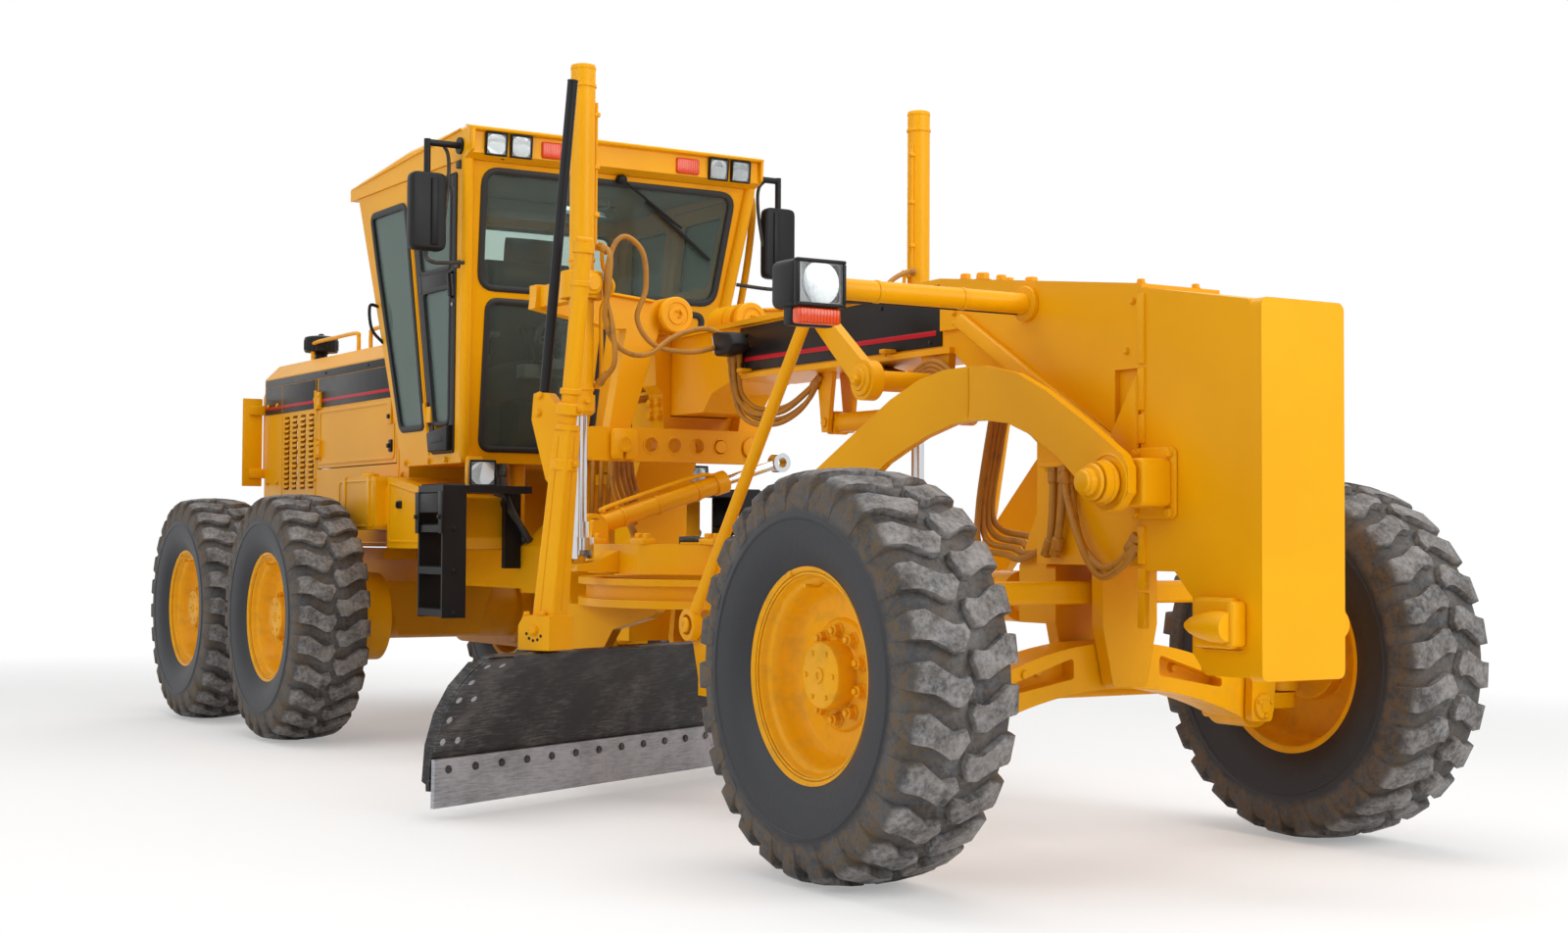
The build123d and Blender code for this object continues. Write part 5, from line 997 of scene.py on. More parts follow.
# %% Lamps
def square_lamp(bench, face, out, wide, tall, depth):
    """A square work lamp: housing, bezel, dish, bulb and lens.  face is its middle, out its way."""
    across = out.cross(Z).normalized() * (wide / 2)
    rise = across.cross(out).normalized() * (tall / 2)
    rise = rise if rise.z > 0 else -rise
    rim = rectangle((-1, 1), (-1, 1))
    bench.use(black_paint)
    back = [face - out * depth + across * (a * 0.94) + rise * (b * 0.94) for a, b in rim]
    bench.plate(back, out * (depth - 0.010), 0.018, 3)
    for a, b, c, d in ((-1, -1, 1, -0.84), (-1, 0.84, 1, 1), (-1, -0.86, -0.86, 0.86),
            (0.86, -0.86, 1, 0.86)):
        bench.plate([face - out * 0.018 + across * p + rise * q for p, q in ((a, b), (c, b),
            (c, d), (a, d))], out * 0.024, 0.005, 2)
    reach = min(wide, tall) / 2 * 0.84
    bench.use(reflector)
    bench.turned(face - out * 0.006, -out, [(-0.002, reach * 1.10), (0.0, reach),
        (0.018, reach * 0.72), (0.026, reach * 0.34), (0.028, 0)], 28)
    bench.rod(face - out * 0.030, face - out * 0.012, reach * 0.16, 0.002, 12)
    bench.use(clear_lens)
    bench.plate([face - out * 0.012 + across * (a * 0.86) + rise * (b * 0.84) for a, b in rim],
        out * 0.0005, 0.0)
    bench.use(lamp_glass)
    bench.plate([face - out * 0.004 + across * (a * 0.86) + rise * (b * 0.84) for a, b in rim],
        out * 0.006, 0.002)


headlights = Bench("front_lamps", "front_frame", yellow_paint)
headlights.rod(at(BAR_X, -1.020, BAR_Z), at(BAR_X, 1.020, BAR_Z), 0.036, 0.002, 32)
for side in (-1, 1):
    headlights.use(yellow_paint)
    headlights.rod(at(BAR_X, side * 0.170, BAR_Z), at(BAR_X, side * 0.191, BAR_Z), 0.062, 0.003, 32)
    headlights.use(black_paint)
    headlights.block((-0.256, -0.112), (side * 0.985, side * 1.182), (1.824, 1.982), 0.026, 4)
    square_lamp(headlights, at(-0.098, side * 1.083, 1.903), X, 0.190, 0.154, 0.050)
    headlights.use(black_paint)
    headlights.block((-0.200, -0.150), (side * 0.996, side * 1.165), (1.768, 1.832), 0.010, 3)
    headlights.use(amber_lens)
    headlights.block((-0.152, -0.104), (side * 1.000, side * 1.161), (1.772, 1.826), 0.010, 3)
    headlights.use(black_hose)
    headlights.tube(path((-0.254, side * 1.080, 1.86), (-0.300, side * 1.060, 1.85),
        (-0.262, side * 0.96, 1.868), (-0.232, side * 0.70, 1.872), (-0.222, side * 0.30, 1.872),
        (-0.222, side * 0.18, 1.872)), 0.007)
    headlights.use(yellow_paint)
    for y in (0.45, 0.80):
        headlights.ring(at(BAR_X, side * y, BAR_Z), Y * side, 0.0362, 0.039, 0.014, 0.001, 24)
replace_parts(headlights.done(), "headlight_bar")


# %% [markdown]
# ## Scarifier arms
#
# The curved draft arms are cut from thick plate in two halves and welded at the crown.  They swing on a
# pin at the push block, which is held by a stepped cap and a locking plate.

# %% Draft arm seams, caps and tooth collars
DRAFT_PIN_X, DRAFT_PIN_Z = 0.452, 1.265
TOOTH_LINE = [-0.554 + n * 0.1108 for n in range(11)]
arms = Bench("draft_arm_fittings", "scarifier", yellow_paint)
for side in (-1, 1):
    face = side * 0.3592
    arms.weld(path((-0.280, face, 1.675), (-0.276, face, 1.590), (-0.280, face, 1.500)), 0.0045)
    arms.ring(at(DRAFT_PIN_X, side * 0.322, DRAFT_PIN_Z), Y * side, 0.086, 0.094, 0.040, 0.004, 40)
    # Wedges that hold each scarifier shank in its pocket.
    for middle_y in TOOTH_LINE:
        if (middle_y < 0) == (side < 0) or abs(middle_y) < 0.01:
            arms.block((-1.468, -1.452), (middle_y - 0.030, middle_y + 0.030), (0.490, 0.560), 0.004)
            arms.bolt(at(-1.452, middle_y, 0.600), X, 0.030, 0.014)
    arms.ring(at(-1.620, side * 0.720, 0.745), Y * side, 0.010, 0.030, 0.012)
for z in (0.500, 0.640):
    arms.weld(path((-1.467, -0.575, z), (-1.467, 0.575, z)), 0.0035)
arms.done()

pin_caps = Bench("draft_pin_caps", "front_frame", yellow_paint)
for side in (-1, 1):
    start = at(DRAFT_PIN_X, side * 0.424, DRAFT_PIN_Z)
    pin_caps.turned(start - Y * side * 0.001, Y * side, [(0, 0), (0, 0.060), (0.012, 0.056),
        (0.014, 0.044), (0.034, 0.042), (0.038, 0.036), (0.046, 0.034), (0.049, 0.028),
        (0.049, 0)], 32)
    pin_caps.ring(at(DRAFT_PIN_X, side * 0.372, DRAFT_PIN_Z), Y * side, 0.060, 0.0705, 0.014, 0.003, 40)
    pin_caps.plate(side_view([(0.470, 1.190), (0.548, 1.190), (0.560, 1.202), (0.560, 1.330),
        (0.548, 1.342), (0.470, 1.342)], side * 0.188), Y * side * 0.120, 0.010, 3)
pin_caps.done()

teeth = Bench("scarifier_teeth", "scarifier", edge_steel)
for middle_y in TOOTH_LINE:
    teeth.plate(side_view([(-1.500, 0.330), (-1.438, 0.258), (-1.448, 0.252), (-1.492, 0.256),
        (-1.566, 0.330)], middle_y - 0.023), Y * 0.046, 0.004)
teeth.done()

rocker = Bench("rocker_fittings", "rocker", yellow_paint)
for side in (-1, 1):
    for x, z, radius in ((-0.760, 1.660, 0.074), (-1.090, 1.930, 0.042)):
        rocker.turned(at(x, side * (0.478 if z < 1.7 else 0.470), z), Y * side,
            [(0, 0), (0, radius * 0.80), (0.010, radius * 0.78), (0.012, radius * 0.55),
            (0.020, radius * 0.53), (0.022, 0)], 28)
    rocker.bolt(at(-0.760, side * 0.500, 1.660), Y * side, 0.034, 0.016)
rocker.done()

# %% [markdown]
# ## Blade lift
#
# Two bell-crank arms swing on ring bosses at the saddle, and a bar with seven holes ties their feet
# together, so that an operator can lock the pair in one of several positions.  The bosses carry stepped
# caps.  The right arm's foot has a keyhole plate that stops its pin from turning; the left has a cap.

# %% Lift bosses, caps and locks
LIFT_X, LIFT_Y = -2.280, 0.860
LOCK_PIN_Y, LINK_BAR_Z = -0.468, 1.497
lift_gear = Bench("lift_fittings", "front_frame", yellow_paint)
for side in (-1, 1):
    boss = at(-2.694, side * 0.195, 2.085)
    lift_gear.turned(boss, X, [(0, 0), (0, 0.078), (0.006, 0.082), (0.030, 0.082), (0.036, 0.076),
        (0.036, 0.056), (0.031, 0.054), (0.031, 0.044), (0.036, 0.042), (0.036, 0.020),
        (0.032, 0.018), (0.032, 0)], 40)
    lift_gear.tube([boss + X * 0.034 + Z * 0.010, boss + X * 0.042 + Z * 0.022 + Y * 0.012,
        boss + X * 0.040 + Z * 0.002 + Y * 0.022, boss + X * 0.034 - Z * 0.012 + Y * 0.006], 0.004,
        5, 8)
    # Caps over the pins that carry the lift cylinder in its fork.
    for end in (-1, 1):
        lift_gear.turned(at(LIFT_X + end * 0.086, side * LIFT_Y, 2.130), X * end,
            [(0, 0), (0, 0.046), (0.022, 0.044), (0.026, 0.030), (0.034, 0.028), (0.034, 0)], 28)
    lift_gear.ring(at(LIFT_X, side * LIFT_Y, 2.176), Z, 0.066, 0.088, 0.012, 0.003, 40)
    # Ribs that box in the arm behind the fork.
    lift_gear.plate(front_view([(side * 0.290, 2.150), (side * 0.460, 2.166),
        (side * 0.700, 2.190), (side * 0.700, 2.178), (side * 0.460, 2.154),
        (side * 0.290, 2.138)], -2.722), X * 0.026, 0.003)
    # Bolts of the saddle's clamp on the gooseneck.
    for z in (1.640, 1.700, 1.960, 2.015):
        for x in (-2.902, -2.830):
            lift_gear.bolt(at(x, side * (0.190 if z < 1.8 else 0.239), z), Y * side, 0.034, 0.018)
lock = [(-0.062, 0.052), (-0.050, 0.066), (0.050, 0.066), (0.062, 0.052), (0.062, -0.052),
    (0.050, -0.068), (0.010, -0.068), (0.008, -0.024), (-0.008, -0.024), (-0.010, -0.068),
    (-0.050, -0.068), (-0.062, -0.052)]
lift_gear.plate(front_view([(LOCK_PIN_Y + y, LINK_BAR_Z + z) for y, z in lock], -2.652), X * 0.026,
    0.004)
lift_gear.turned(at(-2.628, LOCK_PIN_Y, LINK_BAR_Z), X, [(0, 0), (0, 0.038), (0.008, 0.036),
    (0.009, 0.024), (0.004, 0.022), (0.004, 0)], 28)
lift_gear.turned(at(-2.652, 0.196, LINK_BAR_Z), X, [(0, 0), (0, 0.050), (0.008, 0.048),
    (0.010, 0.030), (0.012, 0)], 28)
for n in range(7):
    hole_y = 0.032 - n * 0.118
    if hole_y > -0.42:
        lift_gear.ring(at(-2.6615, hole_y, LINK_BAR_Z), X, 0.0325, 0.041, 0.0045, 0.001, 28)
lift_gear.done()

cylinders = Bench("lift_cylinders_fittings", "front_frame", yellow_paint)
for side in (-1, 1):
    y = side * LIFT_Y
    axis = at(LIFT_X, y, 0)
    # Head cap, gland nut, ports and the pressure tube along the barrel.
    cylinders.turned(axis + Z * 3.036, Z, [(0, 0), (0, 0.053), (0.010, 0.0535), (0.018, 0.050),
        (0.022, 0.036), (0.022, 0)], 32)
    for low in (1.692, 2.230, 2.960):
        cylinders.ring(axis + Z * low, Z, 0.0515, 0.0565, 0.014, 0.002, 32)
    cylinders.turned(axis + Z * 1.603, -Z, [(-0.004, 0.0), (-0.004, 0.058), (0.004, 0.056),
        (0.012, 0.046), (0.012, 0)], 32)
    inner = -side * 0.062
    for port in (1.720, 2.300):
        cylinders.rod(axis + Y * -side * 0.045 + Z * port, axis + Y * -side * 0.088 + Z * port,
            0.017, 0.002, 16)
    cylinders.rod(axis + X * 0.040 + Z * 1.650, axis + X * 0.075 + Z * 1.650, 0.014, 0.002, 12)
    cylinders.tube([axis + Y * inner * 1.3 + Z * 1.722, axis + Y * inner * 1.45 + X * 0.01
        + Z * 1.780, axis + Y * inner * 1.38 + X * 0.012 + Z * 2.000, axis + Y * inner * 1.5
        + X * 0.016 + Z * 2.06, axis + Y * inner * 1.9 + X * 0.060 + Z * 2.13,
        axis + Y * inner * 1.5 + X * 0.016 + Z * 2.21, axis + Y * inner * 1.4 + X * 0.012
        + Z * 2.290], 0.009, 6, 8)
    cylinders.rod(axis + Y * -side * 0.052 + X * 0.022 + Z * 2.30, axis + Y * -side * 0.052
        + X * 0.022 + Z * 2.90, 0.007, 0.001, 8)
    for low in (2.42, 2.62, 2.84):
        cylinders.block((LIFT_X + 0.008, LIFT_X + 0.034), (y - side * 0.066, y - side * 0.040),
            (low, low + 0.018), 0.003)
cylinders.done()

# %% [markdown]
# ## Hoses
#
# Hydraulic hoses feed every cylinder.  They are sprayed over with the machine's paint, so they are a
# duller yellow.  The long free loops over the right lift cylinder give it room to tilt.  Each hose is
# swept along a flowing path, and its ends have a crimped ferrule and a nut where they can be seen.

# %% Hoses round the lift and under the gooseneck
lift_hoses = Bench("lift_hoses", "front_frame", hose_cover)
lift_hoses.hose(path((-2.236, -0.798, 1.722), (-2.15, -0.772, 1.80), (-2.16, -0.775, 1.95),
    (-2.20, -0.790, 2.12), (-2.225, -0.745, 2.29), (-2.23, -0.680, 2.345), (-2.21, -0.610, 2.28),
    (-2.20, -0.600, 2.13), (-2.20, -0.640, 2.00), (-2.20, -0.560, 1.895), (-2.19, -0.40, 1.872),
    (-2.18, -0.27, 1.900), (-2.19, -0.180, 1.955)), 0.0115)
lift_hoses.hose(path((-2.236, -0.798, 2.300), (-2.16, -0.79, 2.255), (-2.15, -0.800, 2.12),
    (-2.17, -0.805, 1.98), (-2.18, -0.730, 1.870), (-2.19, -0.60, 1.850), (-2.20, -0.46, 1.935),
    (-2.19, -0.33, 1.975), (-2.18, -0.24, 1.955), (-2.19, -0.180, 1.925)), 0.0115)
lift_hoses.hose(path((-2.236, 0.798, 1.722), (-2.16, 0.76, 1.82), (-2.17, 0.70, 2.02),
    (-2.20, 0.55, 2.13), (-2.20, 0.38, 2.02), (-2.19, 0.26, 1.95), (-2.19, 0.180, 1.945)), 0.0115)
lift_hoses.hose(path((-2.236, 0.798, 2.300), (-2.16, 0.74, 2.30), (-2.16, 0.62, 2.24),
    (-2.17, 0.45, 2.06), (-2.18, 0.30, 1.96), (-2.19, 0.180, 1.915)), 0.0115)
# Bundle that comes round the bend under the gooseneck.
for n in range(4):
    y = -0.172 - 0.018 * (n % 2)
    drop = 0.022 * n
    lift_hoses.hose(path((-2.150 - 0.016 * n, y, 1.900), (-2.150 - 0.012 * n, y, 1.780),
        (-2.125, y, 1.700 - drop), (-2.04, y + 0.01, 1.640 - drop), (-1.93, y + 0.03,
        1.625 - drop), (-1.84, y + 0.06, 1.640 - drop), (-1.74, y + 0.09, 1.700 - drop),
        (-1.66, -0.07, 1.752)), 0.0105)
for n in range(5):
    lift_hoses.hose(path((-1.30 + 0.012 * n, 0.028 - 0.024 * n, 1.758), (-1.12, -0.02 - 0.030 * n,
        1.722), (-0.98, -0.075 - 0.026 * n, 1.700 - 0.010 * n), (-0.86, -0.168, 1.712 - 0.014 * n),
        (-0.75, -0.176, 1.742 - 0.016 * n), (-0.66, -0.172, 1.716 - 0.022 * n),
        (-0.585, -0.160, 1.640 - 0.026 * n)), 0.0105, False)
for x in (-2.09, -1.02):
    lift_hoses.use(yellow_paint)
    lift_hoses.block((x - 0.018, x + 0.018), (-0.212, -0.146), (1.790, 1.806), 0.003)
    lift_hoses.bolt(at(x, -0.198, 1.790), -Z, 0.018, 0.010)
    lift_hoses.use(hose_cover)
lift_hoses.done()

front_hoses = Bench("front_hoses", "front_frame", hose_cover)
for n in range(4):
    y = -0.062 + 0.034 * n
    front_hoses.hose(path((-0.130 - 0.014 * n, y, 1.340), (-0.120 - 0.020 * n, y - 0.01, 1.230),
        (-0.120 - 0.03 * n, y - 0.02, 1.130), (-0.200 - 0.03 * n, y - 0.04, 1.050),
        (-0.300 - 0.02 * n, y - 0.05, 1.015 + 0.02 * n), (-0.42, y - 0.02, 1.030 + 0.022 * n),
        (-0.60, y, 1.060 + 0.02 * n), (-0.64, y * 0.6, 1.20), (-0.585, y * 0.6, 1.44),
        (-0.520, y * 0.6, 1.664)), 0.012, False)
for n in range(2):
    front_hoses.hose(path((0.020, -0.158 - 0.024 * n, 1.330), (0.060, -0.176 - 0.020 * n, 1.220),
        (0.120 + 0.03 * n, -0.190 - 0.015 * n, 1.080 - 0.03 * n),
        (0.230, -0.196, 0.995 - 0.03 * n), (0.330, -0.192, 1.020 - 0.02 * n),
        (0.386, -0.176, 1.100 - 0.03 * n)), 0.013)
    front_hoses.hose(path((-0.050 + 0.05 * n, -0.166, 1.340), (-0.040 + 0.05 * n, -0.178, 1.200),
        (-0.050 + 0.04 * n, -0.182, 1.080), (-0.080 + 0.05 * n, -0.176, 1.032)), 0.014)
front_hoses.use(yellow_paint)
front_hoses.block((-0.100, 0.060), (-0.190, -0.148), (1.330, 1.350), 0.004)
for x in (-0.070, 0.030):
    front_hoses.bolt(at(x, -0.176, 1.330), -Z, 0.020, 0.010)
front_hoses.done()

# %% [markdown]
# ## Front axle and drawbar details
#
# Grease fittings, pin caps with their lock bolts and the circle's wear shoes finish the working parts
# that move against each other.  They are small, but the eye expects something at each pin.

# %% Axle and drawbar fittings
axle = Bench("axle_fittings", "axle", yellow_paint)
for end in (-1, 1):
    for side in (-1, 1):
        axle.turned(at(end * 0.0855, side * 0.40, 0.640), X * end, [(0, 0), (0, 0.016),
            (0.008, 0.012), (0.008, 0)], 12)
    for y in (-0.30, 0.30):
        axle.bolt(at(end * 0.0245, y, 0.640), X * end, 0.024, 0.012)
axle.done()
for label, side in SIDES:
    lean_cap = Bench(f"lean_caps_{label}", f"lean_{label}", yellow_paint)
    lean_cap.turned(at(0.1255, side * 0.640, 0.500), X, [(0, 0), (0, 0.046), (0.010, 0.043),
        (0.011, 0.023), (0.016, 0.021), (0.016, 0)], 28)
    for turn in range(3):
        angle = math.tau * turn / 3 + 0.5
        lean_cap.bolt(at(0.1355, side * 0.640 + math.cos(angle) * 0.033,
            0.500 + math.sin(angle) * 0.033), X, 0.014, 0.007, False)
    lean_cap.done()

drawbar = Bench("drawbar_fittings", "drawbar", yellow_paint)
for side in (-1, 1):
    # Wear shoes that hold the circle up, each with two bolts.
    for x, y in ((-1.800, 0.520), (-2.080, 0.690), (-2.520, 0.690)):
        drawbar.block((x - 0.060, x + 0.060), (side * (y - 0.050), side * (y + 0.012)),
            (1.056, 1.082), 0.005)
        for dx in (-0.034, 0.034):
            drawbar.bolt(at(x + dx, side * (y - 0.020), 1.082), Z, 0.032, 0.018)
    drawbar.weld(path((-1.420, side * 0.130, 1.062), (-1.900, side * 0.598, 1.062)), 0.005)
    drawbar.turned(at(LIFT_X, side * LIFT_Y, 0.975), -Z, [(0, 0), (0, 0.046), (0.012, 0.044),
        (0.016, 0.030), (0.030, 0.028), (0.030, 0)], 24)
for x in (-1.05, -1.30):
    drawbar.block((x - 0.045, x + 0.045), (-0.118, 0.118), (1.046 + (-1.05 - x) * 0.02, 1.060), 0.005)
drawbar.bolt(at(-0.548, 0.0, 0.880), -X, 0.060, 0.026)
for angle in range(8):
    turn = math.tau * angle / 8
    drawbar.bolt(at(-0.5465, 0.072 * math.cos(turn), 0.880 + 0.072 * math.sin(turn)), -X, 0.020,
        0.010, False)
drawbar.use(black_hose)
for n in range(2):
    drawbar.hose(path((-1.62, -0.02 - 0.05 * n, 1.060), (-1.66, -0.05 - 0.05 * n, 1.120),
        (-1.74, -0.16 - 0.04 * n, 1.110), (-1.86, -0.38, 1.080), (-2.00, -0.52 - 0.02 * n, 1.074)),
        0.012)
drawbar.done()

# The centreshift cylinder carries a pair of tubes along its barrel.
shift_foot, shift_head = at(-2.585, -0.650, 1.130), at(-2.585, 0.300, 1.430)
shift_way = (shift_foot - shift_head).normalized()
shift_up = shift_way.cross(X).normalized()
shift_up = shift_up if shift_up.z > 0 else -shift_up
centreshift = Bench("centreshift_fittings", "centreshift_barrel", yellow_paint)
for across in (-0.014, 0.014):
    start, end = shift_head + shift_way * 0.36, shift_foot - shift_way * 0.09
    centreshift.tube([start + shift_up * 0.046 + X * across, start + shift_way * 0.06
        + shift_up * 0.062 + X * across, start.lerp(end, 0.5) + shift_up * 0.064 + X * across,
        end + shift_up * 0.060 + X * across, end + shift_way * 0.02 + shift_up * 0.044
        + X * across], 0.008, 5, 8)
for share in (0.2, 0.55, 0.85):
    centre = shift_head.lerp(shift_foot, 0.33 + share * 0.6)
    centreshift.ring(centre, shift_way, 0.0415, 0.0465, 0.016, 0.002, 28)
centreshift.ring(shift_head + shift_way * 0.298, shift_way, 0.0235, 0.047, 0.010, 0.003, 28)
centreshift.done()
print("front and lift dressed")


# %% [markdown]
# ## Blade
#
# The moldboard's ends carry bolted end bits, and the cutting edge is held by a row of plough bolts whose
# flat heads sit in front and whose nuts sit behind.  The blade group stands turned, so a small helper
# works square to the blade: ahead of it, along it and up.

# %% Blade bolts and end bits
BLADE_TURN = math.radians(25)
CIRCLE_X = -2.300
BLADE_SHIFT = 0.1464
BLADE_LENGTH = 3.430
blade_ahead = Vector((math.cos(BLADE_TURN), math.sin(BLADE_TURN), 0))
blade_left = Vector((-math.sin(BLADE_TURN), math.cos(BLADE_TURN), 0))


def on_blade(square, along, up):
    """A place given square to the blade from the circle's centre, along the blade and up."""
    return at(CIRCLE_X, 0, up) + blade_ahead * square + blade_left * along


EDGE_LOW, EDGE_HIGH = Vector((-0.436, 0.045)), Vector((-0.145, 0.630))
chord = (EDGE_HIGH - EDGE_LOW).normalized()
chord_back = Vector((-chord.y, chord.x))
SAGITTA = 0.105


def face_point(share, along, back=0.0):
    """A place on the moldboard's hollow face at this share of its height."""
    spot = EDGE_LOW.lerp(EDGE_HIGH, share) + chord_back * (SAGITTA * (1 - (2 * share - 1) ** 2) + back)
    return on_blade(spot.x, along, spot.y)


def face_way(share):
    """The way the face looks at this share of its height."""
    slope = (face_point(share + 0.01, 0) - face_point(share - 0.01, 0)).normalized()
    return slope.cross(blade_left).normalized() * (1
        if slope.cross(blade_left).dot(blade_ahead) > 0 else -1)


blade_right_end = BLADE_SHIFT - BLADE_LENGTH / 2
blade_left_end = BLADE_SHIFT + BLADE_LENGTH / 2
edge_bolts = Bench("cutting_edge_bolts", "blade", edge_steel)
BOLTS_ALONG = 22
for n in range(BOLTS_ALONG):
    along = blade_right_end + 0.075 + n * (BLADE_LENGTH - 0.15) / (BOLTS_ALONG - 1)
    way = face_way(0.03)
    spot = face_point(0.0, along) + (face_point(0.26, along) - face_point(0.0, along)) * 0.74
    edge_bolts.use(blade_face)
    edge_bolts.turned(spot + way * 0.0185, way, [(0, 0), (0, 0.0165), (0.0062, 0.0145),
        (0.0062, 0)], 16)
    edge_bolts.turned(spot - way * 0.044, -way, [(0, 0), (0, 0.017), (0.016, 0.017), (0.016, 0)], 6)
    edge_bolts.rod(spot - way * 0.044, spot - way * 0.070, 0.009, 0.002, 10)
edge_bolts.done()

end_bits = Bench("moldboard_end_bits", "blade", blade_face)
for along, way_in in ((blade_right_end, 1), (blade_left_end, -1)):
    rows = [0.30 + n * 0.046 for n in range(16)]
    inner = along + way_in * 0.165
    for low, high in zip(rows, rows[1:]):
        corners = [face_point(low, along, -0.0005), face_point(high, along, -0.0005),
            face_point(high, inner - way_in * 0.03 * (high - 0.3), -0.0005), face_point(low, inner,
            -0.0005)]
        end_bits.plate(corners, face_way((low + high) / 2) * 0.009, 0.0)
    end_bits.use(edge_steel)
    for share in (0.36, 0.50, 0.64, 0.78, 0.92):
        for inset in (0.035, 0.120):
            if inset < 0.1 or share in (0.36, 0.64, 0.92):
                end_bits.turned(face_point(share, along + way_in * inset, -0.009), face_way(share),
                    [(0, 0), (0, 0.0150), (0.0025, 0.0130), (0.0025, 0)], 14)
    end_bits.use(blade_face)
# Bolts of the slide's strips at the back.
for share in (0.24, 0.72):
    for n in range(5):
        along = blade_right_end + 0.42 + n * 0.62
        end_bits.use(yellow_paint)
        spot = face_point(share, along, 0.022 + 0.046)
        end_bits.bolt(spot, -face_way(share), 0.026, 0.013)
end_bits.done()

tilt_bolts = Bench("tilt_bracket_bolts", "tip", yellow_paint)
for side in (-1, 1):
    for up, square in ((0.330, -0.590), (0.520, -0.545), (0.470, -0.520)):
        tilt_bolts.bolt(on_blade(square, side * 0.5105, up), blade_left * side, 0.034 if up < 0.4
            else 0.026, 0.015)
tilt_bolts.done()

# %% [markdown]
# ## Mast on the blade
#
# A tapered post carries a tube that reaches up beside the cab.  It is welded of two folded halves, so a
# seam runs down its face.  Its box has an arc of index holes, and a cast side bracket holds the black
# pole.  The pole is covered with a black sleeve, since the CAD mast is one painted solid.

# %% Mast fittings
mast = Bench("mast_fittings", "blade", yellow_paint)
MAST_ACROSS = blade_right_end + 0.349
LEAN = math.tan(math.radians(6))


def mast_foot(up):
    return -0.155 + (up - 0.630) * LEAN


def on_mast(square, across, up):
    return on_blade(mast_foot(up) + square, MAST_ACROSS + across, up)


mast.weld([on_mast(0.0515, 0.0, 0.800), on_mast(0.0395, 0.0, 1.480)], 0.0025)
mast.weld([on_mast(-0.010, -0.0515, 0.800), on_mast(-0.008, -0.0395, 1.480)], 0.0025)
for up, radius in ((1.500, 0.048), (1.640, 0.043), (2.190, 0.043), (2.060, 0.040)):
    mast.ring(on_mast(0, 0, up), on_mast(0, 0, up + 0.1) - on_mast(0, 0, up), 0.0335, radius,
        0.024, 0.003, 32)
mast.rod(on_mast(0, 0, 2.228), on_mast(0, 0, 2.252), 0.034, 0.006, 28)
for up in (0.760, 0.700):
    for across in (-0.050, 0.050):
        mast.bolt(on_blade(-0.083, MAST_ACROSS + across, up) + blade_ahead * -0.001,
            blade_ahead * -1, 0.020, 0.010)
mast.use(black_paint)
for n in range(5):
    angle = math.radians(200 + n * 32)
    spot = on_blade(-0.160 + 0.040 * math.cos(angle), MAST_ACROSS - 0.0745,
        0.722 + 0.040 * math.sin(angle))
    mast.rod(spot, spot - blade_left * 0.0012, 0.0062, 0.0004, 12)
mast.use(yellow_paint)
mast.bolt(on_blade(-0.160, MAST_ACROSS - 0.0745, 0.722), -blade_left, 0.030, 0.014)
for across in (-0.082, 0.082):
    for square in (-0.205, -0.125):
        mast.bolt(on_blade(square, MAST_ACROSS + across * 0.80, 0.780), Z, 0.022, 0.011)
for up in (1.345, 1.560):
    mast.ring(on_mast(0, 0, up), on_mast(0, 0, up + 0.1) - on_mast(0, 0, up), 0.034, 0.052, 0.046,
        0.004, 32)
    mast.bolt(on_mast(0.052, 0.0, up + 0.024), blade_ahead, 0.024, 0.012)
for up in (1.570, 1.640):
    mast.bolt(on_mast(-0.132, -0.027, up), -blade_left, 0.022, 0.011)
mast.use(black_paint)
pole_low, pole_high = on_mast(-0.132, 0, 1.652), on_mast(-0.132, 0, 2.870)
mast.rod(pole_low, pole_high, 0.0205, 0.002, 24)
mast.rod(pole_high - (pole_high - pole_low).normalized() * 0.002,
    pole_high + (pole_high - pole_low).normalized() * 0.008, 0.0215, 0.003, 24)
mast.done()

# %% [markdown]
# ## Cab glass
#
# The cab is a welded frame that leans outwards as it rises.  Each window is one sheet of tinted safety
# glass with a black rubber gasket.  The pane sits a little behind the outer face of the wall, and the
# gasket is a rounded band over its edge, so both are drawn from the same corners.

# %% Panes and gaskets
CAB_LOW, CAB_HIGH = 1.450, 2.885
CAB_FOOT, CAB_HEAD = (-4.800, -4.020), (-5.100, -3.670)
CAB_FOOT_HALF, CAB_HEAD_HALF = 0.652, 0.795


def cab_share(z):
    return (z - CAB_LOW) / (CAB_HIGH - CAB_LOW)


def cab_front(z):
    return CAB_FOOT[1] + (CAB_HEAD[1] - CAB_FOOT[1]) * cab_share(z)


def cab_rear(z):
    return CAB_FOOT[0] + (CAB_HEAD[0] - CAB_FOOT[0]) * cab_share(z)


def cab_half(z):
    return CAB_FOOT_HALF + (CAB_HEAD_HALF - CAB_FOOT_HALF) * cab_share(z)


def rounded(points, radius, steps=5):
    """An outline with its corners rounded."""
    outline = []
    for n, corner in enumerate(points):
        corner = Vector(corner)
        back, on = Vector(points[n - 1]) - corner, Vector(points[(n + 1) % len(points)]) - corner
        reach = min(radius, back.length * 0.45, on.length * 0.45)
        start, end = corner + back.normalized() * reach, corner + on.normalized() * reach
        for step in range(steps + 1):
            t = step / steps
            outline.append(start * (1 - t) ** 2 + corner * (2 * t * (1 - t)) + end * t ** 2)
    return outline


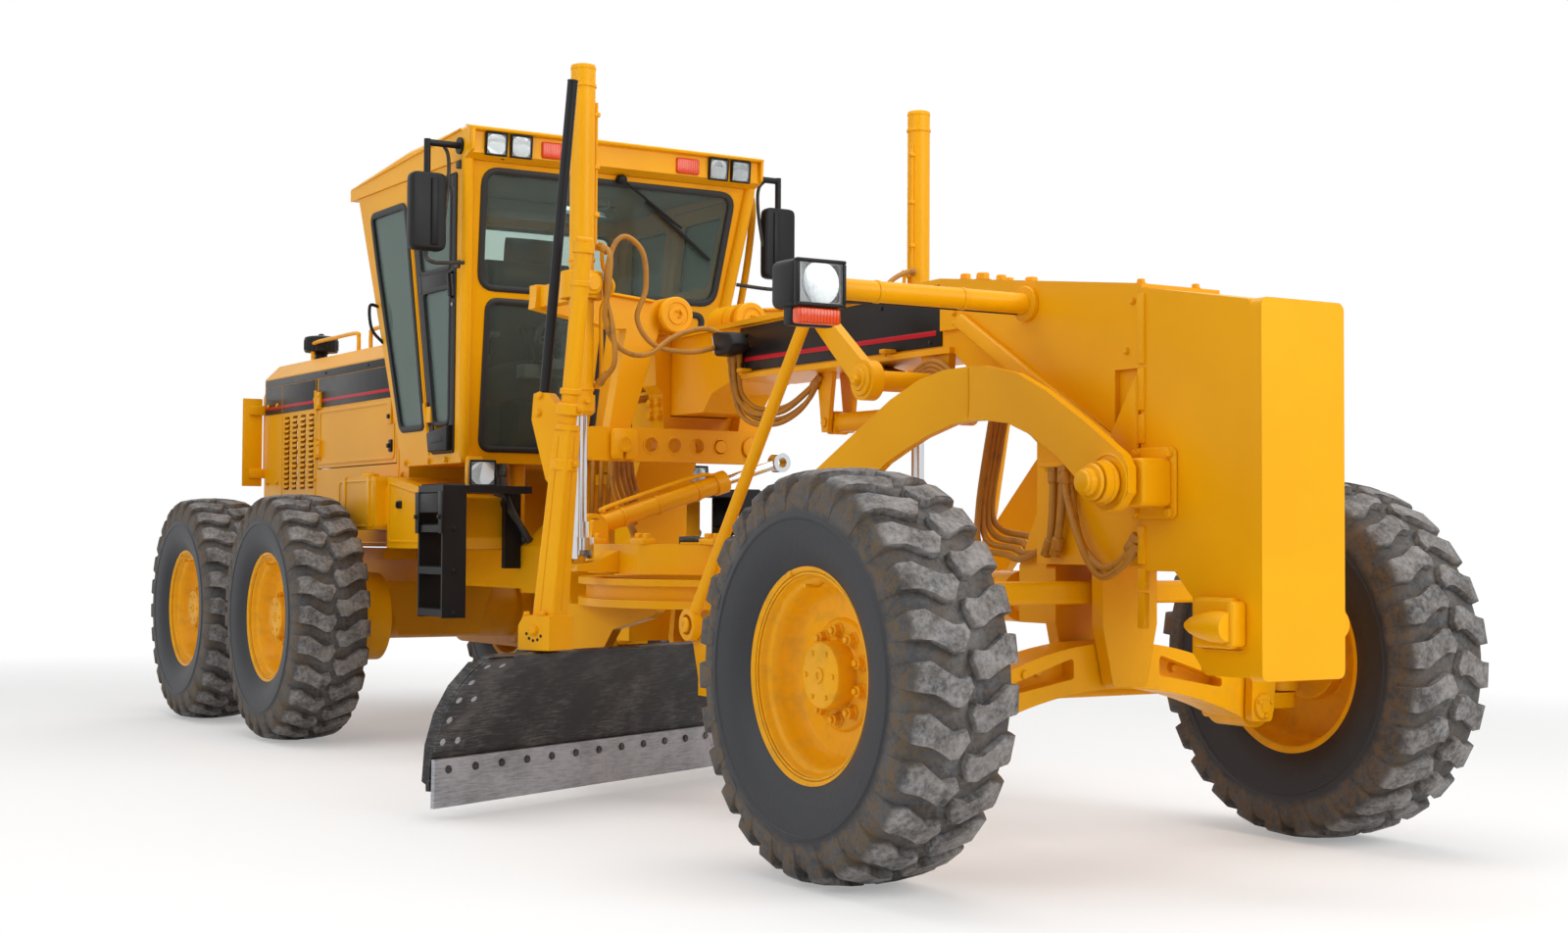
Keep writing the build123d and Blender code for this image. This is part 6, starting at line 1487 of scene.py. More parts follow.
def band(bench, corners, way, half, depth):
    """A rubber or steel frame that follows a closed line of corners, as a ribbon with rounded edges."""
    count = len(corners)
    middle_of = sum(corners, Vector()) / count
    shape = bmesh.new()
    rows = []
    for n, corner in enumerate(corners):
        along = (corners[(n + 1) % count] - corners[n - 1]).normalized()
        out = along.cross(way).normalized()
        if out.dot(corner - middle_of) < 0:
            out = -out
        rows.append([shape.verts.new(corner + out * a + way * b) for a, b in ((-half, 0),
            (-half, depth * 0.55), (-half * 0.5, depth), (half * 0.5, depth), (half, depth * 0.55),
            (half, 0))])
    for n in range(count):
        here, there = rows[n], rows[(n + 1) % count]
        for k in range(6):
            shape.faces.new((here[k], here[(k + 1) % 6], there[(k + 1) % 6], there[k]))
    bench.take(shape)


def glaze(bench, corners, way, pane_back=0.012, half=0.016, depth=0.010, glass=None):
    """A pane with its gasket.  way looks out of the cab."""
    bench.use(glass or window_glass)
    bench.plate([corner - way * pane_back for corner in corners], way * 0.005, 0.0)
    bench.use(gasket)
    band(bench, corners, way, half, depth)
    band(bench, [corner - way * (pane_back + 0.004) for corner in corners], way, half * 0.9,
        pane_back + 0.004)


cab_tilt_front = Vector((CAB_HIGH - CAB_LOW, 0, -(CAB_HEAD[1] - CAB_FOOT[1]))).normalized()
cab_tilt_rear = Vector((-(CAB_HIGH - CAB_LOW), 0, CAB_HEAD[0] - CAB_FOOT[0])).normalized()
front_glass = Bench("cab_front_glass", "rear_frame", window_glass)
windshield = rounded([(-0.690, 2.845), (0.690, 2.845), (0.650, 2.295), (-0.650, 2.295)], 0.075)
glaze(front_glass, [at(cab_front(z), y, z) for y, z in windshield], cab_tilt_front)
for side in (-1, 1):
    lower = rounded([(side * 0.040, 1.520), (side * 0.556, 1.520), (side * 0.600, 2.235),
        (side * 0.040, 2.235)], 0.050)
    glaze(front_glass, [at(cab_front(z), y, z) for y, z in lower], cab_tilt_front)
rear_window = rounded([(-0.640, 1.900), (0.640, 1.900), (0.700, 2.800), (-0.700, 2.800)], 0.060)
glaze(front_glass, [at(cab_rear(z), y, z) for y, z in rear_window], cab_tilt_rear)
front_glass.done()

side_glass = Bench("cab_side_glass", "rear_frame", window_glass)
for side in (-1, 1):
    way = Vector((0, side * (CAB_HIGH - CAB_LOW), -(CAB_HEAD_HALF - CAB_FOOT_HALF))).normalized()
    narrow = rounded([(-4.770, 1.640), (-4.455, 1.640), (-4.455, 2.770), (-4.930, 2.770),
        (-4.900, 2.500)], 0.045)
    glaze(side_glass, [at(x, side * cab_half(z), z) for x, z in narrow], way)
side_glass.done()

# %% [markdown]
# ## Cab doors
#
# Each door is a black-framed leaf in the yellow cab, with a tall lower pane, a small upper one and a
# black sill box at its foot.  The CAD door is yellow steel all round, so a thin black rubber-edged
# facing covers it and rides with it when the door swings.

# %% Door facings and handles
DOOR_REAR = -4.385
DOOR_INSET = 0.084
DOOR_FOOT, DOOR_HEAD = 1.512, 2.828
LOCK_Z = 2.220


def door_front(z):
    """The front edge of the door's opening at this height."""
    return cab_front(z) - DOOR_INSET


def door_line(low, high, inset):
    """Side-view outline inside the door, its edges moved in from the door opening."""
    return [(DOOR_REAR + inset, low), (door_front(low) - inset, low), (door_front(high) - inset,
        high), (DOOR_REAR + inset, high)]


for label, side in SIDES:
    door = Bench(f"cab_door_dress_{label}", f"cab_door_{label}", black_paint)
    way = Vector((0, side * (CAB_HIGH - CAB_LOW), -(CAB_HEAD_HALF - CAB_FOOT_HALF))).normalized()

    def on_door(points, lift=0.0005):
        return [at(x, side * cab_half(z), z) + way * lift for x, z in points]

    # Facing bars round the two panes.
    for low, high in ((DOOR_FOOT, 1.596), (2.314, 2.396), (2.774, DOOR_HEAD)):
        door.plate(on_door(door_line(low, high, 0.012)), way * 0.005, 0.0015)
    rear_bar = rectangle((DOOR_REAR + 0.012, DOOR_REAR + 0.066), (DOOR_FOOT, DOOR_HEAD))
    front_bar = [(door_front(DOOR_FOOT) - 0.066, DOOR_FOOT), (door_front(DOOR_FOOT) - 0.012,
        DOOR_FOOT), (door_front(DOOR_HEAD) - 0.012, DOOR_HEAD), (door_front(DOOR_HEAD) - 0.066,
        DOOR_HEAD)]
    for bar in (rear_bar, front_bar):
        door.plate(on_door(bar), way * 0.0056, 0.0015)
    # Sill box with its grab slot, and the door's outer rubber.
    sill = [(DOOR_REAR + 0.030, 1.512), (door_front(1.512) - 0.020, 1.512),
        (door_front(1.640) - 0.020, 1.640), (DOOR_REAR + 0.030, 1.610)]
    door.plate(on_door(sill), way * 0.034, 0.008, 3)
    door.use(gasket)
    door.plate(on_door([(DOOR_REAR + 0.090, 1.556), (door_front(1.57) - 0.080, 1.562),
        (door_front(1.59) - 0.080, 1.590), (DOOR_REAR + 0.090, 1.584)], 0.032), way * 0.004, 0.001)
    outline = rounded(door_line(1.505, 2.835, 0.009), 0.020)
    band(door, on_door(outline, 0.0), way, 0.0045, 0.007)
    for low, high in ((1.650, 2.310), (2.400, 2.770)):
        pane = rounded(door_line(low, high, 0.070), 0.034)
        glaze(door, on_door(pane, 0.004), way, 0.016, 0.010, 0.006)
    # Handle and its key barrel on the front stile, an arm rest rail inside.
    door.use(black_paint)
    grip = [(door_front(2.31) - 0.046, 2.255), (door_front(2.31) - 0.020, 2.262),
        (door_front(2.34) - 0.026, 2.372), (door_front(2.34) - 0.052, 2.366)]
    door.plate(on_door(grip, 0.018), way * 0.014, 0.005, 3)
    for x, z in (grip[0], grip[2]):
        spot = at(x, side * cab_half(z), z)
        door.rod(spot + way * 0.003, spot + way * 0.020, 0.007, 0.001, 12)
    door.use(plated)
    lock = at(door_front(LOCK_Z) - 0.035, side * cab_half(LOCK_Z), LOCK_Z)
    door.rod(lock + way * 0.004, lock + way * 0.012, 0.010, 0.002, 16)
    door.use(cab_plastic)
    door.tube([at(-4.25, side * (cab_half(2.0) - 0.075), 2.30),
        at(-4.23, side * (cab_half(2.0) - 0.105), 2.15), at(-4.19, side * (cab_half(1.8) - 0.105),
        1.85), at(-4.17, side * (cab_half(1.7) - 0.075), 1.70)], 0.012)
    door.done()

# %% [markdown]
# ## Roof lamps, wiper and pillar tubes
#
# Four work lamps and two amber lamps look forward from a recess under the roof's overhang.  A wiper
# hangs from the roof's edge and parks across the windshield.  The corner pillars are round tubes.

# %% Roof and windshield fittings
roof = Bench("roof_lamps", "rear_frame", yellow_paint)
for side in (-1, 1):
    for y in (0.545, 0.675):
        square_lamp(roof, at(-3.574, side * y, 2.952), (X - Z * 0.10).normalized(), 0.112, 0.112, 0.060)
    roof.use(black_paint)
    roof.block((-3.640, -3.604), (side * 0.300, side * 0.440), (2.908, 2.996), 0.006)
    roof.use(amber_lens)
    roof.block((-3.606, -3.574), (side * 0.305, side * 0.435), (2.912, 2.992), 0.010, 3)
roof.use(yellow_paint)
# Drip edge round the roof, the overhang's hood over the lamps, and the hatch handle.
roof.plate(side_view([(-3.592, 3.008), (-3.560, 3.012), (-3.556, 3.024), (-3.640, 3.046),
    (-3.660, 3.046)], -0.803), Y * 1.606, 0.003)
for side in (-1, 1):
    roof.plate(side_view([(-3.592, 2.905), (-3.566, 2.915), (-3.560, 3.016), (-3.592, 3.016)],
        side * 0.803), Y * -side * 0.014, 0.003)
    roof.tube(path((-5.196, side * 0.800, 2.946), (-4.80, side * 0.808, 2.968),
        (-3.70, side * 0.808, 3.030)), 0.006, 4, 8)
roof.block((-4.760, -4.640), (-0.700, -0.630), (3.000, 3.030), 0.010, 3)
roof.block((-4.730, -4.670), (-0.690, -0.640), (3.028, 3.046), 0.008, 3)
roof.use(gasket)
roof.turned(at(-3.632, -0.62, 2.897), -Z, [(0, 0), (0, 0.010), (0.006, 0.010), (0.006, 0)], 12)
roof.done()

wiper = Bench("wiper", "rear_frame", black_paint)


def on_front(y, z, out=0.0):
    return at(cab_front(z), y, z) + cab_tilt_front * out


wiper.rod(on_front(0.030, 2.868, -0.002), on_front(0.030, 2.868, 0.050), 0.020, 0.004, 20)
wiper.turned(on_front(0.030, 2.868, 0.034), cab_tilt_front, [(0, 0), (0, 0.024), (0.012, 0.022),
    (0.018, 0.010), (0.018, 0)], 20)
wiper.tube([on_front(0.030, 2.868, 0.040), on_front(0.160, 2.795, 0.034), on_front(0.330, 2.700,
    0.026), on_front(0.400, 2.662, 0.026)], 0.0065, 5, 8)
wiper.plate([on_front(0.185, 2.786, 0.020), on_front(0.178, 2.774, 0.020), on_front(0.585, 2.512,
    0.016), on_front(0.592, 2.524, 0.016)], cab_tilt_front * 0.010, 0.002)
wiper.use(gasket)
wiper.plate([on_front(0.186, 2.774, 0.006), on_front(0.182, 2.768, 0.006), on_front(0.584, 2.510,
    0.006), on_front(0.588, 2.516, 0.006)], cab_tilt_front * 0.016, 0.0)
wiper.done()

pillars = Bench("cab_pillars", "rear_frame", yellow_paint)
for side in (-1, 1):
    pillars.tube([at(cab_front(1.50) - 0.040, side * (cab_half(1.50) - 0.060), 1.475),
        at(cab_front(1.56) + 0.006, side * (cab_half(1.56) - 0.012), 1.560),
        at(cab_front(2.20) + 0.006, side * (cab_half(2.20) - 0.012), 2.200),
        at(cab_front(2.82) + 0.006, side * (cab_half(2.82) - 0.012), 2.820),
        at(cab_front(2.88) - 0.020, side * (cab_half(2.88) - 0.020), 2.882)], 0.030, 6, 16)
    for x, z in ((-4.420, 1.470), (-4.200, 1.470), (-4.740, 1.470)):
        pillars.bolt(at(x, side * (cab_half(z) + 0.0005), z), Y * side, 0.024, 0.011)
    # Seam strip between the door's opening and the rear window.
    pillars.tube([at(-4.412, side * (cab_half(1.52) + 0.001), 1.500),
        at(-4.412, side * (cab_half(2.86) + 0.001), 2.860)], 0.006, 2, 8, True)
    # Grab rail on the rear corner.
    pillars.use(black_paint)
    pillars.tube([at(-4.950, side * (cab_half(2.30) - 0.004), 2.300),
        at(-4.952, side * (cab_half(2.30) + 0.045), 2.300),
        at(-4.945, side * (cab_half(2.18) + 0.048), 2.180),
        at(-4.925, side * (cab_half(2.10) - 0.002), 2.105)], 0.009, 5, 8)
    pillars.use(yellow_paint)
pillars.done()

# %% [markdown]
# ## Mirrors
#
# The mirror heads are moulded black shells with the glass facing back.  Black wire arms hold each to
# the cab's pillar and roof, and a curved yellow tube also carries the left one.

# %% Mirror heads and arms
mirrors = Bench("mirror_dress", "rear_frame", black_paint)
for side in (-1, 1):
    mirrors.use(black_paint)
    shell = rounded(rectangle((side * 0.884, side * 1.066), (2.434, 2.806)), 0.040)
    mirrors.plate([at(-3.734, y, z) for y, z in shell], X * 0.066, 0.016, 3)
    mirrors.plate([at(-3.668, side * y, z) for y, z in ((0.930, 2.46), (0.965, 2.46),
        (0.965, 2.78), (0.930, 2.78))], X * 0.010, 0.006)
    mirrors.use(mirror_glass)
    glass_line = rounded(rectangle((side * 0.898, side * 1.052), (2.448, 2.792)), 0.030)
    mirrors.plate([at(-3.735, y, z) for y, z in glass_line], -X * 0.0025, 0.0)
    mirrors.use(black_hose)
    mirrors.tube([at(-3.700, side * 0.975, 2.440), at(-3.696, side * 0.975, 2.400),
        at(-3.690, side * 0.930, 2.380), at(-3.76, side * (cab_half(2.42) + 0.012), 2.400)], 0.010,
        6, 10)
    mirrors.tube(path((-3.700, side * 0.885, 2.60), (-3.712, side * 0.862, 2.78),
        (-3.714, side * 0.864, 2.90), (-3.700, side * 0.900, 2.950)), 0.009, 6, 10)
    for z in (2.400, 2.862):
        mirrors.block((cab_front(z) - 0.060, cab_front(z) - 0.010), (side * (cab_half(z) - 0.004),
            side * (cab_half(z) + 0.024)), (z - 0.018, z + 0.018), 0.005)
mirrors.use(yellow_paint)
left_tube = path((-3.800, 0.770, 2.900), (-3.790, 0.835, 2.895), (-3.792, 0.872, 2.840),
    (-3.812, 0.880, 2.700), (-3.860, 0.872, 2.450), (-3.920, 0.845, 2.180), (-3.935, 0.800, 2.120),
    (-3.940, 0.722, 2.110))
mirrors.tube(left_tube, 0.019, 6, 14)
mirrors.done()


# %% [markdown]
# ## Inside the cab
#
# A suspension seat, a console with its steering wheel and two rows of levers, and a trimmed ceiling can
# be seen through the glass.  The seat's cushions are stuffed and sewn: each is a rounded block whose
# middle swells and whose edge is drawn in along a piped seam.

# %% Seat cushions
def cushion(name, centre, width, depth, height, lean=0.0):
    """A sewn cushion: swollen in the middle, drawn in at its seam, with stitched channels across it."""
    shape = bmesh.new()
    across, along = 26, 22
    rows = {}
    for face_side in (1, -1):
        for i in range(across + 1):
            for j in range(along + 1):
                u, v = i / across * 2 - 1, j / along * 2 - 1
                edge = (1 - u ** 6) * (1 - v ** 6)
                swell = height * (0.30 + 0.20 * edge) * edge ** 0.35
                channel = 0.006 * math.exp(-((abs(u) - 0.52) / 0.05) ** 2) + 0.005 * math.exp(
                    -((v - 0.10) / 0.05) ** 2)
                shrink = 1 - 0.03 * (u * v) ** 2
                point = Vector((v * depth / 2 * shrink, u * width / 2 * shrink,
                    face_side * max(0.0, swell - (channel if face_side > 0 else 0) * edge)))
                rows[face_side, i, j] = shape.verts.new(point)
        for i in range(across):
            for j in range(along):
                shape.faces.new([rows[face_side, i, j], rows[face_side, i + 1, j],
                    rows[face_side, i + 1, j + 1], rows[face_side, i, j + 1]])
    bmesh.ops.remove_doubles(shape, verts=shape.verts, dist=1e-5)
    bmesh.ops.recalc_face_normals(shape, faces=shape.faces)
    bmesh.ops.rotate(shape, verts=shape.verts, cent=(0, 0, 0), matrix=Matrix.Rotation(lean, 3, "Y"))
    bmesh.ops.translate(shape, verts=shape.verts, vec=centre)
    for face in shape.faces:
        face.smooth = True
    mesh = bpy.data.meshes.new(name)
    shape.to_mesh(mesh)
    shape.free()
    mesh.materials.append(seat_cloth.material)
    piece = bpy.data.objects.new(name, mesh)
    bpy.context.scene.collection.objects.link(piece)
    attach(piece, "rear_frame")
    print(f"{name}: {len(mesh.polygons)} faces")
    return piece


cushion("seat_cushion", at(-4.455, 0, 1.950), 0.530, 0.500, 0.110)
cushion("seat_back", at(-4.585, 0, 2.270), 0.510, 0.540, 0.110, math.radians(-82))
cushion("seat_head_rest", at(-4.665, 0, 2.610), 0.290, 0.150, 0.090, math.radians(-82))

# %% Seat frame, levers and trim
inside = Bench("cab_inside", "rear_frame", cab_plastic)
for side in (-1, 1):
    inside.use(cab_plastic)
    inside.block((-4.640, -4.380), (side * 0.285, side * 0.345), (2.120, 2.150), 0.012, 3)
    inside.rod(at(-4.600, side * 0.300, 2.130), at(-4.600, side * 0.262, 2.020), 0.016, 0.002, 12)
    inside.block((-4.560, -4.400), (-0.200, 0.200), (1.796, 1.812), 0.004)
inside.use(black_paint)
for side in (-1, 1):
    for n in range(5):
        x, y = -4.150 - 0.004 * n, side * (0.085 + 0.038 * n)
        inside.tube(path((-4.130, y, 1.955), (x - 0.02, y, 2.06), (x - 0.075, y * 1.02, 2.145)),
            0.006, 4, 8)
        inside.turned(at(x - 0.072, y * 1.02, 2.140), Vector((-0.4, 0, 1)), [(0, 0), (0, 0.009),
            (0.012, 0.015), (0.026, 0.014), (0.034, 0.006), (0.035, 0)], 14)
inside.use(cab_plastic)
for side in (-1, 1):
    inside.block((-4.190, -4.090), (side * 0.062, side * 0.285), (1.890, 1.962), 0.012, 3)
inside.block((-4.160, -4.070), (-0.075, 0.075), (2.085, 2.160), 0.012, 3)
inside.block((-4.060, -4.010), (-0.200, 0.200), (1.930, 1.990), 0.012, 3)
inside.plate(side_view([(-4.130, 2.092), (-4.068, 2.128), (-4.052, 2.180), (-4.072, 2.188),
    (-4.140, 2.110)], -0.100), Y * 0.200, 0.006)
inside.use(gasket)
inside.plate(plan_view(rectangle((-4.740, -4.090), (-0.570, 0.570)), 1.5105), Z * 0.008, 0.002)
for y in (-0.170, 0.170):
    inside.plate(side_view([(-4.090, 1.560), (-4.050, 1.660), (-4.040, 1.655), (-4.080, 1.555)],
        y - 0.045), Y * 0.090, 0.003)
inside.use(cab_plastic)
inside.plate(side_view([(-5.000, 2.862), (-3.790, 2.862), (-3.800, 2.878), (-5.000, 2.878)],
    -0.690), Y * 1.380, 0.004)
inside.block((-4.760, -4.500), (-0.330, 0.330), (2.800, 2.862), 0.016, 3)
inside.block((-4.880, -4.740), (-0.590, 0.590), (1.512, 1.880), 0.016, 3)
for side in (-1, 1):
    inside.block((-4.680, -4.440), (side * 0.430, side * 0.580), (1.512, 1.900), 0.016, 3)
inside.use(plated)
inside.tube(path((-3.930, -0.10, 2.80), (-3.93, -0.10, 2.765), (-3.935, 0.0, 2.75),
    (-3.93, 0.10, 2.765), (-3.93, 0.10, 2.80)), 0.006, 4, 8)
inside.use(mirror_glass)
inside.block((-3.950, -3.944), (-0.150, 0.150), (2.715, 2.775), 0.002)
inside.done()

# %% [markdown]
# ## Hood
#
# The engine hood wears a black panel with a red line, hinged doors with latches, louvres pressed in
# front of the vents, and grab rails for the walk to the filler cap.  The precleaner is a turned bowl
# with slats round its skirt.

# %% Hood panels and louvres
hood = Bench("hood_dress", "rear_frame", yellow_paint)
HOOD_HALF, HOOD_TOP = 0.540, 2.165
for side in (-1, 1):
    face = side * (HOOD_HALF + 0.0005)
    hood.use(panel_black)
    hood.plate(side_view(rectangle((-7.420, -5.020), (2.022, 2.066)), face), Y * side * 0.004,
        0.0015)
    for x in (-6.30, -5.60):
        hood.bolt(at(x, face + side * 0.004, 2.046), Y * side, 0.014, 0.005, False)
    # Pressed louvres, each a hooded slat over its vent.
    hood.use(yellow_paint)
    for start in (-7.050, -6.900, -6.750, -6.600):
        for n in range(14):
            low = 1.382 + n * 0.031
            hood.plate(path((start + 0.006, face, low + 0.018),
                (start + 0.006, face + side * 0.010, low + 0.002),
                (start + 0.006, face + side * 0.009, low - 0.001),
                (start + 0.006, face - side * 0.006, low + 0.014)), X * 0.084, 0.0)
    # Seams and screws of the fixed panels.
    for x in (-6.470, -5.130, -7.090):
        hood.tube(path((x, face, 1.060), (x, face, 2.015)), 0.004, 2, 6, True)
    for x in (-7.360, -7.180, -6.480, -5.080):
        for z in (1.120, 1.420, 1.900):
            hood.bolt(at(x, face, z), Y * side, 0.022, 0.010)
    hood.tube(path((-7.400, face, 1.050), (-5.000, face, 1.050)), 0.006, 2, 6, True)
    # Grab rails along the top.
    for start, end in ((-6.950, -6.150), (-5.950, -5.150)):
        y = side * 0.400
        hood.tube([at(start, y, HOOD_TOP - 0.004), at(start, y, HOOD_TOP + 0.085),
            at(start + 0.040, y, HOOD_TOP + 0.115), at((start + end) / 2, y, HOOD_TOP + 0.118),
            at(end - 0.040, y, HOOD_TOP + 0.115), at(end, y, HOOD_TOP + 0.085),
            at(end, y, HOOD_TOP - 0.004)], 0.012, 6, 12)
        for x in (start, end):
            hood.ring(at(x, y, HOOD_TOP - 0.001), Z, 0.011, 0.024, 0.008)
hood.use(black_paint)
bowl = at(-7.000, -0.330, HOOD_TOP)
hood.turned(bowl, Z, [(0, 0), (0, 0.040), (0.050, 0.038), (0.060, 0.050), (0.064, 0.098),
    (0.070, 0.103), (0.150, 0.104), (0.158, 0.098), (0.163, 0.080), (0.170, 0.030), (0.171, 0)], 36)
for n in range(24):
    angle = math.tau * n / 24
    spot = bowl + Vector((0.1035 * math.cos(angle), 0.1035 * math.sin(angle), 0.078))
    hood.rod(spot, spot + Z * 0.060, 0.0035, 0.001, 6)
hood.turned(bowl + Z * 0.170, Z, [(0, 0), (0, 0.018), (0.008, 0.017), (0.012, 0.008), (0.012, 0)], 20)
# Exhaust stub and filler cap.
hood.turned(at(-6.400, 0.260, HOOD_TOP - 0.002), Z, [(0, 0), (0, 0.085), (0.012, 0.083),
    (0.014, 0.060), (0.110, 0.058), (0.114, 0.050), (0.060, 0.048), (0.060, 0)], 32)
hood.turned(at(-5.300, -0.050, HOOD_TOP - 0.002), Z, [(0, 0), (0, 0.060), (0.020, 0.058),
    (0.030, 0.052), (0.034, 0.020), (0.034, 0)], 28)
hood.done()


def striped_panel(bench, x_span, side):
    """A black panel with its red line, on the hood's side between two places along it."""
    face = side * (HOOD_HALF + 0.0005)
    bench.use(panel_black)
    bench.plate(side_view(rectangle(x_span, (1.846, 2.0185)), face), Y * side * 0.003, 0.001)
    bench.use(stripe_red)
    bench.plate(side_view(rectangle(x_span, (1.878, 1.896)), face), Y * side * 0.0045, 0.0008)


for label, side in SIDES:
    hatch = Bench(f"hood_door_dress_{label}", f"hood_door_{label}", panel_black)
    face = side * (HOOD_HALF + 0.0005)
    striped_panel(hatch, (-6.425, -5.172), side)
    hatch.use(yellow_paint)
    # Pressed border and two latches.
    border = rounded(rectangle((-6.400, -5.205), (1.515, 1.820)), 0.030)
    band(hatch, [at(x, face, z) for x, z in border], Y * side, 0.010, 0.005)
    hatch.use(black_paint)
    for z in (1.580, 1.740):
        hatch.block((-5.268, -5.222), (face, face + side * 0.012), (z - 0.034, z + 0.034), 0.006)
        hatch.block((-5.262, -5.232), (face + side * 0.010, face + side * 0.026),
            (z - 0.012, z + 0.012), 0.005)
    hatch.use(yellow_paint)
    for z in (1.545, 1.835):
        for dz in (0.020, 0.080):
            hatch.bolt(at(-6.392, side * 0.5570, z + dz), Y * side, 0.016, 0.007, False)
    hatch.done()

rear_panels = Bench("hood_rear_panels", "rear_frame", panel_black)
for side in (-1, 1):
    for x_span in ((-7.422, -6.452), (-5.148, -5.000)):
        striped_panel(rear_panels, x_span, side)
rear_panels.done()

# %% [markdown]
# ## Rear of the machine
#
# The radiator's fine core shows behind its slatted grille.  At each side of it a bracket carries a
# lamp and an amber strip, and a marker plate stands out beyond the hood.  Each side has its grab rail.

# %% Rear fittings
rear = Bench("rear_fittings", "rear_frame", yellow_paint)
rear.use(black_hose)
for n in range(56):
    y = -0.378 + n * 0.01374
    rear.block((-7.419, -7.4165), (y - 0.0012, y + 0.0012), (1.210, 1.950), 0.0)
rear.use(yellow_paint)
for side in (-1, 1):
    rear.block((-7.500, -7.446), (side * 0.440, side * 0.530), (1.090, 1.140), 0.004)
    rear.plate(side_view(rectangle((-7.460, -7.440), (1.140, 1.420)), side * 0.450),
        Y * side * 0.070, 0.004)
    for z in (1.180, 1.380):
        rear.bolt(at(-7.461, side * 0.485, z), -X, 0.026, 0.012)
    for z in (0.760, 0.940):
        for y in (0.380, 0.200):
            rear.bolt(at(-7.601, side * y, z), -X, 0.040, 0.020)
    square_lamp(rear, at(-7.462, side * 0.485, 1.270), -X, 0.090, 0.120, 0.020)
    rear.use(amber_lens)
    rear.block((-7.472, -7.458), (side * 0.450, side * 0.520), (1.345, 1.365), 0.004)
    rear.use(yellow_paint)
    # Grab rail beside the radiator.
    rear.tube(path((-7.438, side * 0.470, 1.500), (-7.480, side * 0.470, 1.510),
        (-7.492, side * 0.470, 1.560), (-7.492, side * 0.470, 1.900), (-7.480, side * 0.470,
        1.950), (-7.438, side * 0.470, 1.960)), 0.012, 6, 12)
    rear.plate(side_view([(-7.470, 1.470), (-7.440, 1.470), (-7.440, 1.990), (-7.470, 1.960)],
        side * 0.530), Y * side * 0.012, 0.003)
    # Marker plate that stands out beside the hood, on two ears.
    rear.block((-7.452, -7.438), (side * 0.556, side * 0.682), (1.400, 1.955), 0.005)
    for z in (1.480, 1.880):
        rear.block((-7.438, -7.424), (side * 0.530, side * 0.640), (z - 0.030, z + 0.030), 0.004)
        rear.bolt(at(-7.4525, side * 0.600, z), -X, 0.022, 0.010)
rear.turned(at(-7.530, 0, 1.002), Z, [(-0.010, 0), (-0.010, 0.0255), (0.014, 0.0255),
    (0.016, 0.040), (0.026, 0.038), (0.030, 0.020), (0.030, 0)], 28)
rear.done()

# %% [markdown]
# ## Steps, boxes and tandems
#
# The ladders hang on two black straps and have serrated treads.  The tandem cases carry inspection
# covers, plugs and the flange bolts of their chain housings.

# %% Treads, box latches and the side work lamp
treads = Bench("step_treads", "rear_frame", black_paint)
for side in (-1, 1):
    low, high = sorted((side * 0.764, side * 0.876))
    for z in (0.740, 0.940, 1.140, 1.330):
        for n in range(9):
            x = -3.975 + n * 0.033
            treads.plate(path((x, low, z - 0.001), (x + 0.014, low, z - 0.001),
                (x + 0.007, low, z + 0.008)), Y * (high - low), 0.0)
    for x in (-3.998, -3.692):
        for z in (0.723, 0.923, 1.123):
            treads.bolt(at(x + (-0.0005 if x < -3.8 else 0.0005), side * 0.820, z),
                X * (-1 if x < -3.8 else 1), 0.018, 0.008)
    for x in (-3.990, -3.700):
        treads.plate(side_view([(x - 0.020, 1.10), (x + 0.020, 1.10), (x + 0.026, 1.300),
            (x - 0.026, 1.300)], side * 0.882), Y * side * 0.010, 0.003)
        treads.bolt(at(x, side * 0.892, 1.180), Y * side, 0.020, 0.009)
    treads.plate(side_view(rectangle((-4.004, -3.700), (1.200, 1.292)), side * 0.884),
        Y * side * 0.004, 0.002)
treads.done()

boxes = Bench("side_box_fittings", "rear_frame", yellow_paint)
for side in (-1, 1):
    face = side * 0.7005
    lid = rounded([(-4.850, 1.060), (-4.110, 1.060), (-4.060, 1.110), (-4.060, 1.250),
        (-4.850, 1.365)], 0.020)
    band(boxes, [at(x, face, z) for x, z in lid], Y * side, 0.008, 0.004)
    for x in (-4.700, -4.300):
        boxes.use(black_paint)
        boxes.block((x - 0.030, x + 0.030), (face, face + side * 0.010), (1.230, 1.270), 0.005)
        boxes.block((x - 0.010, x + 0.010), (face + side * 0.009, face + side * 0.022),
            (1.235, 1.265), 0.004)
        boxes.use(yellow_paint)
    tank = rounded(rectangle((-5.440, -4.920), (1.140, 1.380)), 0.030)
    band(boxes, [at(x, side * 0.7605, z) for x, z in tank], Y * side, 0.006, 0.003)
    for x in (-5.360, -5.000):
        boxes.block((x - 0.022, x + 0.022), (side * 0.556, side * 0.766), (1.398, 1.404), 0.002)
        boxes.block((x - 0.022, x + 0.022), (side * 0.760, side * 0.766), (1.118, 1.402), 0.002)
    boxes.turned(at(-5.180, side * 0.680, 1.398), Z, [(0, 0), (0, 0.048), (0.016, 0.046),
        (0.024, 0.040), (0.030, 0.016), (0.030, 0)], 28)
    # Work lamp on its bracket below the cab's front corner.
    boxes.block((-4.000, -3.960), (side * 0.560, side * 0.640), (1.330, 1.480), 0.004)
    boxes.use(black_paint)
    boxes.block((-3.965, -3.890), (side * 0.590, side * 0.615), (1.345, 1.400), 0.004)
    square_lamp(boxes, at(-3.862, side * 0.603, 1.395), (X + Y * side * 0.25).normalized(), 0.130,
        0.130, 0.070)
    boxes.use(yellow_paint)
boxes.done()

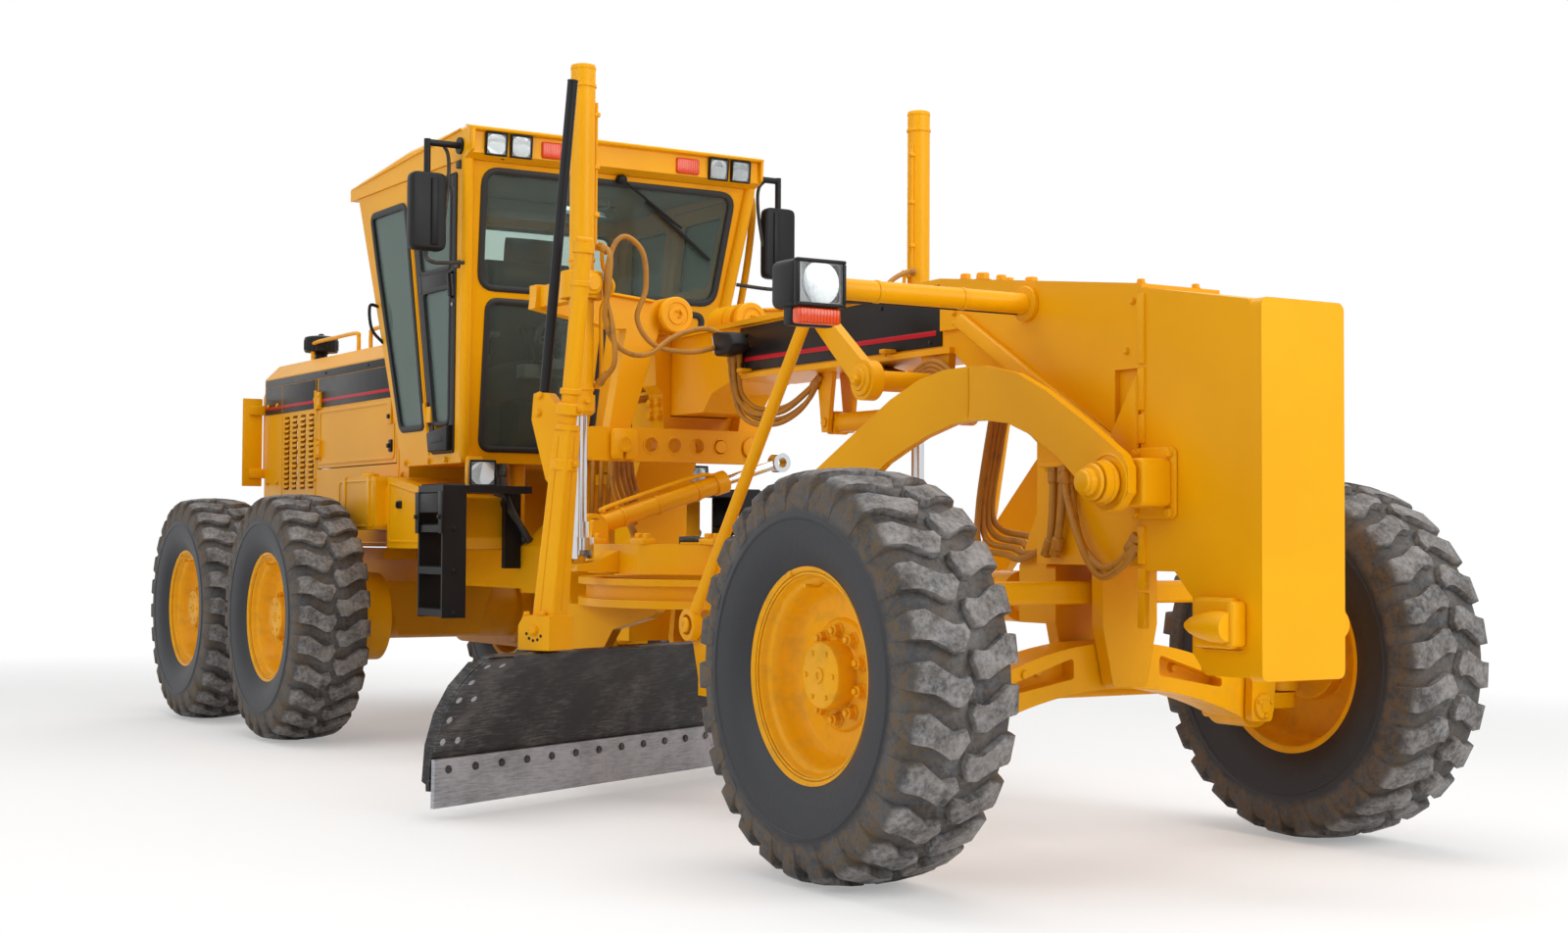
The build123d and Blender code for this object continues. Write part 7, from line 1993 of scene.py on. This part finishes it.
TANDEM_AXLES, TANDEM_AXLE_Z = (-6.865, -5.335), 0.655
for label, side in SIDES:
    case = Bench(f"tandem_fittings_{label}", f"tandem_{label}", yellow_paint)
    face = side * 0.7905
    for x in TANDEM_AXLES:
        for n in range(12):
            angle = math.tau * n / 12
            case.bolt(at(x + 0.138 * math.cos(angle), face - side * 0.0005, TANDEM_AXLE_Z
                + 0.138 * math.sin(angle)), Y * side, 0.022, 0.011)
        case.ring(at(x, face - side * 0.001, TANDEM_AXLE_Z), Y * side, 0.108, 0.160, 0.006, 0.002, 48)
    cover = rounded(rectangle((-6.380, -5.820), (0.520, 0.790)), 0.060)
    case.plate([at(x, side * 0.610, z) for x, z in cover], Y * -side * 0.006, 0.002)
    top_cover = rectangle((-6.300, -5.900), (side * 0.640, side * 0.760))
    case.plate(plan_view(top_cover, 0.889), Z * 0.010, 0.003)
    for x in (-6.270, -5.930):
        for y in (0.665, 0.735):
            case.bolt(at(x, side * y, 0.899), Z, 0.024, 0.012)
    for x in (-7.060, -5.140):
        case.turned(at(x, face - side * 0.001, 0.560), Y * side, [(0, 0), (0, 0.022),
            (0.010, 0.020), (0.010, 0.012), (0.020, 0.011), (0.020, 0)], 20)
    for end in (-6.800, -5.400):
        case.weld(path((-6.100, side * 0.7895, 0.8895), (end, side * 0.7895, 0.8895)), 0.004)
    case.done()

# %% Hoses behind the blade lift and under the cab
rear_hoses = Bench("hitch_hoses", "rear_frame", hose_cover)
for n in range(6):
    y = -0.05 - 0.045 * n
    rear_hoses.hose(path((-3.630, y, 1.500 - 0.012 * n), (-3.560, y - 0.030, 1.545),
        (-3.480, y - 0.060, 1.520 - 0.02 * n), (-3.440, y - 0.080, 1.380 - 0.04 * n),
        (-3.480, y - 0.070, 1.240 - 0.05 * n), (-3.600, y - 0.030, 1.180 - 0.05 * n)), 0.012)
rear_hoses.use(black_hose)
for n in range(4):
    x = -3.940 - 0.04 * n
    rear_hoses.hose(path((x, -0.300 - 0.02 * n, 1.040), (x + 0.060, -0.360, 1.100 + 0.02 * n),
        (x + 0.020, -0.420, 1.220), (x - 0.060, -0.430, 1.340), (x - 0.100, -0.420, 1.446)), 0.013)
rear_hoses.done()
saddle_hoses = Bench("saddle_hoses", "front_frame", hose_cover)
for n in range(5):
    y = -0.190 - 0.022 * n
    saddle_hoses.hose(path((-2.990, -0.155, 1.930 - 0.05 * n), (-3.020, y - 0.040,
        1.900 - 0.05 * n), (-3.030, y - 0.070, 1.740 - 0.05 * n), (-3.000, y - 0.060,
        1.580 - 0.04 * n), (-3.060, y - 0.020, 1.420 - 0.03 * n),
        (-3.130, -0.155, 1.300 - 0.05 * n)), 0.012)
saddle_hoses.done()
print("rear dressed")

# %% [markdown] ## Finishing
